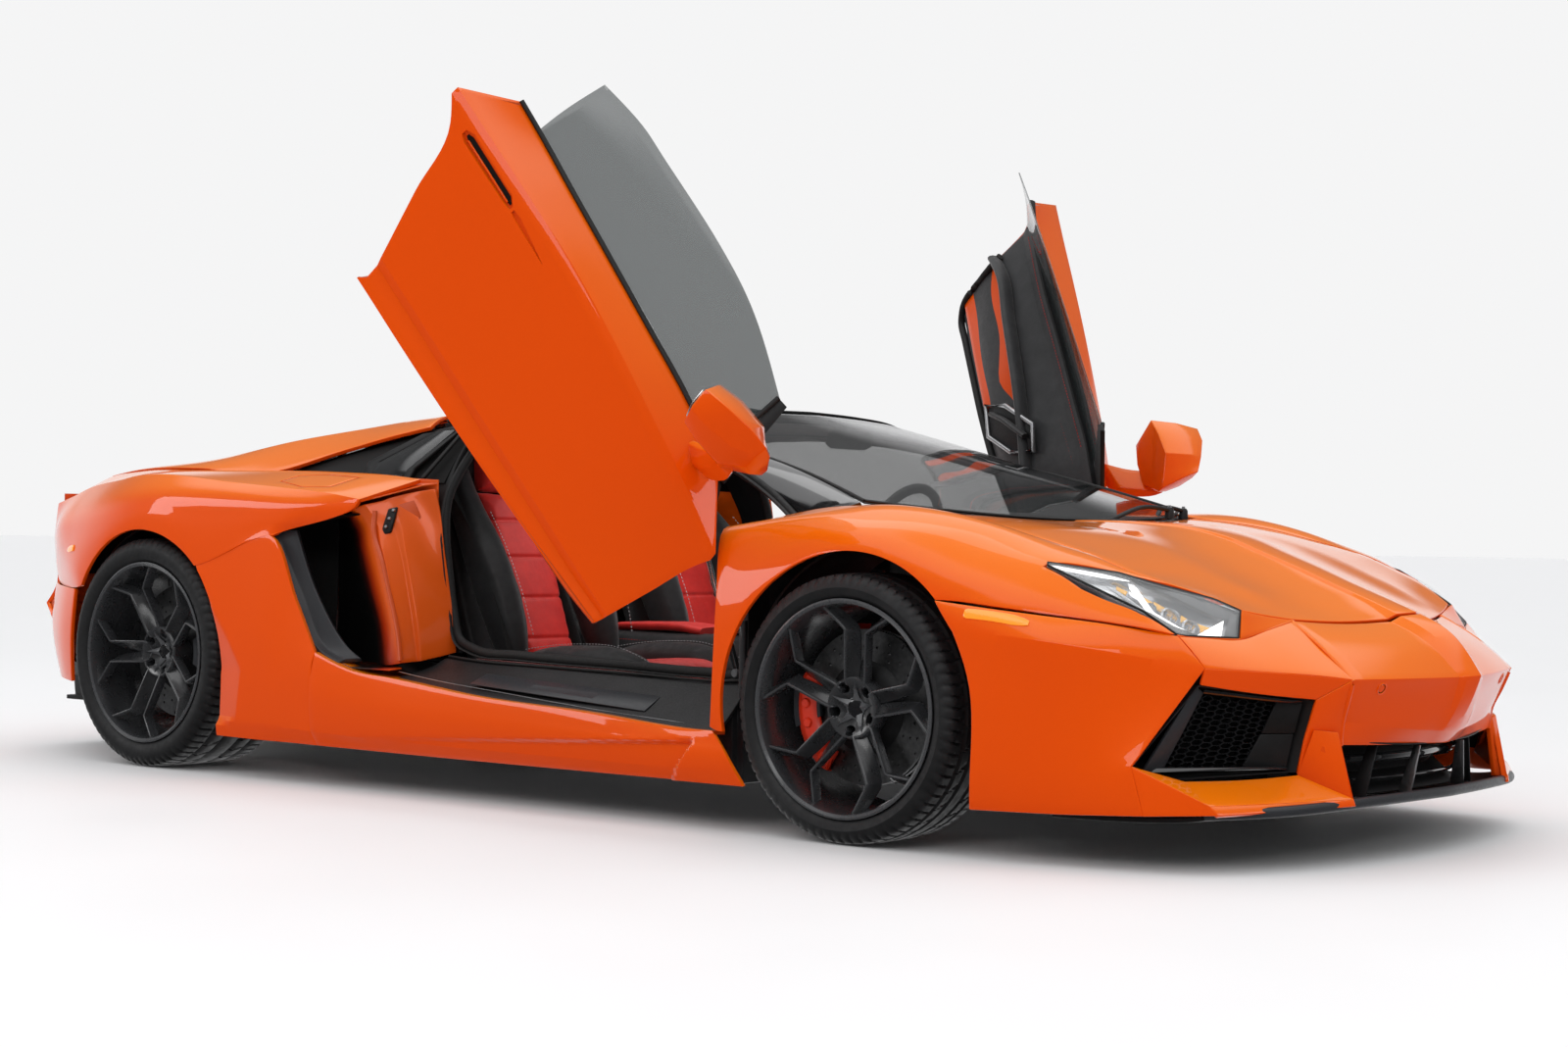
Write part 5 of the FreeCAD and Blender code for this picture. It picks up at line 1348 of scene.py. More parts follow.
door_pair([head, stk, glass_m], "door_mirror_skin", "paint", "door_mirror_")


# ------------------------------------------------------------------ lamps, intakes, splitter
from mathutils.bvhtree import BVHTree


def tree_of(o):
    return BVHTree.FromPolygons([v.co.copy() for v in o.data.vertices], [tuple(p.vertices) for p in o.data.polygons])


def drape(tree, x, y, lift=0.0, z0=1.6):
    """Point of a panel seen from above, in metres."""
    loc, nor, _, _ = tree.ray_cast(Vector((x, y, z0)), Vector((0, 0, -1)))
    if loc is None:
        return None
    return loc + nor * lift


m_ = Mat("lamp_chrome", (0.62, 0.63, 0.65), 0.16, 0.85)
m_.rough(m_.noise(70, 3), 0.10, 0.24).bump(m_.noise(120, 2), 0.06, 0.001)
M["lamp_chrome"] = m_.m
m_ = Mat("lamp_amber", (0.90, 0.46, 0.03), 0.22, 0.35, Emission_Color=(1.0, 0.52, 0.04, 1), Emission_Strength=0.10)
m_.rough(m_.noise(200, 2), 0.16, 0.3).bump(m_.noise(170, 1), 0.25, 0.002)
M["lamp_amber"] = m_.m

LAMP = np.array([
    [(1707, 861, 697), (1712, 868, 690)],
    [(1830, 750, 675), (1850, 842, 630)],
    [(1896, 701, 652), (1938, 818, 590)],
    [(2000, 605, 617), (2010, 783, 536)],
    [(2055, 577, 591), (2074, 622, 529)],
], float) / 1000
LAMP[0, 0] = (1.7075, 0.8600, 0.6965)
LAMP_U = np.array([0.0, 0.38, 0.60, 0.86, 1.0])
LN = Vector((0.35, 0.40, 0.85)).normalized()


def lp(u, v, d=0.0):
    """Point of the lamp: u from rear tip to nose, v from upper to lower edge, d metres under the cover."""
    r = np.array([[np.interp(u, LAMP_U, LAMP[:, k, i]) for i in range(3)] for k in (0, 1)])
    p = r[0] * (1 - v) + r[1] * v
    bulge = 0.010 * math.sin(math.pi * min(max(u, 0), 1)) * math.sin(math.pi * min(max(v, 0), 1))
    return Vector(p) + LN * (bulge - d)


def lamp_grid(name, us, vs, depth, mat, thick=0.0025, bevel=0.0006, angle=30):
    """Piece of the lamp over the lists us and vs; depth may be a number or a function of u and v."""
    Q = np.array([[tuple(lp(u, v, depth(u, v) if callable(depth) else depth)) for v in vs] for u in us])
    o = grid_obj(name, Q, mat, (1900, 700, 200))
    s = o.modifiers.new("t", "SOLIDIFY")
    s.thickness = thick
    s.offset = -1
    return soften(o, bevel, 2, angle)


def lamp_poly(name, uv, depth, mat, thick=0.006, bevel=0.0012):
    return slabof(name, [tuple(lp(u, v, d) * 1000) for (u, v), d in zip(uv, depth if hasattr(depth, "__len__") else [depth] * len(uv))], tuple(LN), thick, mat, bevel)


lamp = []
us = [i / 40 for i in range(41)]
vs = [i / 12 for i in range(13)]
lens = lamp_grid("lens", us, vs, -0.0005, "lens", 0.003, 0.0005)
bowl = lamp_grid("bowl", us, vs, lambda u, v: 0.004 + 0.052 * (math.sin(math.pi * v) ** 0.35) * (math.sin(math.pi * min(max(u, 0.0), 1.0)) ** 0.45 if 0 < u < 1 else 0), "lamp_chrome")
lamp.append(bowl)
# black trim: upper strip, lower wedge and nose end
lamp.append(lamp_poly("trim_up", [(0.44, 0.0), (0.60, 0.0), (0.78, 0.0), (1.0, 0.0), (0.985, 0.42), (0.88, 0.26), (0.70, 0.17)], [0.006, 0.006, 0.006, 0.006, 0.014, 0.016, 0.012], "black_gloss", 0.010))
lamp.append(lamp_poly("trim_low", [(0.50, 0.99), (0.70, 0.995), (0.865, 0.995), (0.90, 0.86), (0.78, 0.80), (0.64, 0.84)], [0.004, 0.004, 0.004, 0.014, 0.016, 0.012], "black_gloss", 0.010))
lamp.append(lamp_poly("trim_nose", [(0.955, 0.02), (1.0, 0.01), (1.0, 0.99), (0.965, 0.99)], 0.005, "black_gloss", 0.010))
# light blades in a fork
lamp.append(lamp_poly("led_a", [(0.475, 0.30), (0.512, 0.24), (0.655, 0.76), (0.612, 0.80)], [0.016, 0.016, 0.016, 0.016], "led", 0.006))
lamp.append(lamp_poly("led_b", [(0.612, 0.80), (0.655, 0.76), (0.80, 0.765), (0.885, 0.835), (0.875, 0.86), (0.79, 0.80)], 0.016, "led", 0.006))
lamp.append(lamp_poly("led_c", [(0.36, 0.56), (0.385, 0.50), (0.60, 0.79), (0.58, 0.82)], 0.020, "lamp_chrome", 0.005))
lamp.append(lamp_poly("led_d", [(0.895, 0.84), (0.945, 0.38), (0.958, 0.90)], [0.015, 0.010, 0.012], "led", 0.005))
lamp.append(lamp_poly("led_e", [(0.02, 0.30), (0.30, 0.04), (0.46, 0.05), (0.30, 0.16), (0.10, 0.46)], [0.006, 0.010, 0.012, 0.016, 0.008], "led", 0.003))
# amber reflector, stepped
for i in range(7):
    a = 0.40 + i * 0.075
    lamp.append(lamp_poly("amb%d" % i, [(a, 0.30 + 0.028 * i), (a + 0.070, 0.315 + 0.028 * i), (a + 0.066, 0.43 + 0.025 * i), (a + 0.006, 0.44 + 0.022 * i)], [0.026, 0.030, 0.034, 0.030], "lamp_amber" if i != 1 else "lamp_chrome", 0.005))


def lamp_round(u, v, r, depth):
    c = lp(u, v, depth)
    ax = (LN + Vector((0.75, 0.1, -0.35))).normalized()
    out = []
    ring = lathe([(r * 1.02, -0.012), (r * 1.02, 0.006), (r * 1.12, 0.009), (r * 1.30, 0.005), (r * 1.34, -0.004), (r * 1.20, -0.016)], c, ax, 48, "ring", "lamp_chrome")
    shade(ring, 35)
    cup = lathe([(0.0003, -0.020), (r * 1.18, -0.020), (r * 1.18, -0.010), (0.0003, -0.010)], c, ax, 40, "cup", "black_gloss")
    prof = [(0.0003, 0.010)] + [(r * math.sin(t), -0.012 + 0.022 * math.cos(t)) for t in [math.pi / 2 * k / 8 for k in range(1, 9)]] + [(0.0003, -0.012)]
    ball = lathe(prof, c, ax, 48, "ball", "lens")
    shade(ball, 60)
    core = lathe([(0.0003, -0.009), (r * 0.55, -0.010), (r * 0.78, -0.004), (r * 0.8, -0.014), (0.0003, -0.014)], c, ax, 40, "core", "lamp_chrome")
    shade(core, 30)
    return [ring, cup, ball, core]


lamp += lamp_round(0.735, 0.60, 0.021, 0.032)
lamp += lamp_round(0.855, 0.62, 0.019, 0.030)
lamp += lamp_round(0.62, 0.60, 0.012, 0.034)
for i in range(9):
    u0 = 0.64 + 0.032 * i
    lamp.append(lamp_poly("fin%d" % i, [(u0, 0.47 + 0.012 * i), (u0 + 0.006, 0.47 + 0.012 * i), (u0 + 0.010, 0.76), (u0 + 0.004, 0.76)], [0.028, 0.028, 0.036, 0.036], "lamp_chrome", 0.010, 0.0005))
edge_pts = [tuple(lp(u, 0, 0.001)) for u in us] + [tuple(lp(1, v, 0.001)) for v in (0.35, 0.7)] + [tuple(lp(u, 1, 0.001)) for u in reversed(us)]
gask = sweep(edge_pts, 0.0028, "gasket", "rubber", 6, closed=True)
lamp.append(gask)
both_sides(join(lamp, "lamp_in"), "headlamp_units", "body_shell", "black_gloss")
both_sides(lens, "headlamp_lenses", "body_shell", "lens_clear", "headlamps")

# ---- side intakes: dark recess, slanted post, wide-celled mesh
TL, TR, BR, BM, BL = [Vector(p) / 1000 for p in ((2064, 774, 424), (2212, 503, 388), (2172, 509, 218), (2004, 806, 204), (1964, 896, 238))]
intake = []
back = Vector((-0.105, -0.035, 0.0))
Q = []
loop = [TL, TR, BR, BM, BL]
inner = [p * 0.93 + sum(loop, Vector()) / 5 * 0.07 + back for p in loop]
V = [tuple(p + Vector((-0.006, -0.003, 0))) for p in loop] + [tuple(p) for p in inner]
F = [(i, (i + 1) % 5, 5 + (i + 1) % 5, 5 + i) for i in range(5)] + [(5, 6, 7, 8, 9)]
rec = new_obj("intake_recess", V, F, "black_plastic")
fix_normals(rec)
sm = rec.modifiers.new("t", "SOLIDIFY")
sm.thickness = 0.003
soften(rec, 0.002, 2)
intake.append(rec)
TL2, TR2, BR2, BL2 = [Vector(p) / 1000 for p in ((2054, 762, 414), (2196, 512, 382), (2160, 516, 226), (1985, 836, 226))]


def qd(s, t, d=0.0):
    """Point of the intake face: s outward to inward, t top to bottom."""
    p = (TL2 * (1 - s) + TR2 * s) * (1 - t) + (BL2 * (1 - s) + BR2 * s) * t
    return p + Vector((-1.0, -0.30, 0)).normalized() * d


def qpoly(name, st, depth, mat, thick=0.006, bevel=0.0012):
    n = (qd(1, 0) - qd(0, 0)).cross(qd(0, 1) - qd(0, 0))
    if n.x < 0:
        n = -n
    return slabof(name, [tuple(qd(s, t, d) * 1000) for (s, t), d in zip(st, depth if hasattr(depth, "__len__") else [depth] * len(st))], tuple(n), thick, mat, bevel)


intake.append(qpoly("post_face", [(-0.03, -0.03), (0.105, 0.03), (0.105, 0.99), (-0.075, 1.02)], [0.004, 0.018, 0.022, 0.004], "satin_grey", 0.012, 0.0025))
intake.append(qpoly("post_side", [(0.105, 0.03), (0.13, 0.04), (0.13, 0.98), (0.105, 0.99)], [0.018, 0.045, 0.045, 0.022], "black_plastic", 0.004, 0.001))
intake.append(qpoly("bar_top", [(0.08, -0.005), (0.98, -0.01), (0.98, 0.055), (0.10, 0.045)], [0.012, 0.008, 0.014, 0.018], "black_gloss", 0.010, 0.002))
intake.append(qpoly("bar_low", [(0.02, 0.955), (0.985, 0.965), (0.985, 1.01), (-0.01, 1.01)], [0.016, 0.012, 0.006, 0.008], "black_gloss", 0.010, 0.002))
intake.append(qpoly("plate_in_up", [(0.80, 0.03), (0.985, 0.02), (0.985, 0.47), (0.775, 0.50)], [0.028, 0.010, 0.012, 0.034], "black_plastic", 0.006, 0.002))
intake.append(qpoly("plate_in_low", [(0.775, 0.51), (0.985, 0.48), (0.985, 0.97), (0.72, 0.97)], [0.036, 0.014, 0.012, 0.038], "black_plastic", 0.006, 0.002))
# near-black sheet behind the mesh: painted shade
intake.append(qpoly("mesh_back", [(0.10, 0.02), (0.84, 0.03), (0.80, 0.98), (0.08, 0.98)], 0.066, "painted_shade", 0.002, 0.0))
# mesh
V, F = [], []
cw, chh = 0.105, 0.094
for ci in range(-1, 10):
    for cj in range(-1, 14):
        s0 = 0.135 + ci * cw * 0.76
        t0 = 0.06 + cj * chh * 0.78 + (0.5 * chh * 0.78 if ci % 2 else 0.0)
        lim = 0.80 - 0.05 * t0
        if not (0.12 < s0 < lim and 0.06 < t0 < 0.955):
            continue
        base = len(V)
        hexa = [(-0.50, 0), (-0.26, -0.39), (0.26, -0.39), (0.50, 0), (0.26, 0.39), (-0.26, 0.39)]
        for dd, k1 in ((0.038, 0.86), (0.038, 1.03), (0.052, 1.03), (0.052, 0.90)):
            for hx, hy in hexa:
                V.append(tuple(qd(s0 + hx * cw * k1, t0 + hy * chh * k1, dd)))
        for i in range(6):
            j = (i + 1) % 6
            for a, b in ((0, 1), (1, 2), (2, 3), (3, 0)):
                F.append((base + a * 6 + i, base + a * 6 + j, base + b * 6 + j, base + b * 6 + i))
mesh_o = new_obj("intake_mesh", V, F, "black_gloss")
fix_normals(mesh_o)
shade(mesh_o, 20)
intake.append(mesh_o)
both_sides(join(intake, "intake_l"), "front_grilles_skin", "body_shell", "black_plastic", "front_intake_grilles")

# ---- splitter with its dark centre intake
SP = [
    [(1740, 0, 119), (1740, 250, 119), (1740, 560, 119), (1740, 880, 119)],
    [(2000, 0, 117), (2000, 250, 117), (1980, 560, 119), (1935, 850, 121)],
    [(2200, 0, 131), (2180, 250, 131), (2120, 560, 128), (2040, 820, 126)],
    [(2316, 0, 152), (2290, 300, 150), (2210, 620, 140), (2090, 800, 134)],
]
sq = full(patch(SP, 6, 6, (), (), None, (2000, 0, -2000)))
spl = panel("splitter", sq, (2000, 0, -2000), 0.012, "black_plastic", 0.003, 3)
lip = sweep([tuple(p) for p in sq[-1]], 0.012, "splitter_lip", "satin_grey", 14, flat=(0.010, 0.013))
under = []
for y in (-0.30, -0.10, 0.10, 0.30):
    under.append(slabof("strake", [(2120, y * 1000, 122), (1900, y * 1000, 112), (1900, y * 1000, 100), (2100, y * 1000, 104)], (0, 1, 0), 0.006, "black_plastic"))
cen_ = []
CEN = [
    [(2296, 0, 270), (2286, 180, 272), (2232, 418, 290)],
    [(2190, 0, 268), (2180, 180, 270), (2120, 400, 286)],
    [(2168, 0, 200), (2158, 180, 200), (2090, 392, 205)],
    [(2240, 0, 158), (2225, 200, 156), (2140, 420, 150)],
]
cq = full(patch(CEN, 6, 5, (1, 2), (), None, (2100, 0, 2000)))
cbox = grid_obj("centre_box", cq, "black_plastic", (2100, 0, 2000))
sm = cbox.modifiers.new("t", "SOLIDIFY")
sm.thickness = 0.004
soften(cbox, 0.003, 2)
bar1 = sweep([(2.150, -0.40, 0.236), (2.215, -0.20, 0.238), (2.232, 0, 0.239), (2.215, 0.20, 0.238), (2.150, 0.40, 0.236)], 0.008, "bar1", "black_gloss", 10, flat=(0.006, 0.012))
bar2 = sweep([(2.160, -0.40, 0.188), (2.225, -0.20, 0.190), (2.242, 0, 0.190), (2.225, 0.20, 0.190), (2.160, 0.40, 0.188)], 0.005, "bar2", "black_gloss", 10, flat=(0.005, 0.005))
cen_ += [cbox, bar1, bar2]
for s in (-1, 1):
    cen_.append(slabof("strut", [(2296, s * 126, 268), (2278, s * 122, 268), (2252, s * 150, 156), (2286, s * 154, 152)], (0, s, 0), 0.006, "alloy", 0.0015))
    cen_.append(slabof("strut_b", [(2250, s * 262, 272), (2225, s * 262, 272), (2200, s * 300, 152), (2240, s * 300, 150)], (0, s, 0), 0.006, "black_plastic", 0.0015))
cm = [[(2150, 0, 262), (2140, 180, 262), (2078, 392, 276)], [(2146, 0, 200), (2136, 180, 200), (2070, 392, 205)]]
cmq = full(patch(cm, 8, 18, (), (), None, (2000, 0, 230)))
place(join([spl, lip] + under + cen_, "splitter_skin"), "body_shell", "black_plastic", "front_splitter")

# ---- round sensors, side markers
bt = tree_of(bpy.data.objects["front_bumper_sides"])
nt_ = tree_of(bpy.data.objects["nose_cover"])
sens = []
for tr, x, y, z in ((bt, 1.985, 0.836, 0.432), (nt_, 2.300, 0.343, 0.411)):
    for s in (1, -1):
        near = tr.find_nearest(Vector((x, y * s, z)))
        loc, nor = near[0], near[1]
        if nor.dot(Vector((1.0, 0.6 * s, 0))) < 0:
            nor = -nor
        o = lathe([(0.0003, 0.0012), (0.0085, 0.0010), (0.0098, -0.0004), (0.0104, -0.004), (0.0003, -0.004)], loc, nor, 32, "sensor", "paint")
        r_ = lathe([(0.0118, -0.003), (0.0118, 0.0016), (0.0135, 0.0022), (0.0158, 0.0012), (0.0165, -0.003)], loc, nor, 40, "sensor_ring", "paint")
        # dark ring in the gap round each sensor: painted shade
        g_ = lathe([(0.0100, -0.003), (0.0100, 0.0003), (0.0122, 0.0003), (0.0122, -0.003)], loc, nor, 40, "sensor_gap", "painted_shade")
        for q in (o, r_, g_):
            shade(q, 35)
        sens += [o, r_, g_]
place(join(sens, "parking_sensors"), "body_shell", "paint")
mk = []
for nm, line, wd, mat, obj, fw in (
    ("front", [(1.560, 0.99, 0.574), (1.60, 0.99, 0.572), (1.66, 0.99, 0.566), (1.724, 0.97, 0.556)], 0.011, "amber", "front_bumper_sides", 1),
    ("rear", [(-1.915, 0.97, 0.672), (-1.945, 0.95, 0.668), (-1.975, 0.94, 0.664)], 0.010, "amber", "rear_wings_skin", 1),
):
    tr = tree_of(bpy.data.objects[obj])
    for s in (1, -1):
        top, low = [], []
        L = refine(np.array(line), 5)
        k = len(L)
        Vv, Ff = [], []
        for i, p in enumerate(L):
            hw = wd * (1.0 if 0 < i < k - 1 else 0.75) * (0.55 + 0.45 * min(1, (k - 1 - i) / 3))
            for dz_ in (hw, 0, -hw):
                q = Vector((p[0], p[1] * s, p[2] + dz_))
                loc, nor, _, _ = tr.ray_cast(q + Vector((0, 0.2 * s, 0)), Vector((0, -s, 0)))
                if loc is None:
                    loc, nor = Vector((p[0], p[1] * s, p[2] + dz_)), Vector((0, s, 0))
                Vv.append(loc + Vector((0, s, 0)) * (0.0028 if dz_ == 0 else 0.0014))
        for i in range(k - 1):
            for j in range(2):
                Ff.append((i * 3 + j, i * 3 + j + 1, (i + 1) * 3 + j + 1, (i + 1) * 3 + j))
        o = new_obj("marker", Vv, Ff, mat)
        fix_normals(o)
        sm = o.modifiers.new("t", "SOLIDIFY")
        sm.thickness = 0.004
        sm.offset = 0
        soften(o, 0.0008, 2)
        mk.append(o)
place(join(mk, "side_markers"), "body_shell", "lens_red")


# ------------------------------------------------------------------ screen, roof, pillars
REF_C = (300, 0, 300)
WIND = [
    [(1288, 0, 801), (1262, 350, 807), (1190, 620, 823), (1112, 776, 838)],
    [(1020, 0, 904), (1002, 300, 903), (950, 560, 902), (880, 700, 908)],
    [(700, 0, 1005), (690, 280, 1002), (650, 480, 994), (596, 632, 980)],
    [(330, 0, 1107), (320, 250, 1101), (304, 430, 1089), (282, 540, 1069)],
]
wq = full(patch(WIND, 8, 6, (), (), None, REF_C))
screen = panel("windscreen_skin", inset(wq, 0.004, 0.004, 0.004, 0.004), REF_C, 0.005, "glass_screen", 0.001, 2)
place(screen, "body_shell", "glass_dark", "windscreen")
N = grid_normals(wq)
if not orient(wq, REF_C):
    N = -N


def border(Q, N, width, depth, name, mat):
    """Printed border inside a sheet of glass: a frame of four strips that follow its curve."""
    nu, nv = Q.shape[:2]
    B = Q - N * depth

    def along(a, b, w):
        d = b - a
        return a + d * (w / np.maximum(np.linalg.norm(d, axis=-1, keepdims=True), 1e-6))

    out = []
    for ed, inn, w in ((B[0], B[-1], width[0]), (B[-1], B[0], width[1]), (B[:, 0], B[:, -1], width[2]), (B[:, -1], B[:, 0], width[3])):
        nxt = along(ed, inn, w)
        S = np.stack([ed, (ed + nxt) / 2, nxt], axis=1)
        out.append(S)
    objs = []
    for i, S in enumerate(out):
        o = grid_obj(name + str(i), S, mat, REF_C)
        objs.append(o)
    return objs


def strip_on(Q, N, j0, j1, i0, i1, depth, mat, name):
    S = Q[i0:i1, j0:j1] - N[i0:i1, j0:j1] * depth
    o = grid_obj(name, S, mat, REF_C)
    s = o.modifiers.new("t", "SOLIDIFY")
    s.thickness = 0.0015
    bake(o)
    return shade(o, 40)


fine = full(patch(WIND, 30, 24, (), (), None, REF_C))
NF = grid_normals(fine)
if not orient(fine, REF_C):
    NF = -NF
nu, nv = fine.shape[:2]
fr = [strip_on(fine, NF, 0, nv, 0, 4, 0.0065, "black_gloss", "b0"), strip_on(fine, NF, 0, nv, nu - 5, nu, 0.0065, "black_gloss", "b1"),
      strip_on(fine, NF, 0, 4, 3, nu - 4, 0.0065, "black_gloss", "b2"), strip_on(fine, NF, nv - 4, nv, 3, nu - 4, 0.0065, "black_gloss", "b3")]
edge_l = [tuple(p) for p in wq[:, 0]]
edge_r = [tuple(p) for p in wq[:, -1]]
base_e = [tuple(p) for p in wq[0]]
head_e = [tuple(p) for p in wq[-1]]
fr += [sweep(edge_l, 0.005, "seal_l", "rubber", 8, flat=(0.006, 0.004)), sweep(edge_r, 0.005, "seal_r", "rubber", 8, flat=(0.006, 0.004)),
       sweep(base_e, 0.005, "seal_b", "rubber", 8, flat=(0.006, 0.004)), sweep(head_e, 0.004, "seal_t", "rubber", 8, flat=(0.006, 0.003))]
place(join(fr, "windscreen_surround"), "body_shell", "black_gloss")

# cowl between the lid and the screen, with two wipers
COWL = [
    [(1292, 0, 795), (1267, 350, 801), (1195, 620, 815), (1118, 774, 828)],
    [(1300, 0, 782), (1276, 350, 786), (1206, 640, 796), (1150, 760, 806)],
    [(1306, 0, 783), (1282, 350, 787), (1222, 660, 798), (1170, 752, 808)],
    [(1311, 0, 788), (1288, 350, 793), (1246, 600, 802), (1212, 692, 806)],
]
cowl = full(patch(COWL, 4, 7, (), (), None, (1200, 0, 400)))
co = panel("cowl", cowl, (1200, 0, 400), 0.006, "black_plastic", 0.0015, 2)


def on_screen(x, y, lift):
    t = SCR.ray_cast(Vector((x, y, 1.6)), Vector((0, 0, -1)))
    return t[0] + t[1] * lift if t[0] is not None else Vector((x, y, 0.83 + lift))


SCR = BVHTree.FromPolygons([Vector(p) for p in fine.reshape(-1, 3)], [(i * nv + j, (i + 1) * nv + j, (i + 1) * nv + j + 1, i * nv + j + 1) for i in range(nu - 1) for j in range(nv - 1)])
wip = []
for pts_, piv in (([(1.262, -0.30), (1.262, 0.0), (1.235, 0.30)], (1.262, 0.42)), ([(1.215, 0.18), (1.195, 0.40), (1.150, 0.60)], (1.170, 0.66))):
    bl = refine(np.array([(x, y, 0.0) for x, y in pts_]), 8)[:, :2]
    pb = [on_screen(x, y, 0.010) for x, y in bl]
    pa = [on_screen(x, y, 0.024) for x, y in bl]
    wip.append(sweep([tuple(p) for p in pb], 0.003, "blade", "rubber", 6, flat=(0.003, 0.007)))
    wip.append(sweep([tuple(p) for p in pa], 0.006, "spine", "black_plastic", 8, flat=(0.009, 0.006)))
    c0 = Vector((piv[0] + 0.028, piv[1], 0.822))
    arm = [c0 + Vector((0, 0, 0.012)), c0 + Vector((-0.012, -0.10, 0.020)), pa[len(pa) // 2] + Vector((0.014, 0.10, 0.010)), pa[len(pa) // 2] + Vector((0.0, 0.0, 0.008))]
    wip.append(sweep([tuple(p) for p in refine(np.array([tuple(a) for a in arm]), 6)], 0.007, "arm", "black_plastic", 10, flat=(0.008, 0.006)))
    k_ = lathe([(0.0003, 0.020), (0.008, 0.020), (0.012, 0.014), (0.014, -0.012), (0.0003, -0.012)], c0, (0, 0, 1), 28, "pivot", "black_plastic")
    shade(k_, 40)
    wip.append(k_)
    n_ = lathe([(0.0003, 0.026), (0.0045, 0.026), (0.006, 0.020), (0.0003, 0.020)], c0, (0, 0, 1), 6, "nut", "alloy")
    wip.append(n_)
place(join([co] + wip, "cowl_and_wipers"), "body_shell", "black_plastic")

# roof: two panels, black gloss with a centre channel
ROOF = [
    [(322, 4, 1105), (312, 250, 1100), (296, 430, 1089), (274, 548, 1069)],
    [(0, 4, 1131), (0, 250, 1127), (0, 430, 1115), (0, 566, 1089)],
    [(-300, 4, 1137), (-300, 250, 1133), (-300, 430, 1121), (-300, 554, 1099)],
    [(-628, 4, 1121), (-628, 250, 1117), (-628, 430, 1107), (-600, 550, 1091)],
]
rq = patch(ROOF, 8, 6, (), (), None, REF_C)
rfine = rq.copy()
RN = grid_normals(rq)
if not orient(rq, REF_C):
    RN = -RN
# shallow dished field inside each panel
nu_, nv_ = rq.shape[:2]
for i in range(nu_):
    for j in range(nv_):
        if 2 <= j <= nv_ - 4 and 2 <= i <= nu_ - 3:
            rq[i, j] -= RN[i, j] * 0.006
ro = panel("roof_l", inset(rq, 0.003, 0.003, 0.001, 0.001), REF_C, 0.014, "black_gloss", 0.003, 3, angle=14)
hl = []
for k, (a, b) in enumerate((((-20, 120), (-20, 330)), ((-330, 120), (-330, 330)))):
    pass
head_l = grid_obj("headliner", patch(ROOF, 6, 5, (), (), None, REF_C) - np.array([0, 0, 0.026]), "leather_black", REF_C)
s_ = head_l.modifiers.new("t", "SOLIDIFY")
s_.thickness = 0.006
bake(head_l)
shade(head_l, 40)
both_sides(join([ro, head_l], "roof_lj"), "roof_skin", "body_shell", "black_gloss", "roof_panels")

# pillar and rail frame: gloss outer, rubber door seal, trimmed inside
FRAME = [
    [(1108, 788, 834), (1044, 808, 815), (932, 802, 802)],
    [(880, 710, 906), (852, 740, 886), (802, 758, 866)],
    [(594, 642, 982), (582, 674, 974), (572, 702, 960)],
    [(270, 564, 1068), (264, 614, 1056), (252, 628, 1042)],
    [(0, 574, 1086), (0, 592, 1080), (0, 599, 1068)],
    [(-300, 562, 1096), (-300, 572, 1092), (-300, 579, 1082)],
    [(-600, 558, 1088), (-600, 568, 1082), (-600, 574, 1072)],
]
fq = patch(FRAME, 8, [4, 4], (), (), None, REF_C)
fo = panel("pillar", fq, REF_C, 0.020, "black_gloss", 0.003, 3, angle=18)
pin = grid_obj("pillar_trim", fq - np.array([0.006, 0.028, 0.024]), "leather_grey", REF_C)
s_ = pin.modifiers.new("t", "SOLIDIFY")
s_.thickness = 0.006
bake(pin)
shade(pin, 50)
seal_path = [(0.915, 0.800, 0.790), (0.805, 0.762, 0.852), (0.574, 0.708, 0.950), (0.256, 0.636, 1.030), (0.0, 0.606, 1.056), (-0.20, 0.596, 1.062), (-0.34, 0.600, 1.050), (-0.405, 0.640, 0.99), (-0.418, 0.690, 0.92), (-0.420, 0.735, 0.84), (-0.412, 0.752, 0.74), (-0.396, 0.752, 0.62), (-0.372, 0.752, 0.50), (-0.345, 0.756, 0.435), (-0.28, 0.760, 0.408), (-0.10, 0.762, 0.398), (0.30, 0.764, 0.390), (0.60, 0.768, 0.384), (0.72, 0.776, 0.388), (0.768, 0.788, 0.42), (0.790, 0.800, 0.50), (0.80, 0.805, 0.62), (0.83, 0.806, 0.72)]
sp = refine(np.array(seal_path), 5)
seal = sweep([tuple(p) for p in sp], 0.013, "door_seal", "rubber", 14, flat=(0.012, 0.014))
seal2 = sweep([tuple(p + np.array([0.0, 0.016, -0.012 if 60 < i < 95 else 0.0])) for i, p in enumerate(sp)], 0.004, "seal_lip", "rubber", 6, flat=(0.006, 0.003))
# B post face
BP = [
    [(-410, 640, 1048), (-470, 622, 1052), (-560, 600, 1056)],
    [(-426, 716, 905), (-470, 716, 903), (-560, 716, 899)],
    [(-420, 750, 800), (-462, 752, 800), (-540, 760, 800)],
    [(-402, 752, 620), (-446, 752, 620), (-520, 760, 620)],
    [(-366, 750, 470), (-410, 752, 470), (-500, 756, 470)],
    [(-350, 748, 392), (-392, 748, 392), (-480, 748, 392)],
]
bp = panel("b_post", patch(BP, 6, [4, 4], (), (1,), None, (-450, 0, 700)), (-450, 0, 700), 0.012, "black_plastic", 0.003, 3)
both_sides(join([fo, pin, seal, seal2, bp], "frame_l"), "cabin_frame_skin", "body_shell", "black_gloss", "cabin_frame")

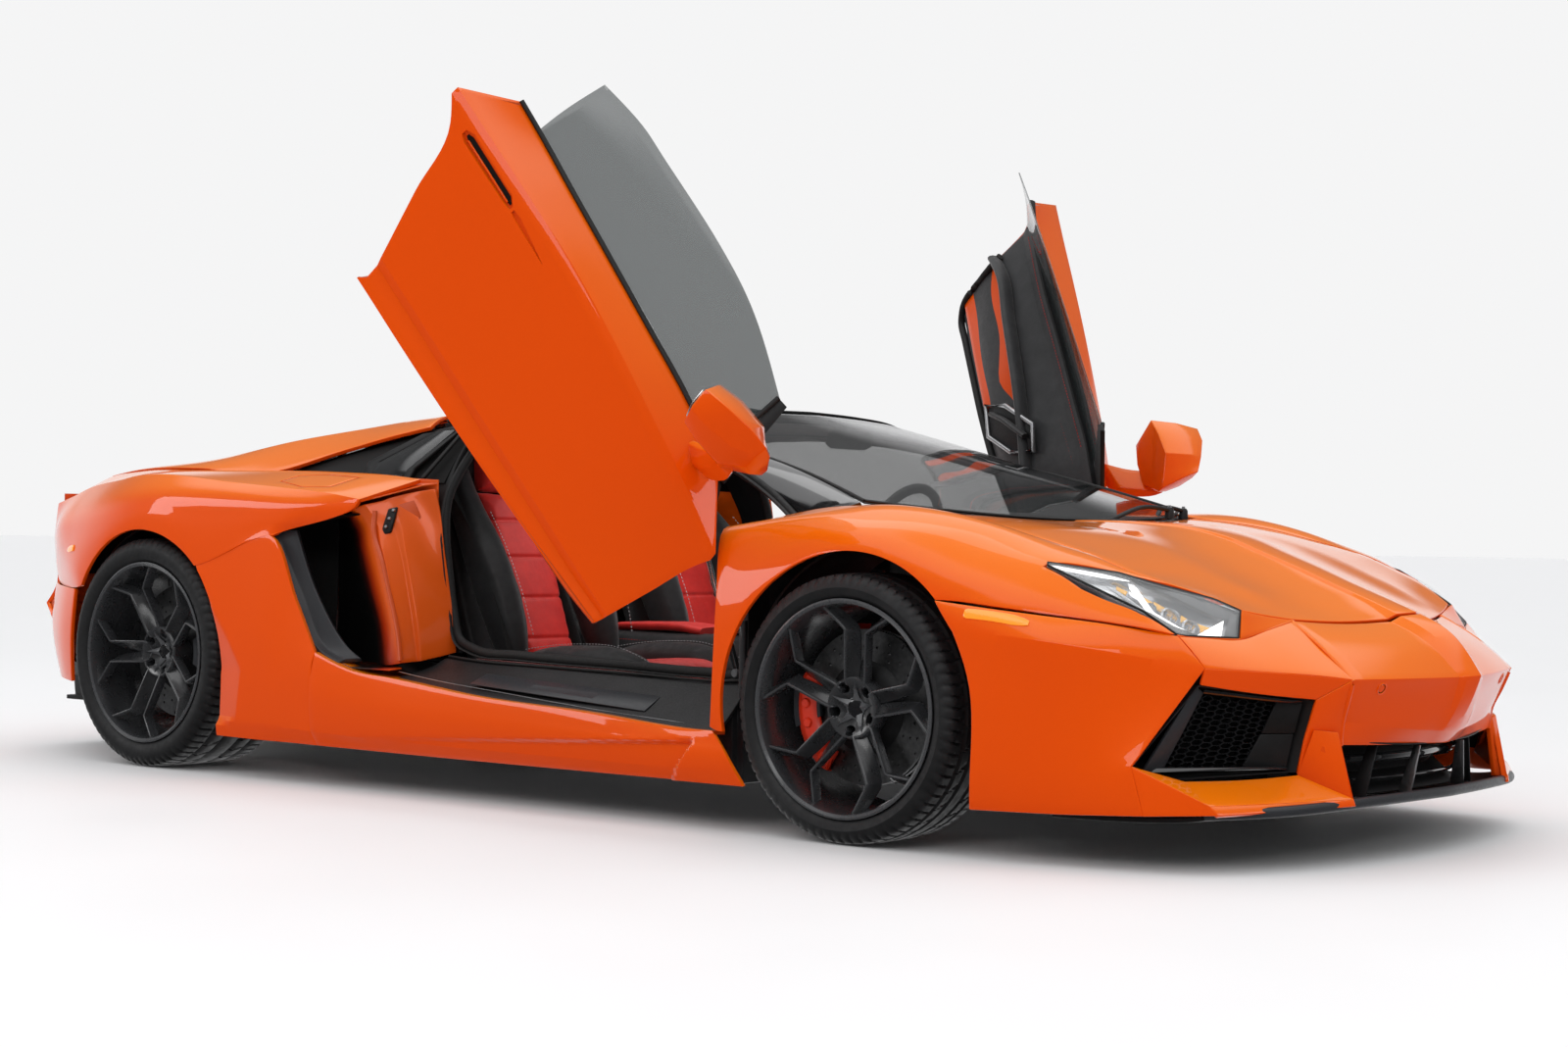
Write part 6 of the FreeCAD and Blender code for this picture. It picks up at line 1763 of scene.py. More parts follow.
# ------------------------------------------------------------------ jamb, side intake and sill
PIL = [
    [(-434, 776, 866), (-482, 802, 858), (-540, 858, 838), (-552, 872, 830), (-590, 908, 818), (-640, 906, 806), (-720, 872, 812), (-860, 782, 815)],
    [(-414, 770, 780), (-446, 790, 778), (-500, 850, 768), (-518, 862, 762), (-548, 894, 760), (-600, 886, 756), (-700, 836, 752), (-860, 762, 748)],
    [(-402, 768, 700), (-430, 798, 697), (-470, 858, 692), (-484, 864, 690), (-512, 906, 690), (-565, 896, 688), (-680, 840, 690), (-860, 762, 690)],
    [(-384, 762, 590), (-402, 798, 586), (-428, 868, 582), (-443, 872, 581), (-466, 917, 580), (-522, 904, 578), (-645, 846, 580), (-860, 762, 580)],
    [(-362, 760, 470), (-374, 798, 466), (-392, 874, 460), (-407, 878, 458), (-424, 927, 456), (-478, 914, 452), (-605, 850, 452), (-860, 764, 452)],
    [(-352, 762, 396), (-360, 798, 388), (-376, 876, 374), (-390, 880, 372), (-402, 936, 368), (-454, 930, 360), (-585, 870, 360), (-860, 780, 360)],
]
pq = patch(PIL, 7, [4, 5, 2, 5, 4, 6, 6], (), (2, 3, 4), None, (-700, 500, 600))
# jamb and duct walls: body orange fading to near-black towards the rear and the bottom, into the side intake, as
# painted shade
m_ = Mat("duct_fade", (0.80, 0.10, 0.004), 0.30, 0.2, Coat_Weight=0.4, Coat_Roughness=0.05)
gx = m_.n("ShaderNodeSeparateXYZ")
m_.l(m_.coord(), gx.inputs[0])
shade_depth = m_.n("ShaderNodeMath", operation="MULTIPLY_ADD")
shade_depth.inputs[1].default_value = 0.60
m_.l(gx.outputs["Z"], shade_depth.inputs[0])
m_.l(gx.outputs["X"], shade_depth.inputs[2])
m_.col(m_.rangemap(shade_depth.outputs[0], -0.315, -0.165, 0.0, 1.0), [(0.0, (0.003, 0.003, 0.003)), (0.30, (0.045, 0.003, 0.001)), (0.65, (0.50, 0.030, 0.001)), (1.0, (0.82, 0.105, 0.003))])
m_.rough(m_.noise(20, 2), 0.30, 0.33)
M["duct_fade"] = m_.m
pil = panel("jamb", pq, (-700, 500, 600), 0.008, "duct_fade", 0.003, 3, angle=16)
# latch recess and striker
rec_o = [(-486, 834), (-540, 828), (-560, 770), (-548, 700), (-510, 690), (-470, 760)]
REC = [(-484, 812, 832), (-548, 868, 806), (-562, 880, 760), (-528, 884, 700), (-506, 868, 700), (-462, 800, 782)]
rn = Vector((0.45, 0.80, 0.25)).normalized()
pock = slabof("latch_pocket", [tuple(Vector(p) + rn * 2) for p in REC], tuple(rn), 0.004, "paint_inner", 0.002)
latch = slabof("latch_plate", [(-507, 852, 812), (-530, 868, 806), (-540, 884, 744), (-528, 884, 730), (-512, 872, 738)], tuple(rn), 0.012, "black_plastic", 0.004)
latch.data.transform(Matrix.Translation(rn * 0.006))
sc_ = []
for p in ((-516, 858, 800), (-522, 868, 776), (-527, 876, 752)):
    b_ = lathe([(0.0003, 0.010), (0.004, 0.010), (0.0055, 0.006), (0.0055, 0.0), (0.0003, 0.0)], Vector(p) / 1000 + rn * 0.004, rn, 16, "screw", "alloy")
    sc_.append(b_)
ribs = [sweep([tuple(p) for p in refine(np.array([(-0.560, 0.894, 0.800), (-0.552, 0.902, 0.740), (-0.505, 0.914, 0.660), (-0.462, 0.920, 0.56), (-0.415, 0.930, 0.44), (-0.398, 0.938, 0.375)]), 5)], 0.006, "rib", "paint_inner", 8, flat=(0.008, 0.005))]
# dark back and floor of the duct; the back and the top are near-black sheets of painted shade
DB = [
    [(-860, 764, 776), (-930, 790, 776), (-1000, 860, 770), (-960, 968, 745)],
    [(-860, 764, 580), (-900, 790, 580), (-930, 860, 580), (-845, 972, 590)],
    [(-860, 774, 366), (-830, 800, 366), (-780, 870, 366), (-690, 975, 380)],
]
dback = grid_obj("duct_back", patch(DB, 8, 5, (), (), None, (-600, 900, 560)), "painted_shade", (-1100, 900, 560))
s_ = dback.modifiers.new("t", "SOLIDIFY")
s_.thickness = 0.004
bake(dback)
dtop = slabof("duct_top", [(-590, 884, 796), (-860, 764, 786), (-1000, 860, 786), (-935, 955, 748), (-838, 955, 756), (-700, 935, 784)], (0, 0, 1), 0.004, "painted_shade")
dwall = slabof("duct_wall", [(-436, 763, 770), (-436, 763, 893), (-600, 768, 900), (-900, 772, 905), (-900, 766, 770)], (0, 1, 0), 0.004, "duct_fade")
dcap = slabof("duct_cap", [(-436, 766, 884), (-470, 788, 878), (-560, 900, 838), (-620, 918, 826), (-900, 940, 826), (-900, 768, 884)], (0, 0, 1), 0.004, "duct_fade")
dlow = slabof("duct_low", [(-395, 934, 356), (-400, 975, 352), (-560, 975, 352), (-700, 975, 382), (-860, 870, 360), (-860, 770, 355), (-600, 850, 355)], (0, 0, 1), 0.004, "duct_fade")
both_sides(join([pil, pock, latch] + sc_ + ribs + [dback, dtop, dlow, dwall, dcap], "jamb_l"), "intake_duct_skin", "body_shell", "paint", "intake_ducts")
# grey blade in front of the duct's rear edge
BLD = [
    [(-924, 984, 730), (-914, 965, 738), (-846, 948, 742)],
    [(-800, 988, 548), (-790, 968, 552), (-744, 950, 552)],
    [(-690, 992, 396), (-680, 972, 402), (-622, 948, 412)],
    [(-606, 990, 362), (-600, 972, 372), (-556, 948, 376)],
]
bl_ = panel("blade_l", patch([[(x, y - 6, z) for x, y, z in r] for r in BLD], 7, [3, 4], (), (1,), None, (-700, 500, 550)), (-700, 500, 550), 0.016, "satin_grey", 0.003, 3, angle=18)
both_sides(bl_, "intake_blades_skin", "body_shell", "black_plastic", "intake_blades")

# quarter opening: dark inner wall, a near-black sheet of painted shade, window and ribs
VQ = [
    [(-412, 600, 1066), (-412, 650, 1054), (-430, 700, 975), (-446, 748, 884)],
    [(-620, 572, 1052), (-620, 630, 1038), (-632, 698, 970), (-645, 764, 895)],
    [(-925, 600, 1000), (-925, 684, 974), (-925, 724, 940), (-925, 768, 906)],
    [(-1150, 690, 926), (-1150, 748, 914), (-1150, 758, 910), (-1150, 768, 906)],
]
vq = patch(VQ, 8, 6, (), (), None, (-800, 300, 800))
vq[..., 1] -= 0.018
vp = panel("quarter_panel", vq, (-800, 300, 800), 0.006, "painted_shade", 0.0, 1)
ribs2 = [
    slabof("qr1", [(-560, 648, 1040), (-612, 660, 1034), (-786, 722, 948), (-760, 756, 906), (-728, 756, 905), (-742, 716, 948)], (0, 0.9, 0.4), 0.016, "black_plastic", 0.004),
    slabof("qr2", [(-446, 656, 1048), (-470, 656, 1048), (-590, 742, 926), (-586, 764, 898), (-560, 762, 896), (-562, 742, 926)], (0, 0.9, 0.4), 0.014, "black_plastic", 0.004),
    slabof("qr3", [(-425, 665, 1045), (-437, 665, 1045), (-520, 754, 902), (-505, 756, 898)], (0, 0.9, 0.4), 0.010, "rubber", 0.003),
]
qg = slabof("quarter_glass", [(-470, 664, 1042), (-556, 652, 1040), (-730, 730, 944), (-735, 752, 912), (-592, 752, 905), (-588, 742, 922)], (0, 0.9, 0.4), 0.004, "glass_quarter", 0.001)
both_sides(join([vp] + ribs2 + [qg], "vents_l"), "quarter_vents_skin", "body_shell", "black_plastic", "quarter_vents")

# black sill with a bright edge, inside the skirt
SILL = [
    [(-352, 764, 384), (-360, 800, 380), (-380, 860, 350), (-398, 960, 326)],
    [(-250, 764, 376), (-250, 800, 372), (-250, 880, 336), (-250, 960, 312)],
    [(20, 766, 372), (20, 802, 368), (20, 884, 321), (20, 966, 292)],
    [(374, 768, 368), (374, 806, 362), (374, 892, 306), (374, 968, 270)],
    [(700, 778, 366), (700, 816, 358), (700, 900, 292), (700, 968, 250)],
    [(786, 800, 370), (790, 830, 362), (792, 905, 290), (796, 966, 244)],
]
sil = panel("sill", patch(SILL, 8, [3, 4, 5], (), (1,), None, (200, 700, 0)), (200, 700, 0), 0.008, "black_plastic", 0.003, 3, angle=16)
line = sweep([tuple(p) for p in refine(np.array([(-0.395, 0.944, 0.345), (-0.250, 0.948, 0.329), (0.02, 0.946, 0.307), (0.374, 0.944, 0.280), (0.70, 0.944, 0.262), (0.79, 0.942, 0.256)]), 6)], 0.0012, "sill_line", "alloy", 6)
trd = sweep([tuple(p) for p in refine(np.array([(-0.352, 0.790, 0.386), (-0.25, 0.790, 0.379), (0.02, 0.792, 0.374), (0.374, 0.794, 0.370), (0.70, 0.800, 0.368), (0.78, 0.812, 0.376)]), 6)], 0.004, "sill_bead", "rubber", 8)
step = slabof("sill_plate", [(-120, 862, 342), (-120, 930, 316), (520, 922, 277), (520, 858, 312)], (0, 0.4, 0.9), 0.003, "satin_grey", 0.001)
step.data.transform(Matrix.Translation((0, 0.005, 0.0085)))
strut = [
    sweep([(0.755, 0.836, 0.395), (0.700, 0.838, 0.560)], 0.0105, "strut_tube", "black_gloss", 16),
    sweep([(0.700, 0.838, 0.560), (0.655, 0.842, 0.690)], 0.0055, "strut_rod", "chrome", 14),
    lathe([(0.0003, 0.012), (0.010, 0.012), (0.012, 0.006), (0.012, -0.006), (0.010, -0.012), (0.0003, -0.012)], (0.756, 0.836, 0.392), (0, 1, 0), 24, "strut_end", "alloy"),
]
hinge = [
    slabof("hinge_arm", [(880, 872, 700), (820, 872, 690), (742, 872, 560), (752, 872, 520), (800, 872, 560), (872, 872, 640)], (0, 1, 0), 0.016, "paint_inner", 0.004),
    lathe([(0.0003, 0.016), (0.016, 0.016), (0.020, 0.010), (0.020, -0.020), (0.0003, -0.020)], (0.854, 0.874, 0.663), (0, 1, 0), 32, "hinge_pin", "alloy"),
    slabof("a_wall", [(806, 858, 750), (806, 858, 380), (812, 780, 380), (812, 780, 750)], (-1, 0, 0), 0.004, "black_plastic", 0.002),
]
both_sides(join([sil, line, trd, step] + strut + hinge, "sill_l"), "door_sills", "body_shell", "black_plastic")


# ------------------------------------------------------------------ cabin
def ring_loft(name, loops, mat, ang=40):
    """Closed form through closed loops of equal count, ends domed by their own caps."""
    o = loft_solid(name, loops, mat)
    shade(o, ang)
    return o


def pill(cx, cz, nx, nz, y, half, thick, n=28, p=3.2):
    """Rounded-rectangle loop across the car at (cx, cz); (nx, nz) is the outward direction of its top face."""
    out = []
    for i in range(n):
        q = 2 * math.pi * i / n
        c, s = math.cos(q), math.sin(q)
        a = math.copysign(abs(c) ** (2 / p), c) * half
        b = math.copysign(abs(s) ** (2 / p), s) * thick
        out.append((cx + nx * b, y + a, cz + nz * b))
    return out


def along_path(path, widths, thick, y, lift=0.0, n=28, p=3.2):
    """Loops along a side-view path (x, z) with a width and a thickness at each point."""
    P = np.array(path, float)
    loops = []
    for i in range(len(P)):
        a, b = P[max(i - 1, 0)], P[min(i + 1, len(P) - 1)]
        t = (b - a) / max(np.linalg.norm(b - a), 1e-9)
        nx, nz = t[1], -t[0]
        if nx * 1.0 + nz * 1.0 < 0:
            nx, nz = -nx, -nz
        loops.append(pill(P[i][0] + nx * lift, P[i][1] + nz * lift, nx, nz, y, widths[i], thick[i], n, p))
    return loops


def puff(o, cap=0.010, pressure=4.0, voxel=0.006, frames=20):
    """Swell a closed form with cloth pressure, cap the movement, apply, then one subdivision."""
    start = o.modifiers.new("vox", "REMESH")
    start.mode = "VOXEL"
    start.voxel_size = voxel
    bake(o)
    rest = np.array([tuple(v.co) for v in o.data.vertices])
    cl = o.modifiers.new("cloth", "CLOTH")
    cl.settings.use_pressure = True
    cl.settings.uniform_pressure_force = pressure
    cl.settings.effector_weights.gravity = 0.0
    cl.settings.quality = 5
    cl.point_cache.frame_start = 1
    cl.point_cache.frame_end = frames
    for f in range(1, frames + 1):
        C.scene.frame_set(f)
    dg = C.evaluated_depsgraph_get()
    ev = o.evaluated_get(dg)
    now = np.array([tuple(v.co) for v in ev.data.vertices])
    o.modifiers.clear()
    C.scene.frame_set(1)
    if now.shape == rest.shape:
        d = now - rest
        L = np.linalg.norm(d, axis=1, keepdims=True)
        d = d * np.minimum(1.0, cap / np.maximum(L, 1e-9))
        o.data.vertices.foreach_set("co", (rest + d).ravel())
        o.data.update()
    sm = o.modifiers.new("sm", "SMOOTH")
    sm.factor = 0.5
    sm.iterations = 3
    sb = o.modifiers.new("sub", "SUBSURF")
    sb.levels = 1
    sb.render_levels = 1
    bake(o)
    return shade(o, 60)


def channel(o, fn, depth=0.005, width=0.005):
    """Press sewn lines into a pad; fn gives each point's distance to the nearest line."""
    co = np.array([tuple(v.co) for v in o.data.vertices])
    no = np.array([tuple(v.normal) for v in o.data.vertices])
    d = fn(co)
    co = co - no * (depth * np.exp(-((d / width) ** 2)))[:, None]
    o.data.vertices.foreach_set("co", co.ravel())
    o.data.update()
    return o


# side-view line of the seat: front of the squab, hip, up the back to the head
SQ = [(0.235, 0.318), (0.200, 0.345), (0.100, 0.352), (-0.050, 0.330), (-0.200, 0.304), (-0.290, 0.296)]
BK = [(-0.350, 0.330), (-0.392, 0.420), (-0.440, 0.540), (-0.492, 0.680), (-0.538, 0.800), (-0.562, 0.868)]
HD = [(-0.560, 0.872), (-0.574, 0.915), (-0.590, 0.965), (-0.604, 1.005)]
m_ = Mat("thread_grey", (0.42, 0.42, 0.43), 0.6)
m_.bump(m_.noise(2600, 2), 0.4, 0.0004)
M["thread_grey"] = m_.m


def rp(path, n):
    q = refine(np.array([(a, 0.0, b) for a, b in path]), n)
    return [(v[0], v[2]) for v in q]


def seat(sy):
    shell_path = rp([(0.262, 0.235), (0.200, 0.262), (0.05, 0.250), (-0.15, 0.225), (-0.30, 0.205), (-0.400, 0.270), (-0.470, 0.420), (-0.525, 0.560), (-0.572, 0.700), (-0.610, 0.830), (-0.628, 0.930), (-0.634, 1.000)], 3)
    k = len(shell_path)
    ws = [0.215 + 0.030 * math.sin(math.pi * min(1, i / (k * 0.75))) if i < k * 0.72 else 0.245 - 0.135 * ((i - k * 0.72) / (k * 0.28)) for i in range(k)]
    shell = ring_loft("seat_shell", along_path(shell_path, ws, [0.030] * k, sy, 0.0, 32, 4.0), "leather_black", 50)
    pads = []
    q = rp(SQ, 3)
    n = len(q)
    sq = ring_loft("seat_squab", along_path(q, [0.148 - 0.010 * (i / n) for i in range(n)], [0.020 if i in (0, n - 1) else 0.036 for i in range(n)], sy, -0.012, 32, 3.4), "leather_red", 60)
    q = rp(BK, 3)
    n = len(q)
    bk = ring_loft("seat_back", along_path(q, [0.120 + 0.022 * math.sin(math.pi * i / n) for i in range(n)], [0.020 if i in (0, n - 1) else 0.036 for i in range(n)], sy, -0.012, 32, 3.4), "leather_red", 60)
    q = rp(HD, 4)
    n = len(q)
    hd = ring_loft("seat_head", along_path(q, [0.104 - 0.026 * (i / n) for i in range(n)], [0.022 if i in (0, n - 1) else 0.040 for i in range(n)], sy, -0.010, 32, 3.2), "leather_red", 60)
    wings = []
    for s in (-1, 1):
        # side bolster of the squab, and the wing of the back running to the shoulder
        L = []
        for (x, z), ry, rz, yo in zip([(0.255, 0.285), (0.210, 0.345), (0.100, 0.378), (-0.050, 0.378), (-0.200, 0.362), (-0.300, 0.345)], [0.030, 0.044, 0.050, 0.052, 0.050, 0.034], [0.034, 0.058, 0.070, 0.076, 0.076, 0.060], [0.180, 0.188, 0.192, 0.194, 0.194, 0.190]):
            L.append([(x, sy + s * yo + ry * math.cos(a) * s, z - 0.022 + rz * math.sin(a)) for a in [2 * math.pi * i / 24 for i in range(24)]])
        L = refine(np.array(L), 4)
        w1 = ring_loft("bolster", [list(map(tuple, l)) for l in L], "leather_black", 60)
        L = []
        for (x, z), ra, rb, yo in zip([(-0.270, 0.330), (-0.300, 0.430), (-0.352, 0.560), (-0.420, 0.690), (-0.492, 0.790), (-0.548, 0.860), (-0.584, 0.930)], [0.034, 0.062, 0.076, 0.072, 0.058, 0.046, 0.026], [0.026, 0.040, 0.046, 0.046, 0.042, 0.036, 0.022], [0.192, 0.196, 0.202, 0.198, 0.180, 0.156, 0.128]):
            L.append([(x - 0.030 + ra * math.cos(a), sy + s * yo + rb * math.sin(a) * s, z + 0.40 * ra * math.cos(a)) for a in [2 * math.pi * i / 24 for i in range(24)]])
        L = refine(np.array(L), 4)
        w2 = ring_loft("wing_pad", [list(map(tuple, l)) for l in L], "leather_black", 60)
        wings += [w1, w2]
    return shell, [sq, bk, hd], wings


SEAT_Y = 0.365
shell, pads, wings = seat(SEAT_Y)
names = ["seat_squab", "seat_back", "seat_head"]
for o, cap, vx in zip(pads, (0.012, 0.012, 0.010), (0.006, 0.006, 0.006)):
    puff(o, cap, 4.0, vx)
for o in wings:
    puff(o, 0.007, 4.0, 0.007)


def d_lines(vals, axis_fn):
    return lambda co: np.min(np.abs(axis_fn(co)[:, None] - np.array(vals)[None, :]), axis=1)


channel(pads[0], d_lines([-0.16, -0.02, 0.12], lambda c: c[:, 0]), 0.005, 0.006)
channel(pads[1], d_lines([0.43, 0.55, 0.67, 0.78], lambda c: c[:, 2]), 0.005, 0.006)
st = []
for i, s in enumerate((-1, 1)):
    for rows_ in ([(0.225, 0.336), (0.10, 0.376), (-0.05, 0.380), (-0.20, 0.366), (-0.285, 0.352)],):
        st.append(stitches([(x, SEAT_Y + s * 0.200, z + 0.048) for x, z in rows_], "thread_grey", 0.012, 0.007, 0.0012))
    st.append(stitches([(-0.222, SEAT_Y + s * 0.214, 0.448), (-0.262, SEAT_Y + s * 0.222, 0.572), (-0.334, SEAT_Y + s * 0.216, 0.700), (-0.424, SEAT_Y + s * 0.196, 0.806)], "thread_grey", 0.012, 0.007, 0.0012))
belt_p = refine(np.array([(-0.600, 0.560, 0.890), (-0.520, 0.575, 0.820), (-0.420, 0.590, 0.700), (-0.330, 0.598, 0.520), (-0.270, 0.596, 0.330)]), 6)
belt_o = sweep([tuple(p) for p in belt_p], 0.002, "belt", "rubber", 8, flat=(0.020, 0.0014))
buckle = slabof("buckle", [(-250, 160, 300), (-250, 180, 300), (-290, 180, 385), (-290, 160, 385)], (1, 0, 0.4), 0.026, "black_plastic", 0.004)
rail1 = slabof("rail", [(230, 240, 190), (230, 262, 190), (-330, 262, 182), (-330, 240, 182)], (0, 0, 1), 0.030, "satin_grey", 0.003)
rail2 = slabof("rail", [(230, 470, 190), (230, 492, 190), (-330, 492, 182), (-330, 470, 182)], (0, 0, 1), 0.030, "satin_grey", 0.003)
trims = join(st + [belt_o, buckle, rail1, rail2], "seat_trim_left")
place(mirrored(trims, "seat_trim_right"), "body_shell", None)
place(trims, "body_shell", None)
r = mirrored(shell, "seat_shell_right")
both = join([shell, r], "seat_shells")
place(both, "body_shell", "leather_black", "seats")
for o, nm, sl in [(p, n, "leather_black") for p, n in zip(pads, names)] + [(w, n, "leather_black") for w, n in zip(wings, ("bolster_in", "wing_in", "bolster_out", "wing_out"))]:
    shade(thin(o, 0.17), 60)
    rr = mirrored(o, nm + "_right")
    o.name = nm + "_left"
    for q in (o, rr):
        place(q, "body_shell", sl)

# dashboard: leather top with a hood over the instruments, vents, centre stack
DASH = [
    [(985, -620, 792), (985, -300, 797), (985, 0, 799), (985, 300, 797), (985, 620, 792)],
    [(880, -690, 770), (860, -300, 778), (850, 0, 782), (860, 300, 800), (880, 690, 770)],
    [(760, -715, 742), (720, -380, 752), (700, 0, 752), (700, 365, 812), (760, 715, 742)],
    [(690, -725, 712), (640, -380, 722), (610, 0, 716), (560, 365, 800), (690, 725, 712)],
    [(668, -722, 672), (610, -380, 680), (580, 0, 676), (548, 365, 778), (668, 722, 672)],
    [(680, -715, 640), (640, -380, 640), (600, 0, 636), (620, 365, 722), (680, 715, 640)],
    [(700, -705, 560), (690, -380, 540), (640, 0, 560), (680, 365, 640), (700, 705, 560)],
    [(760, -700, 520), (760, -380, 470), (720, 0, 500), (760, 365, 520), (760, 700, 520)],
]
dq = patch(DASH, 6, [10, 10, 10, 10], (3,), (), None, (1000, 0, 400))
dq[..., 0] -= 0.0
# the hood stays local to the driver's side
dash = panel("dash_top", dq, (1000, 0, 400), 0.010, "leather_black", 0.003, 3, angle=26)
dp = [dash]
for y in (-0.62, -0.20, 0.20, 0.62):
    x0 = 0.640 if abs(y) > 0.4 else 0.602
    hexo = [(x0 * 1000 + 16, (y + 0.050 * math.cos(math.radians(60 * i))) * 1000, (0.652 + 0.026 * math.sin(math.radians(60 * i))) * 1000) for i in range(6)]
    dp.append(slabof("vent", hexo, (-1, 0, 0.2), 0.020, "black_gloss", 0.002))
    dp.append(sweep([tuple(np.array(p) / 1000 + np.array([-0.004, 0, 0])) for p in hexo], 0.004, "vent_ring", "alloy", 8, closed=True))
    for k in (-1, 0, 1):
        dp.append(slabof("fin", [(x0 * 1000 + 10, (y - 0.040) * 1000, 652 + k * 11), (x0 * 1000 + 10, (y + 0.040) * 1000, 652 + k * 11), (x0 * 1000 + 10, (y + 0.040) * 1000, 655 + k * 11), (x0 * 1000 + 10, (y - 0.040) * 1000, 655 + k * 11)], (-1, 0, 0), 0.014, "black_plastic", 0.0006))
dp.append(slabof("cluster", [(600, 240, 700), (600, 490, 700), (580, 480, 775), (580, 250, 775)], (-1, 0, 0.25), 0.010, "black_gloss", 0.004))
dp.append(slabof("screen_c", [(590, -92, 690), (590, 92, 690), (606, 92, 560), (606, -92, 560)], (-1, 0, 0.1), 0.012, "black_gloss", 0.004))
dp.append(slabof("stack", [(600, -100, 550), (600, 100, 550), (500, 100, 470), (500, -100, 470)], (-0.6, 0, 0.7), 0.020, "carbon", 0.004))
for k in range(6):
    yb = -75 + k * 30
    dp.append(slabof("key", [(585, yb - 11, 541), (585, yb + 11, 541), (560, yb + 11, 520), (560, yb - 11, 520)], (-0.62, 0, 0.78), 0.010, "black_gloss", 0.002))
dp.append(slabof("start", [(552, -22, 512), (552, 22, 512), (520, 22, 486), (520, -22, 486)], (-0.62, 0, 0.78), 0.014, "caliper", 0.003))
dp.append(stitches([(0.665, -0.70, 0.700), (0.622, -0.38, 0.711), (0.598, -0.10, 0.707)], "thread"))
glove = slabof("glove", [(628, -620, 622), (628, -250, 622), (676, -250, 560), (676, -620, 560)], (-0.8, 0, 0.5), 0.010, "leather_red", 0.004)
dp.append(glove)
col = sweep([(0.700, 0.365, 0.610), (0.600, 0.365, 0.650), (0.480, 0.365, 0.700)], 0.036, "column", "black_plastic", 20)
dp.append(col)
for s in (-1, 1):
    dp.append(slabof("paddle", [(472, 365 + s * 60, 690), (472, 365 + s * 130, 720), (462, 365 + s * 150, 800), (470, 365 + s * 90, 770)], (-0.9, 0, 0.4), 0.005, "black_gloss", 0.001))
place(join(dp, "dashboard_skin"), "body_shell", "leather_black", "dashboard")

# console, floor mats, side trims, bulkhead
CON = [
    [(620, 118, 200), (620, 112, 480), (620, 70, 520), (620, 0, 524)],
    [(400, 118, 190), (400, 114, 440), (400, 76, 474), (400, 0, 478)],
    [(150, 118, 180), (150, 116, 410), (150, 84, 446), (150, 0, 450)],
    [(-120, 118, 180), (-120, 116, 396), (-120, 90, 436), (-120, 0, 440)],
    [(-380, 118, 180), (-380, 116, 400), (-380, 90, 440), (-380, 0, 444)],
    [(-690, 118, 180), (-690, 116, 420), (-690, 90, 456), (-690, 0, 460)],
]
cq2 = np.concatenate([patch(CON, 6, [4, 4, 4], (), (), None, (0, 0, 200)), mirror_y(patch(CON, 6, [4, 4, 4], (), (), None, (0, 0, 200)))[:, -2::-1]], axis=1)
con = panel("console", cq2, (0, 0, 200), 0.006, "leather_black", 0.003, 3)
cp_ = [con]
cp_.append(slabof("console_plate", [(470, -70, 496), (470, 70, 496), (120, 80, 451), (120, -80, 451)], (0, 0, 1), 0.008, "carbon", 0.004))
cp_[-1].data.transform(Matrix.Translation((0, 0, 0.006)))
for k in range(3):
    cp_.append(slabof("con_key", [(420 - k * 70, -52, 498 - k * 9), (420 - k * 70, 52, 498 - k * 9), (372 - k * 70, 52, 492 - k * 9), (372 - k * 70, -52, 492 - k * 9)], (0, 0, 1), 0.010, "black_gloss", 0.003))
cp_.append(stitches([(0.60, 0.092, 0.507), (0.15, 0.098, 0.432), (-0.38, 0.104, 0.424)], "thread"))
cp_.append(stitches([(0.60, -0.092, 0.507), (0.15, -0.098, 0.432), (-0.38, -0.104, 0.424)], "thread"))
arm_l = along_path(rp([(-0.02, 0.452), (-0.10, 0.462), (-0.25, 0.462), (-0.36, 0.458)], 4), [0.070] * 13, [0.014] * 13, 0.0, 0.0, 24, 4.0)
cp_.append(ring_loft("armrest", arm_l, "leather_red", 60))
place(join(cp_, "centre_console_skin"), "body_shell", "leather_black", "centre_console")
flr = []
for s in (-1, 1):
    MATQ = [[(940, s * 150, 250), (940, s * 480, 250)], [(860, s * 140, 160), (860, s * 560, 160)], [(500, s * 132, 148), (500, s * 620, 148)], [(250, s * 130, 147), (250, s * 636, 147)]]
    mq = patch(MATQ, 8, 10, (1,), (), None, (500, s * 300, 0))
    mo = panel("mat", mq, (500, s * 300, -400), 0.008, "carpet_red", 0.003, 2)
    flr.append(mo)
    edge_ = [tuple(p) for p in mq[0]] + [tuple(p) for p in mq[1:, -1]] + [tuple(p) for p in mq[-1, ::-1][1:]] + [tuple(p) for p in mq[::-1, 0][1:-1]]
    flr.append(sweep(edge_, 0.005, "mat_edge", "leather_black", 8, closed=True))
    RF = [[(245, s * 128, 146), (245, s * 650, 146)], [(-690, s * 128, 146), (-690, s * 650, 146)]]
    flr.append(panel("carpet", patch(RF, 8, 8, (), (), None, (0, s * 300, -400)), (0, s * 300, -400), 0.004, "carpet_black", 0.001, 2))
    # inner side of the sill and kick panel
    SI = [[(780, s * 655, 148), (780, s * 658, 300), (780, s * 700, 362)], [(300, s * 655, 148), (300, s * 658, 300), (300, s * 690, 368)], [(-340, s * 655, 148), (-340, s * 658, 300), (-340, s * 690, 378)]]
    flr.append(panel("sill_in", patch(SI, 8, [4, 4], (), (), None, (200, s * 900, 200)), (200, s * 900, 200), 0.004, "carpet_red" , 0.001, 2))
    flr.append(slabof("kick", [(790, s * 652, 150), (940, s * 486, 150), (940, s * 486, 520), (790, s * 652, 520)], (-0.7, -s * 0.7, 0), 0.006, "leather_red", 0.003))
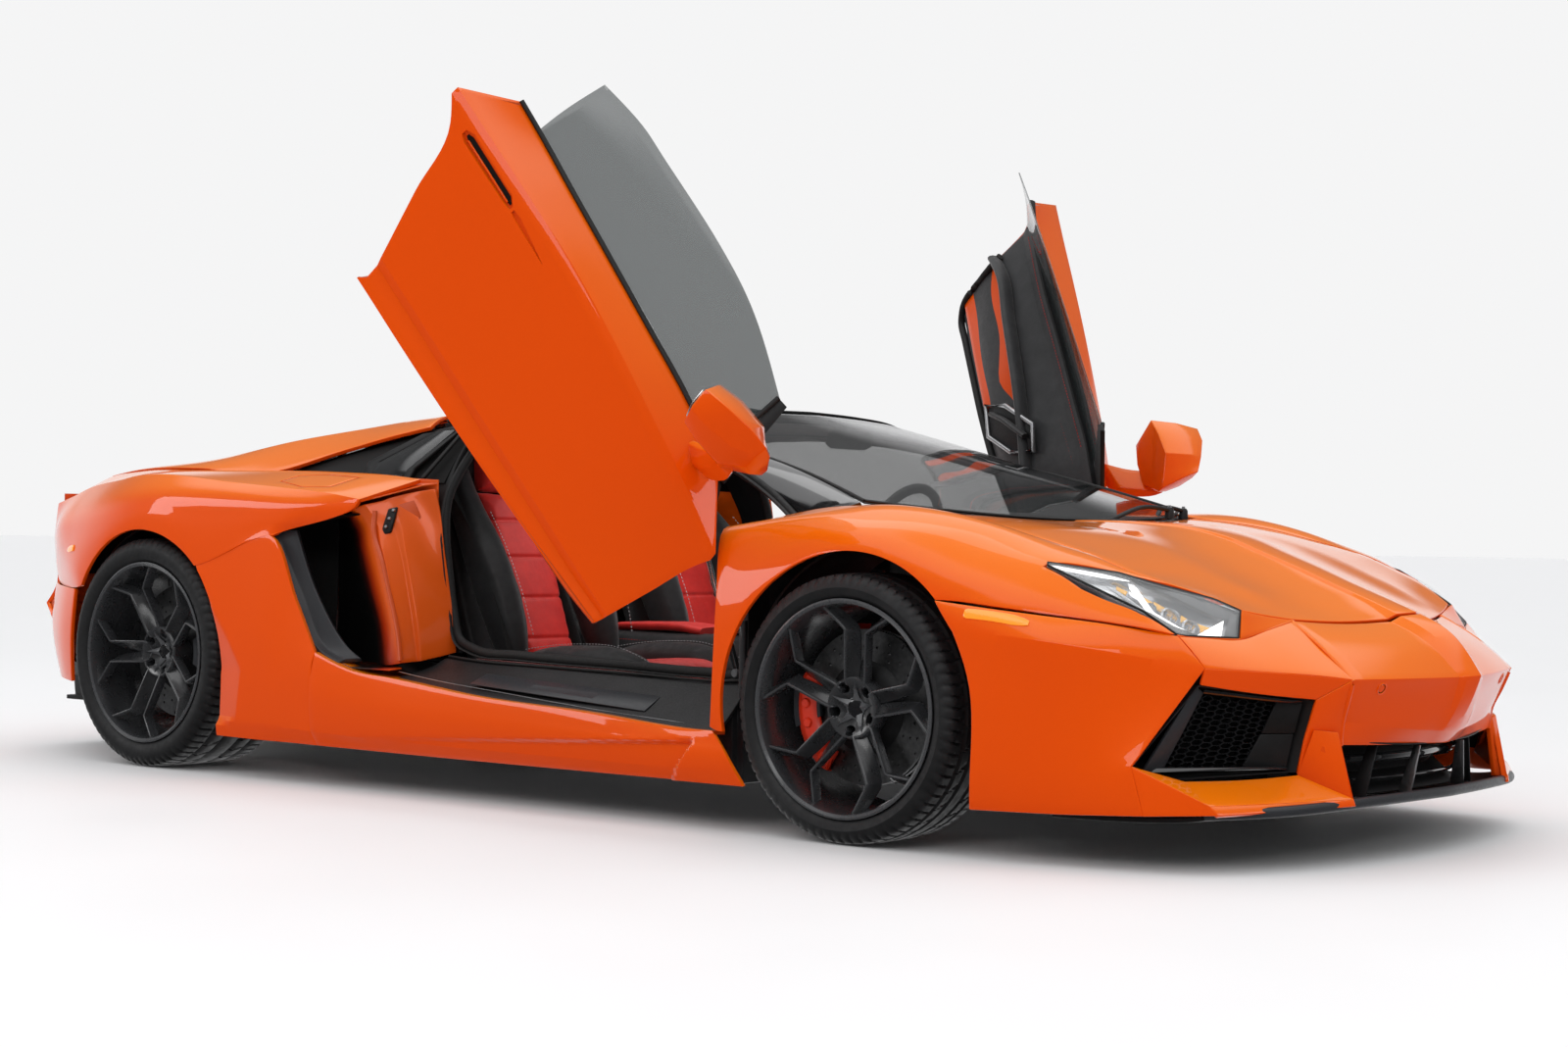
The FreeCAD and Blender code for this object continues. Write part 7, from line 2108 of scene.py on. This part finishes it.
for i, (y, w_) in enumerate(((0.300, 42), (0.400, 34))):
    flr.append(slabof("pedal", [(850, y * 1000 - w_, 330), (850, y * 1000 + w_, 330), (800, y * 1000 + w_, 220), (800, y * 1000 - w_, 220)], (-0.9, 0, 0.4), 0.008, "alloy", 0.003))
flr.append(slabof("firewall", [(985, -490, 145), (985, 490, 145), (985, 490, 700), (985, -490, 700)], (-1, 0, 0), 0.004, "carpet_black", 0.001))
place(join(flr, "cabin_floor"), "body_shell", "leather_black")
blk = []
BH = [
    [(-692, -640, 140), (-694, 0, 140), (-692, 640, 140)],
    [(-684, -700, 420), (-688, 0, 420), (-684, 700, 420)],
    [(-676, -690, 820), (-680, 0, 830), (-676, 690, 820)],
    [(-652, -640, 905), (-655, 0, 915), (-652, 640, 905)],
]
blk.append(panel("bulk", patch(BH, 6, [8, 8], (), (), None, (-1200, 0, 500)), (-1200, 0, 500), 0.006, "carpet_black", 0.002, 2))
blk.append(slabof("rear_window", [(-648, -430, 918), (-648, 430, 918), (-640, 400, 1072), (-640, -400, 1072)], (1, 0, 0), 0.006, "glass_dark", 0.002))
blk.append(slabof("rear_pan", [(-640, -560, 905), (-640, -430, 905), (-632, -400, 1078), (-632, -540, 1070)], (1, 0, 0), 0.008, "leather_black", 0.003))
blk.append(slabof("rear_pan", [(-640, 560, 905), (-640, 430, 905), (-632, 400, 1078), (-632, 540, 1070)], (1, 0, 0), 0.008, "leather_black", 0.003))
# mirror and visors at the head of the screen
mm = along_path([(0.470, 1.000), (0.474, 1.012), (0.482, 1.040), (0.486, 1.052)], [0.085, 0.108, 0.104, 0.080], [0.006, 0.011, 0.011, 0.006], 0.0, 0.0, 28, 3.4)
blk.append(ring_loft("cabin_mirror", mm, "black_plastic", 50))
blk.append(sweep([(0.470, 0.0, 1.045), (0.440, 0.0, 1.062), (0.400, 0.0, 1.078)], 0.009, "mirror_stem", "black_plastic", 12))
for s in (-1, 1):
    blk.append(slabof("visor", [(300, s * 90, 1086), (300, s * 430, 1070), (180, s * 440, 1088), (180, s * 90, 1106)], (0, 0, -1), 0.014, "leather_black", 0.005))
place(join(blk, "cabin_rear_and_mirror"), "body_shell", "leather_black")

# steering wheel: flat-bottomed rim, three spokes, blank hub
SC = Vector((0.400, 0.365, 0.735))
SA = Vector((-0.92, 0, 0.39)).normalized()
SU = Vector((0.39, 0, 0.92)).normalized()
SR = SA.cross(SU).normalized()
rim_pts = []
for i in range(96):
    a = 2 * math.pi * i / 96
    x, y = 0.172 * math.cos(a), 0.172 * math.sin(a)
    y = max(y, -0.148)
    rim_pts.append(tuple(SC + SR * x + SU * y))
sw = [sweep(rim_pts, 0.0145, "sw_rim", "leather_black", 16, flat=(0.0145, 0.0155), closed=True)]


def swp(pts, d, t, mat, bv=0.003):
    return slabof("sw", [tuple((SC + SR * a + SU * b + SA * d) * 1000) for a, b in pts], tuple(SA), t, mat, bv)


sw.append(swp([(-0.062, 0.030), (0.062, 0.030), (0.072, -0.012), (0.040, -0.062), (-0.040, -0.062), (-0.072, -0.012)], 0.022, 0.036, "leather_black", 0.008))
sw.append(swp([(-0.030, 0.018), (0.030, 0.018), (0.036, -0.010), (0.020, -0.038), (-0.020, -0.038), (-0.036, -0.010)], 0.025, 0.010, "black_gloss", 0.004))
for s in (-1, 1):
    sw.append(swp([(s * 0.060, 0.022), (s * 0.165, 0.030), (s * 0.165, 0.002), (s * 0.066, -0.020)], 0.012, 0.014, "black_gloss", 0.004))
    sw.append(swp([(s * 0.078, 0.014), (s * 0.130, 0.018), (s * 0.130, 0.004), (s * 0.080, -0.006)], 0.015, 0.006, "alloy", 0.002))
sw.append(swp([(-0.020, -0.055), (0.020, -0.055), (0.026, -0.146), (-0.026, -0.146)], 0.010, 0.014, "black_gloss", 0.004))
for s in (-1, 1):
    rr = [SC + SR * (0.172 * math.cos(a) * s) + SU * (0.172 * math.sin(a)) + SA * 0.0152 for a in [math.radians(20 + 6 * i) for i in range(12)]]
    sw.append(stitches([tuple(p) for p in rr], "thread_grey", 0.010, 0.006, 0.001))
place(join(sw, "steering_wheel_skin"), "steering_wheel", "leather_black", "steering_wheel")


# ------------------------------------------------------------------ tail, engine bay, underside
REF_T = (-1700, 0, 500)


def softened_copy(node, name, mat, width=0.002, seg=2):
    """Carry the CAD shape over with rounded edges: coplanar facets are merged first."""
    import bmesh
    src = nodes[node]
    me = src.data.copy()
    me.transform(src.matrix_world)
    bm = bmesh.new()
    bm.from_mesh(me)
    bmesh.ops.remove_doubles(bm, verts=bm.verts, dist=1e-5)
    bmesh.ops.dissolve_limit(bm, angle_limit=math.radians(1.0), verts=bm.verts, edges=bm.edges)
    bm.to_mesh(me)
    bm.free()
    o = bpy.data.objects.new(name, me)
    C.scene.collection.objects.link(o)
    me.materials.clear()
    me.materials.append(M[mat])
    me.polygons.foreach_set("material_index", [0] * len(me.polygons))
    soften(o, width, seg, 30)
    return o


REAR = [
    [(-2337, 0, 856), (-2328, 400, 856), (-2300, 590, 852), (-2284, 740, 802)],
    [(-2340, 0, 800), (-2330, 400, 798), (-2306, 620, 792), (-2292, 748, 758)],
    [(-2337, 0, 740), (-2328, 400, 738), (-2302, 650, 730), (-2294, 752, 706)],
    [(-2333, 0, 640), (-2322, 400, 640), (-2296, 680, 640), (-2262, 770, 630)],
    [(-2332, 0, 560), (-2320, 400, 560), (-2287, 700, 560), (-2248, 776, 556)],
    [(-2370, 0, 480), (-2362, 400, 480), (-2330, 700, 482), (-2304, 778, 482)],
    [(-2352, 0, 420), (-2344, 400, 420), (-2297, 690, 420), (-2254, 786, 422)],
    [(-2337, 0, 330), (-2337, 400, 330), (-2337, 640, 300), (-2320, 704, 290)],
]
tq = patch(REAR, [4, 4, 5, 5, 4, 4, 4], [8, 5, 4], (5,), (), None, REF_T)
tq = full(tq)
hexo = prism_obj([(-190, 372), (-165, 430), (-80, 452), (80, 452), (165, 430), (190, 372), (150, 345), (-150, 345)], "x", -2420, -2200)
meshcut_l = prism_obj([(225, 592), (600, 590), (660, 700), (640, 722), (225, 722)], "x", -2420, -2200)
meshcut_r = prism_obj([(-y, z) for y, z in [(225, 592), (600, 590), (660, 700), (640, 722), (225, 722)]][::-1], "x", -2420, -2200)
lampc = [prism_obj([(s * y, z) for y, z in ((372, 742), (655, 735), (690, 795), (600, 836), (372, 838))][:: s], "x", -2420, -2200) for s in (1, -1)]
tail = panel("tail", tq, REF_T, 0.012, cuts=[hexo, meshcut_l, meshcut_r] + lampc, angle=16)
drop(hexo, meshcut_l, meshcut_r, *lampc)
RS = [
    [(-1888, 966, 541), (-1905, 966, 400), (-1925, 946, 242)],
    [(-1990, 930, 545), (-2000, 936, 400), (-2005, 918, 246)],
    [(-2112, 868, 549), (-2112, 882, 400), (-2102, 862, 250)],
    [(-2234, 786, 558), (-2250, 792, 424), (-2308, 710, 292)],
]
rs_ = panel("rear_corner", patch(RS, 7, [6, 6], (), (), None, REF_T), REF_T, 0.012, cuts=[arch_r], angle=18)
rsr = mirrored(rs_, "rear_corner_r")
def by_height(P, zs):
    """A polyline sampled at given heights."""
    P = P[np.argsort(P[:, 2])]
    return np.stack([np.interp(zs, P[:, 2], P[:, 0]), np.interp(zs, P[:, 2], P[:, 1]), zs], axis=1)


# closing strips behind the seams of the tail, and the deck under the spoiler
half = patch(REAR, [4, 4, 5, 5, 4, 4, 4], [8, 5, 4], (5,), (), None, REF_T)
edge_t = half[:, -1]
edge_c = patch(RS, 7, [6, 6], (), (), None, REF_T)[-1]
edge_w = rw[-1]
fill = []
for other, z0, z1 in ((edge_c, 0.296, 0.556), (edge_w, 0.562, 0.850)):
    zs = np.linspace(z0, z1, 24)
    A, B = by_height(edge_t, zs), by_height(other, zs)
    A = A + np.array([0.006, -0.010, 0])
    B = B + np.array([0.008, -0.006, 0])
    fl = grid_obj("fill", np.stack([A + np.array([0.004, -0.05, 0]), A, B, B + np.array([0.05, -0.004, 0])], axis=1), "paint_inner", REF_T)
    s_ = fl.modifiers.new("t", "SOLIDIFY")
    s_.thickness = 0.003
    bake(fl)
    shade(fl, 40)
    fill.append(fl)
    fill.append(mirrored(fl, "fill_r"))
DK = [
    [(-2020, 0, 902), (-2020, 420, 896), (-2020, 618, 880), (-1996, 752, 850)],
    [(-2160, 0, 882), (-2160, 420, 878), (-2160, 600, 868), (-2140, 742, 822)],
    [(-2290, 0, 862), (-2286, 400, 861), (-2276, 590, 856), (-2262, 728, 796)],
    [(-2334, 0, 853), (-2325, 400, 853), (-2297, 590, 849), (-2279, 728, 786)],
]
deck = panel("rear_deck", full(patch(DK, 6, [6, 5, 4], (), (), None, REF_T)), REF_T, 0.006, "paint", 0.001, 2)
place(join([tail, rs_, rsr, deck] + fill, "rear_bumper_skin"), "body_shell", "paint", "rear_bumper")


def lattice(y0, y1, z0, z1, xf, cw, ch, clip, mat, name, thick=0.008):
    V, F = [], []
    ci = 0
    y = y0
    while y < y1:
        z = z0 + (ch / 2 if ci % 2 else 0)
        while z < z1:
            if clip(y, z):
                base = len(V)
                hexa = [(-0.5, 0), (-0.26, -0.5), (0.26, -0.5), (0.5, 0), (0.26, 0.5), (-0.26, 0.5)]
                for dd, k1 in ((0, 0.84), (0, 1.0), (thick, 1.0), (thick, 0.84)):
                    for hx, hz in hexa:
                        yy, zz = y + hx * cw * k1, z + hz * ch * k1
                        V.append((xf(yy, zz) + dd, yy, zz))
                for i in range(6):
                    j = (i + 1) % 6
                    for a, b in ((0, 1), (1, 2), (2, 3), (3, 0)):
                        F.append((base + a * 6 + i, base + a * 6 + j, base + b * 6 + j, base + b * 6 + i))
            z += ch
        y += cw * 0.76
        ci += 1
    o = new_obj(name, V, F, mat)
    fix_normals(o)
    return shade(o, 20)


def tail_x(y, z, d=0.012):
    return np.interp(abs(y), [0, 0.4, 0.65, 0.75], [-2.334, -2.325, -2.300, -2.280]) + d


rg = []
for s in (1, -1):
    a, b = (0.215, 0.680) if s > 0 else (-0.680, -0.215)
    rg.append(lattice(a, b, 0.590, 0.735, lambda y, z: tail_x(y, z, 0.010), 0.040, 0.022, lambda y, z: 0.225 < abs(y) < 0.600 + (z - 0.59) * 0.5 and 0.598 < z < 0.716, "black_gloss", "rear_mesh"))
    # near-black sheet behind each mesh: painted shade
    rg.append(slabof("mesh_back", [(-2280, s * 215, 580), (-2280, s * 670, 580), (-2270, s * 690, 730), (-2280, s * 215, 730)], (-1, 0, 0), 0.003, "painted_shade", 0.0))
hr = [(-0.190, 0.372), (-0.165, 0.430), (-0.080, 0.452), (0.080, 0.452), (0.165, 0.430), (0.190, 0.372), (0.150, 0.345), (-0.150, 0.345)]
rg.append(sweep([(-2.350 + (0.45 - z) * 0.10, y, z) for y, z in hr], 0.007, "outlet_frame", "black_gloss", 10, closed=True))
# near-black sheet behind the outlet: painted shade
rg.append(slabof("outlet_back", [(-2300, -200, 335), (-2300, 200, 335), (-2300, 200, 460), (-2300, -200, 460)], (-1, 0, 0), 0.003, "painted_shade", 0.0))
place(join(rg, "rear_mesh_panels"), "body_shell", "black_gloss")
# tail lamps: dark housing, three arrow-shaped red lights a side, red-tinted cover
tl, tc_ = [], []
for s in (1, -1):
    tl.append(slabof("tl_house", [(-2306, s * 366, 736), (-2286, s * 662, 728), (-2276, s * 698, 796), (-2290, s * 604, 842), (-2314, s * 366, 844)], (-1, 0, 0), 0.022, "black_gloss", 0.003))
    for k in range(3):
        y0 = 0.415 + 0.085 * k
        xx = tail_x(y0, 0.79, 0.004)
        for br in ([(0, 0), (0.046, 0.0)], [(0.0, 0), (-0.022, 0.030)], [(0.0, 0), (-0.022, -0.030)]):
            p0, p1 = br
            tl.append(sweep([(xx, s * (y0 + p0[0]), 0.786 + p0[1]), (tail_x(y0 + p1[0], 0.79, 0.004), s * (y0 + p1[0]), 0.786 + p1[1])], 0.0065, "tl_bar", "led_red", 10))
    TC = [[(-2334, s * 372, 742), (-2334, s * 372, 838)], [(-2330, s * 500, 738), (-2326, s * 500, 838)], [(-2312, s * 652, 736), (-2310, s * 604, 835)], [(-2302, s * 686, 776), (-2302, s * 680, 796)]]
    tc_.append(panel("tl_cover", patch(TC, 6, 6, (), (), None, REF_T), REF_T, 0.003, "lens_red", 0.001, 2))
place(join(tl, "tail_lamp_units"), "body_shell", "black_gloss")
place(join(tc_, "tail_lamp_covers"), "body_shell", "lens_red", "tail_lamps")
# spoiler blade
SPQ = [
    [(-2048, 0, 934), (-2048, 300, 928), (-2048, 600, 910)],
    [(-2180, 0, 936), (-2178, 300, 924), (-2172, 580, 896)],
    [(-2290, 0, 934), (-2284, 290, 918), (-2278, 562, 882)],
    [(-2316, 0, 928), (-2309, 290, 911), (-2302, 560, 874)],
]
spq = full(patch(SPQ, 6, [8, 8], (), (), None, (-2200, 0, 500)))
spo = panel("spoiler", spq, (-2200, 0, 500), 0.016, "paint", 0.004, 3)
spt = sweep([tuple(p + np.array([0.004, 0, -0.006])) for p in spq[-1]], 0.006, "spoiler_edge", "paint", 10)
place(join([spo, spt], "rear_spoiler_skin"), "rear_spoiler", "paint", "rear_spoiler")
# diffuser, exhaust, plate
df = softened_copy("rear_diffuser", "diffuser_skin", "black_plastic", 0.0018)
nf = []
for s in (1, -1):
    nf.append(slabof("side_fin", [(-2120, s * 700, 250), (-2330, s * 655, 232), (-2388, s * 640, 262), (-2392, s * 655, 330), (-2310, s * 700, 300)], (0, s, 0), 0.010, "black_plastic", 0.003))
place(join([df] + nf, "rear_diffuser_skin"), "body_shell", "black_plastic", "rear_diffuser")
ex = [softened_copy("exhaust", "exhaust_box", "steel", 0.004)]
for y in (-0.108, -0.036, 0.036, 0.108):
    t = lathe([(0.0335, -0.100), (0.0335, -0.006), (0.0325, -0.001), (0.0300, 0.0), (0.0275, -0.002), (0.0275, -0.100)], (-2.376, y, 0.392), (-1, 0, 0), 64, "tip", "chrome")
    shade(t, 40)
    ex.append(t)
    # near-black disc inside each tip: painted shade
    ex.append(lathe([(0.0003, -0.070), (0.0276, -0.070), (0.0276, -0.074), (0.0003, -0.074)], (-2.376, y, 0.392), (-1, 0, 0), 40, "tip_dark", "painted_shade"))
place(join(ex, "exhaust_skin"), "body_shell", "steel", "exhaust")
pl = slabof("plate_face", [(-2371, -165, 506), (-2371, 165, 506), (-2371, 165, 616), (-2371, -165, 616)], (-1, 0, 0), 0.002, "plate", 0.0008)
pb = softened_copy("plate_bracket", "plate_bracket_skin", "black_plastic", 0.0015)
place(pb, "body_shell", "black_plastic", "plate_bracket")
sc4 = []
for y in (-0.089, 0.089):
    b_ = lathe([(0.0003, 0.003), (0.0035, 0.003), (0.0048, 0.0), (0.0048, -0.004), (0.0003, -0.004)], (-2.3715, y, 0.590), (-1, 0, 0), 24, "plate_screw", "alloy")
    shade(b_, 40)
    sc4.append(b_)
place(join([pl] + sc4, "blank_plate"), "body_shell", "plate")

# engine lid: frame with stepped gloss-black slats
ELF = [
    [(-655, 380, 1100), (-655, 425, 1098), (-655, 464, 1094)],
    [(-950, 392, 1064), (-950, 446, 1059), (-950, 492, 1053)],
    [(-1240, 400, 1022), (-1240, 466, 1016), (-1240, 522, 1009)],
    [(-1500, 416, 988), (-1500, 500, 980), (-1500, 574, 971)],
    [(-1600, 424, 975), (-1600, 512, 967), (-1600, 586, 960)],
    [(-1850, 430, 943), (-1850, 530, 936), (-1850, 614, 931)],
    [(-2018, 430, 924), (-2018, 530, 918), (-2018, 614, 913)],
]
el = patch(ELF, 7, [4, 4], (), (), None, (-1300, 0, 300))
e1 = panel("elid_side", el, (-1300, 0, 300), 0.014, "paint", 0.003, 3)
e2 = mirrored(e1, "elid_side_r")
ELR = [
    [(-1588, 0, 985), (-1588, 220, 981), (-1590, 426, 973)],
    [(-1700, 0, 970), (-1700, 220, 967), (-1700, 432, 959)],
    [(-1850, 0, 954), (-1850, 220, 951), (-1850, 432, 944)],
    [(-2018, 0, 937), (-2018, 220, 934), (-2018, 432, 925)],
]
e3 = panel("elid_rear", full(patch(ELR, 6, [6, 6], (), (), None, (-1300, 0, 300))), (-1300, 0, 300), 0.014, "paint", 0.003, 3)
ELT = [
    [(-653, 0, 1112), (-653, 200, 1110), (-654, 382, 1101)],
    [(-752, 0, 1100), (-752, 200, 1097), (-752, 386, 1089)],
]
e4 = panel("elid_front", full(patch(ELT, 6, [6, 6], (), (), None, (-1300, 0, 300))), (-1300, 0, 300), 0.014, "black_gloss", 0.003, 3)
sl_ = []
for k in range(6):
    x = -768 - k * 136
    z = 1094 - k * 136 * 0.145
    S = [
        [(x, 0, z), (x, 200, z - 2), (x - 4, 388 + k * 3, z - 9)],
        [(x - 60, 0, z - 14), (x - 60, 200, z - 16), (x - 62, 388 + k * 3, z - 24)],
        [(x - 128, 0, z - 44), (x - 128, 200, z - 46), (x - 122, 380 + k * 3, z - 54)],
    ]
    sl_.append(panel("slat", full(patch(S, 5, [6, 6], (), (), None, (-1300, 0, 300))), (-1300, 0, 300), 0.006, "black_gloss", 0.002, 2))
    sl_.append(sweep([tuple(p) for p in full(patch(S, 5, [6, 6], (), (), None, (-1300, 0, 300)))[0]], 0.003, "slat_edge", "alloy" if False else "black_plastic", 8))
spine_ = sweep([(-0.76, 0, 1.098), (-1.20, 0, 1.026), (-1.59, 0, 0.978)], 0.010, "spine", "black_plastic", 10, flat=(0.012, 0.010))
place(join([e1, e2, e3, e4] + sl_ + [spine_], "engine_lid_skin"), "engine_lid", "black_gloss", "engine_lid")

# engine block and the parts under the skin
eb = softened_copy("engine_block", "engine_block_skin", "iron", 0.012, 3)
eng = [eb]
for s in (1, -1):
    eng.append(slabof("cam_cover", [(-1410, s * 90, 726), (-880, s * 90, 726), (-880, s * 270, 700), (-1410, s * 270, 700)], (0, s * 0.2, 1), 0.030, "caliper" if False else "black_plastic", 0.010, 3))
    for k in range(6):
        eng.append(sweep([(-0.93 - k * 0.088, s * 0.085, 0.735), (-0.93 - k * 0.088, s * 0.050, 0.765), (-0.93 - k * 0.088, 0.0, 0.772)], 0.016, "runner", "alloy", 14))
eng.append(sweep([(-0.88, 0, 0.776), (-1.42, 0, 0.776)], 0.040, "plenum", "alloy", 24, flat=(0.060, 0.030)))
place(join(eng, "engine_skin"), "body_shell", "steel", "engine_block")
place(softened_copy("front_subframe", "front_subframe_skin", "satin_grey", 0.002), "body_shell", "steel", "front_subframe")
place(softened_copy("rear_subframe", "rear_subframe_skin", "satin_grey", 0.002), "body_shell", "steel", "rear_subframe")
place(softened_copy("arch_liners", "arch_liners_skin", "black_plastic", 0.001), "body_shell", "black_plastic", "arch_liners")
place(softened_copy("chassis_tub", "chassis_tub_skin", "carbon", 0.003), "body_shell", "carbon", "chassis_tub")
und = []
UF = [[(1720, 0, 116), (1720, 430, 116), (1720, 860, 118)], [(1400, 0, 112), (1400, 400, 112), (1400, 560, 114)], [(1000, 0, 110), (1000, 430, 110), (1000, 560, 112)]]
und.append(panel("undertray_f", full(patch(UF, 6, [6, 6], (), (), None, (1400, 0, 600))), (1400, 0, 600), 0.004, "black_plastic", 0.001, 2))
UR = [[(-730, 0, 116), (-730, 430, 116), (-730, 870, 118)], [(-1080, 0, 118), (-1080, 400, 118), (-1080, 600, 118)], [(-1900, 0, 130), (-1900, 400, 130), (-1900, 600, 130)], [(-1962, 0, 150), (-1962, 400, 150), (-1962, 640, 150)]]
und.append(panel("undertray_r", full(patch(UR, 6, [6, 6], (), (), None, (-1400, 0, 600))), (-1400, 0, 600), 0.004, "black_plastic", 0.001, 2))
for s in (1, -1):
    for k in range(7):
        # louvre slots as near-black strips: painted shade
        und.append(slabof("louvre", [(1250 + k * 26, s * 180, 113), (1250 + k * 26, s * 380, 113), (1262 + k * 26, s * 380, 108), (1262 + k * 26, s * 180, 108)], (0, 0, -1), 0.002, "painted_shade", 0.0005))
place(join(und, "undertrays"), "body_shell", "black_plastic")
MATS_LEFT = {"arch_liners": "black_plastic", "chassis_tub": "carbon", "rear_knuckles": "satin_grey"}
for nm, o in nodes.items():
    want = MATS_LEFT.get(nm, "black_plastic")
    if not any(m and m.name in {x.name for x in M.values()} for m in o.data.materials):
        for i in range(len(o.data.materials)):
            o.data.materials[i] = M[want]
        if not o.data.materials:
            o.data.materials.append(M[want])


# ------------------------------------------------------------------ stage
def stage():
    R = 120.0
    prof = [(0.0, 0.0), (2.0, 0.0), (6.0, 0.0), (12.0, 0.0), (30.0, 0.0), (R, 0.0)]
    floor = lathe(prof + [(R, -0.02), (0.0, -0.02)], (0, 0, 0), (0, 0, 1), 64, "floor")
    fm = Mat("floor_white", (0.895, 0.895, 0.897), 0.6, Specular_IOR_Level=0.12)
    fm.rough(fm.noise(0.8, 3), 0.5, 0.65)
    floor.data.materials.append(fm.m)
    floor.visible_glossy = False
    w = bpy.data.worlds.new("studio")
    C.scene.world = w
    w.use_nodes = True
    bg = w.node_tree.nodes["Background"]
    t = w.node_tree
    # the room: a bright ceiling over dimmer walls; the backdrop behind the car is plain and pale
    tc = t.nodes.new("ShaderNodeTexCoord")
    sep = t.nodes.new("ShaderNodeSeparateXYZ")
    t.links.new(tc.outputs["Generated"], sep.inputs[0])
    ramp = t.nodes.new("ShaderNodeValToRGB")
    e = ramp.color_ramp.elements
    e[0].position, e[0].color = 0.0, (0.14, 0.14, 0.145, 1)
    e[1].position, e[1].color = 1.0, (1.25, 1.26, 1.28, 1)
    for p, v in ((0.06, 0.17), (0.30, 0.36), (0.55, 0.85)):
        x = e.new(p)
        x.color = (v, v, v * 1.01, 1)
    t.links.new(sep.outputs["Z"], ramp.inputs["Fac"])
    t.links.new(ramp.outputs["Color"], bg.inputs["Color"])
    bg.inputs["Strength"].default_value = 1.13
    # mirror-like reflections see a darker room with a pale far wall and a strip of light overhead
    vx = t.nodes.new("ShaderNodeVectorMath")
    vx.operation = "DOT_PRODUCT"
    vx.inputs[1].default_value = (-0.62, 0.78, 0.0)
    t.links.new(tc.outputs["Generated"], vx.inputs[0])

    def mapr(src, a, b, c, d):
        m = t.nodes.new("ShaderNodeMapRange")
        m.interpolation_type = "SMOOTHSTEP"
        for k, v in zip(("From Min", "From Max", "To Min", "To Max"), (a, b, c, d)):
            m.inputs[k].default_value = v
        t.links.new(src, m.inputs["Value"])
        return m.outputs["Result"]

    def mul(a, b, op="MULTIPLY"):
        m = t.nodes.new("ShaderNodeMath")
        m.operation = op
        for i, v in enumerate((a, b)):
            if isinstance(v, (int, float)):
                m.inputs[i].default_value = v
            else:
                t.links.new(v, m.inputs[i])
        return m.outputs[0]

    far = mapr(vx.outputs["Value"], 0.10, 0.75, 0.0, 1.0)
    low = mapr(sep.outputs["Z"], 0.20, 0.34, 1.0, 0.0)
    wall = mul(mul(far, low), 0.85)
    strip = mul(mapr(sep.outputs["Z"], 0.62, 0.70, 0.0, 1.0), mapr(sep.outputs["Z"], 0.90, 0.96, 1.0, 0.25))
    roof_l = mul(strip, 1.0)
    base = mapr(sep.outputs["Z"], -0.05, 0.6, 0.055, 0.16)
    tot = mul(mul(wall, roof_l, "ADD"), base, "ADD")
    bg3 = t.nodes.new("ShaderNodeBackground")
    bg3.inputs["Color"].default_value = (1.0, 1.0, 1.01, 1)
    t.links.new(tot, bg3.inputs["Strength"])
    bg2 = t.nodes.new("ShaderNodeBackground")
    bg2.inputs["Color"].default_value = (0.913, 0.913, 0.916, 1)
    lp = t.nodes.new("ShaderNodeLightPath")
    mg = t.nodes.new("ShaderNodeMixShader")
    t.links.new(lp.outputs["Is Glossy Ray"], mg.inputs[0])
    t.links.new(bg.outputs[0], mg.inputs[1])
    t.links.new(bg3.outputs[0], mg.inputs[2])
    mx = t.nodes.new("ShaderNodeMixShader")
    t.links.new(lp.outputs["Is Camera Ray"], mx.inputs[0])
    t.links.new(mg.outputs[0], mx.inputs[1])
    t.links.new(bg2.outputs[0], mx.inputs[2])
    t.links.new(mx.outputs[0], t.nodes["World Output"].inputs["Surface"])
    C.scene.view_settings.view_transform = "Standard"

    def area(name, loc, target, size, power, color=(1, 1, 1)):
        d = bpy.data.lights.new(name, "AREA")
        d.shape = "RECTANGLE"
        d.size, d.size_y = size
        d.energy = power
        d.color = color
        o = bpy.data.objects.new(name, d)
        C.scene.collection.objects.link(o)
        o.location = loc
        o.rotation_mode = "QUATERNION"
        o.rotation_quaternion = (Vector(target) - Vector(loc)).to_track_quat("-Z", "Y")
        return o

    cab = area("cabin", (0.02, 0.0, 1.04), (0.0, 0, 0), (0.7, 0.9), 7)
    cab.visible_camera = False
    cab.visible_glossy = False
    area("top", (0.0, 0.0, 5.2), (0, 0, 0), (5.0, 1.2), 22)
    area("key", (3.5, -6.5, 3.8), (0, 0, 0.5), (5.0, 1.6), 55)
    area("front", (7.5, 1.0, 3.0), (1.0, 0, 0.5), (3.0, 0.8), 18)
    area("rear", (-5.5, -5.5, 2.6), (-1.2, 0, 0.5), (3.0, 1.4), 45)


def camera():
    pos = Vector((4.9335, -5.9126, 0.7588))
    yaw, pitch, roll = 2.2716, -0.0014, 0.0149
    d = Vector((math.cos(pitch) * math.cos(yaw), math.cos(pitch) * math.sin(yaw), math.sin(pitch)))
    r = d.cross(Vector((0, 0, 1))).normalized()
    u = r.cross(d)
    r2 = r * math.cos(roll) + u * math.sin(roll)
    u2 = -r * math.sin(roll) + u * math.cos(roll)
    cam = bpy.data.cameras.new("camera")
    o = bpy.data.objects.new("camera", cam)
    C.scene.collection.objects.link(o)
    m = Matrix((r2, u2, -d)).transposed().to_4x4()
    m.translation = pos
    o.matrix_world = m
    cam.sensor_width = 36.0
    cam.sensor_fit = "HORIZONTAL"
    zoom, cx, cy = 1.0, 800.0, 534.0
    cam.lens = 2606.14 * 36.0 / 1600.0 * zoom
    cam.shift_x = zoom * (cx - 722.24) / 1600.0
    cam.shift_y = zoom * (544.37 - cy) / 1600.0
    cam.clip_end = 200
    C.scene.camera = o


stage()
camera()
drop(arch_f, arch_r, lamp_cut)
for o in list(bpy.data.objects):
    if o.name.startswith("cutter") or o.name.startswith("cyl"):
        bpy.data.objects.remove(o)
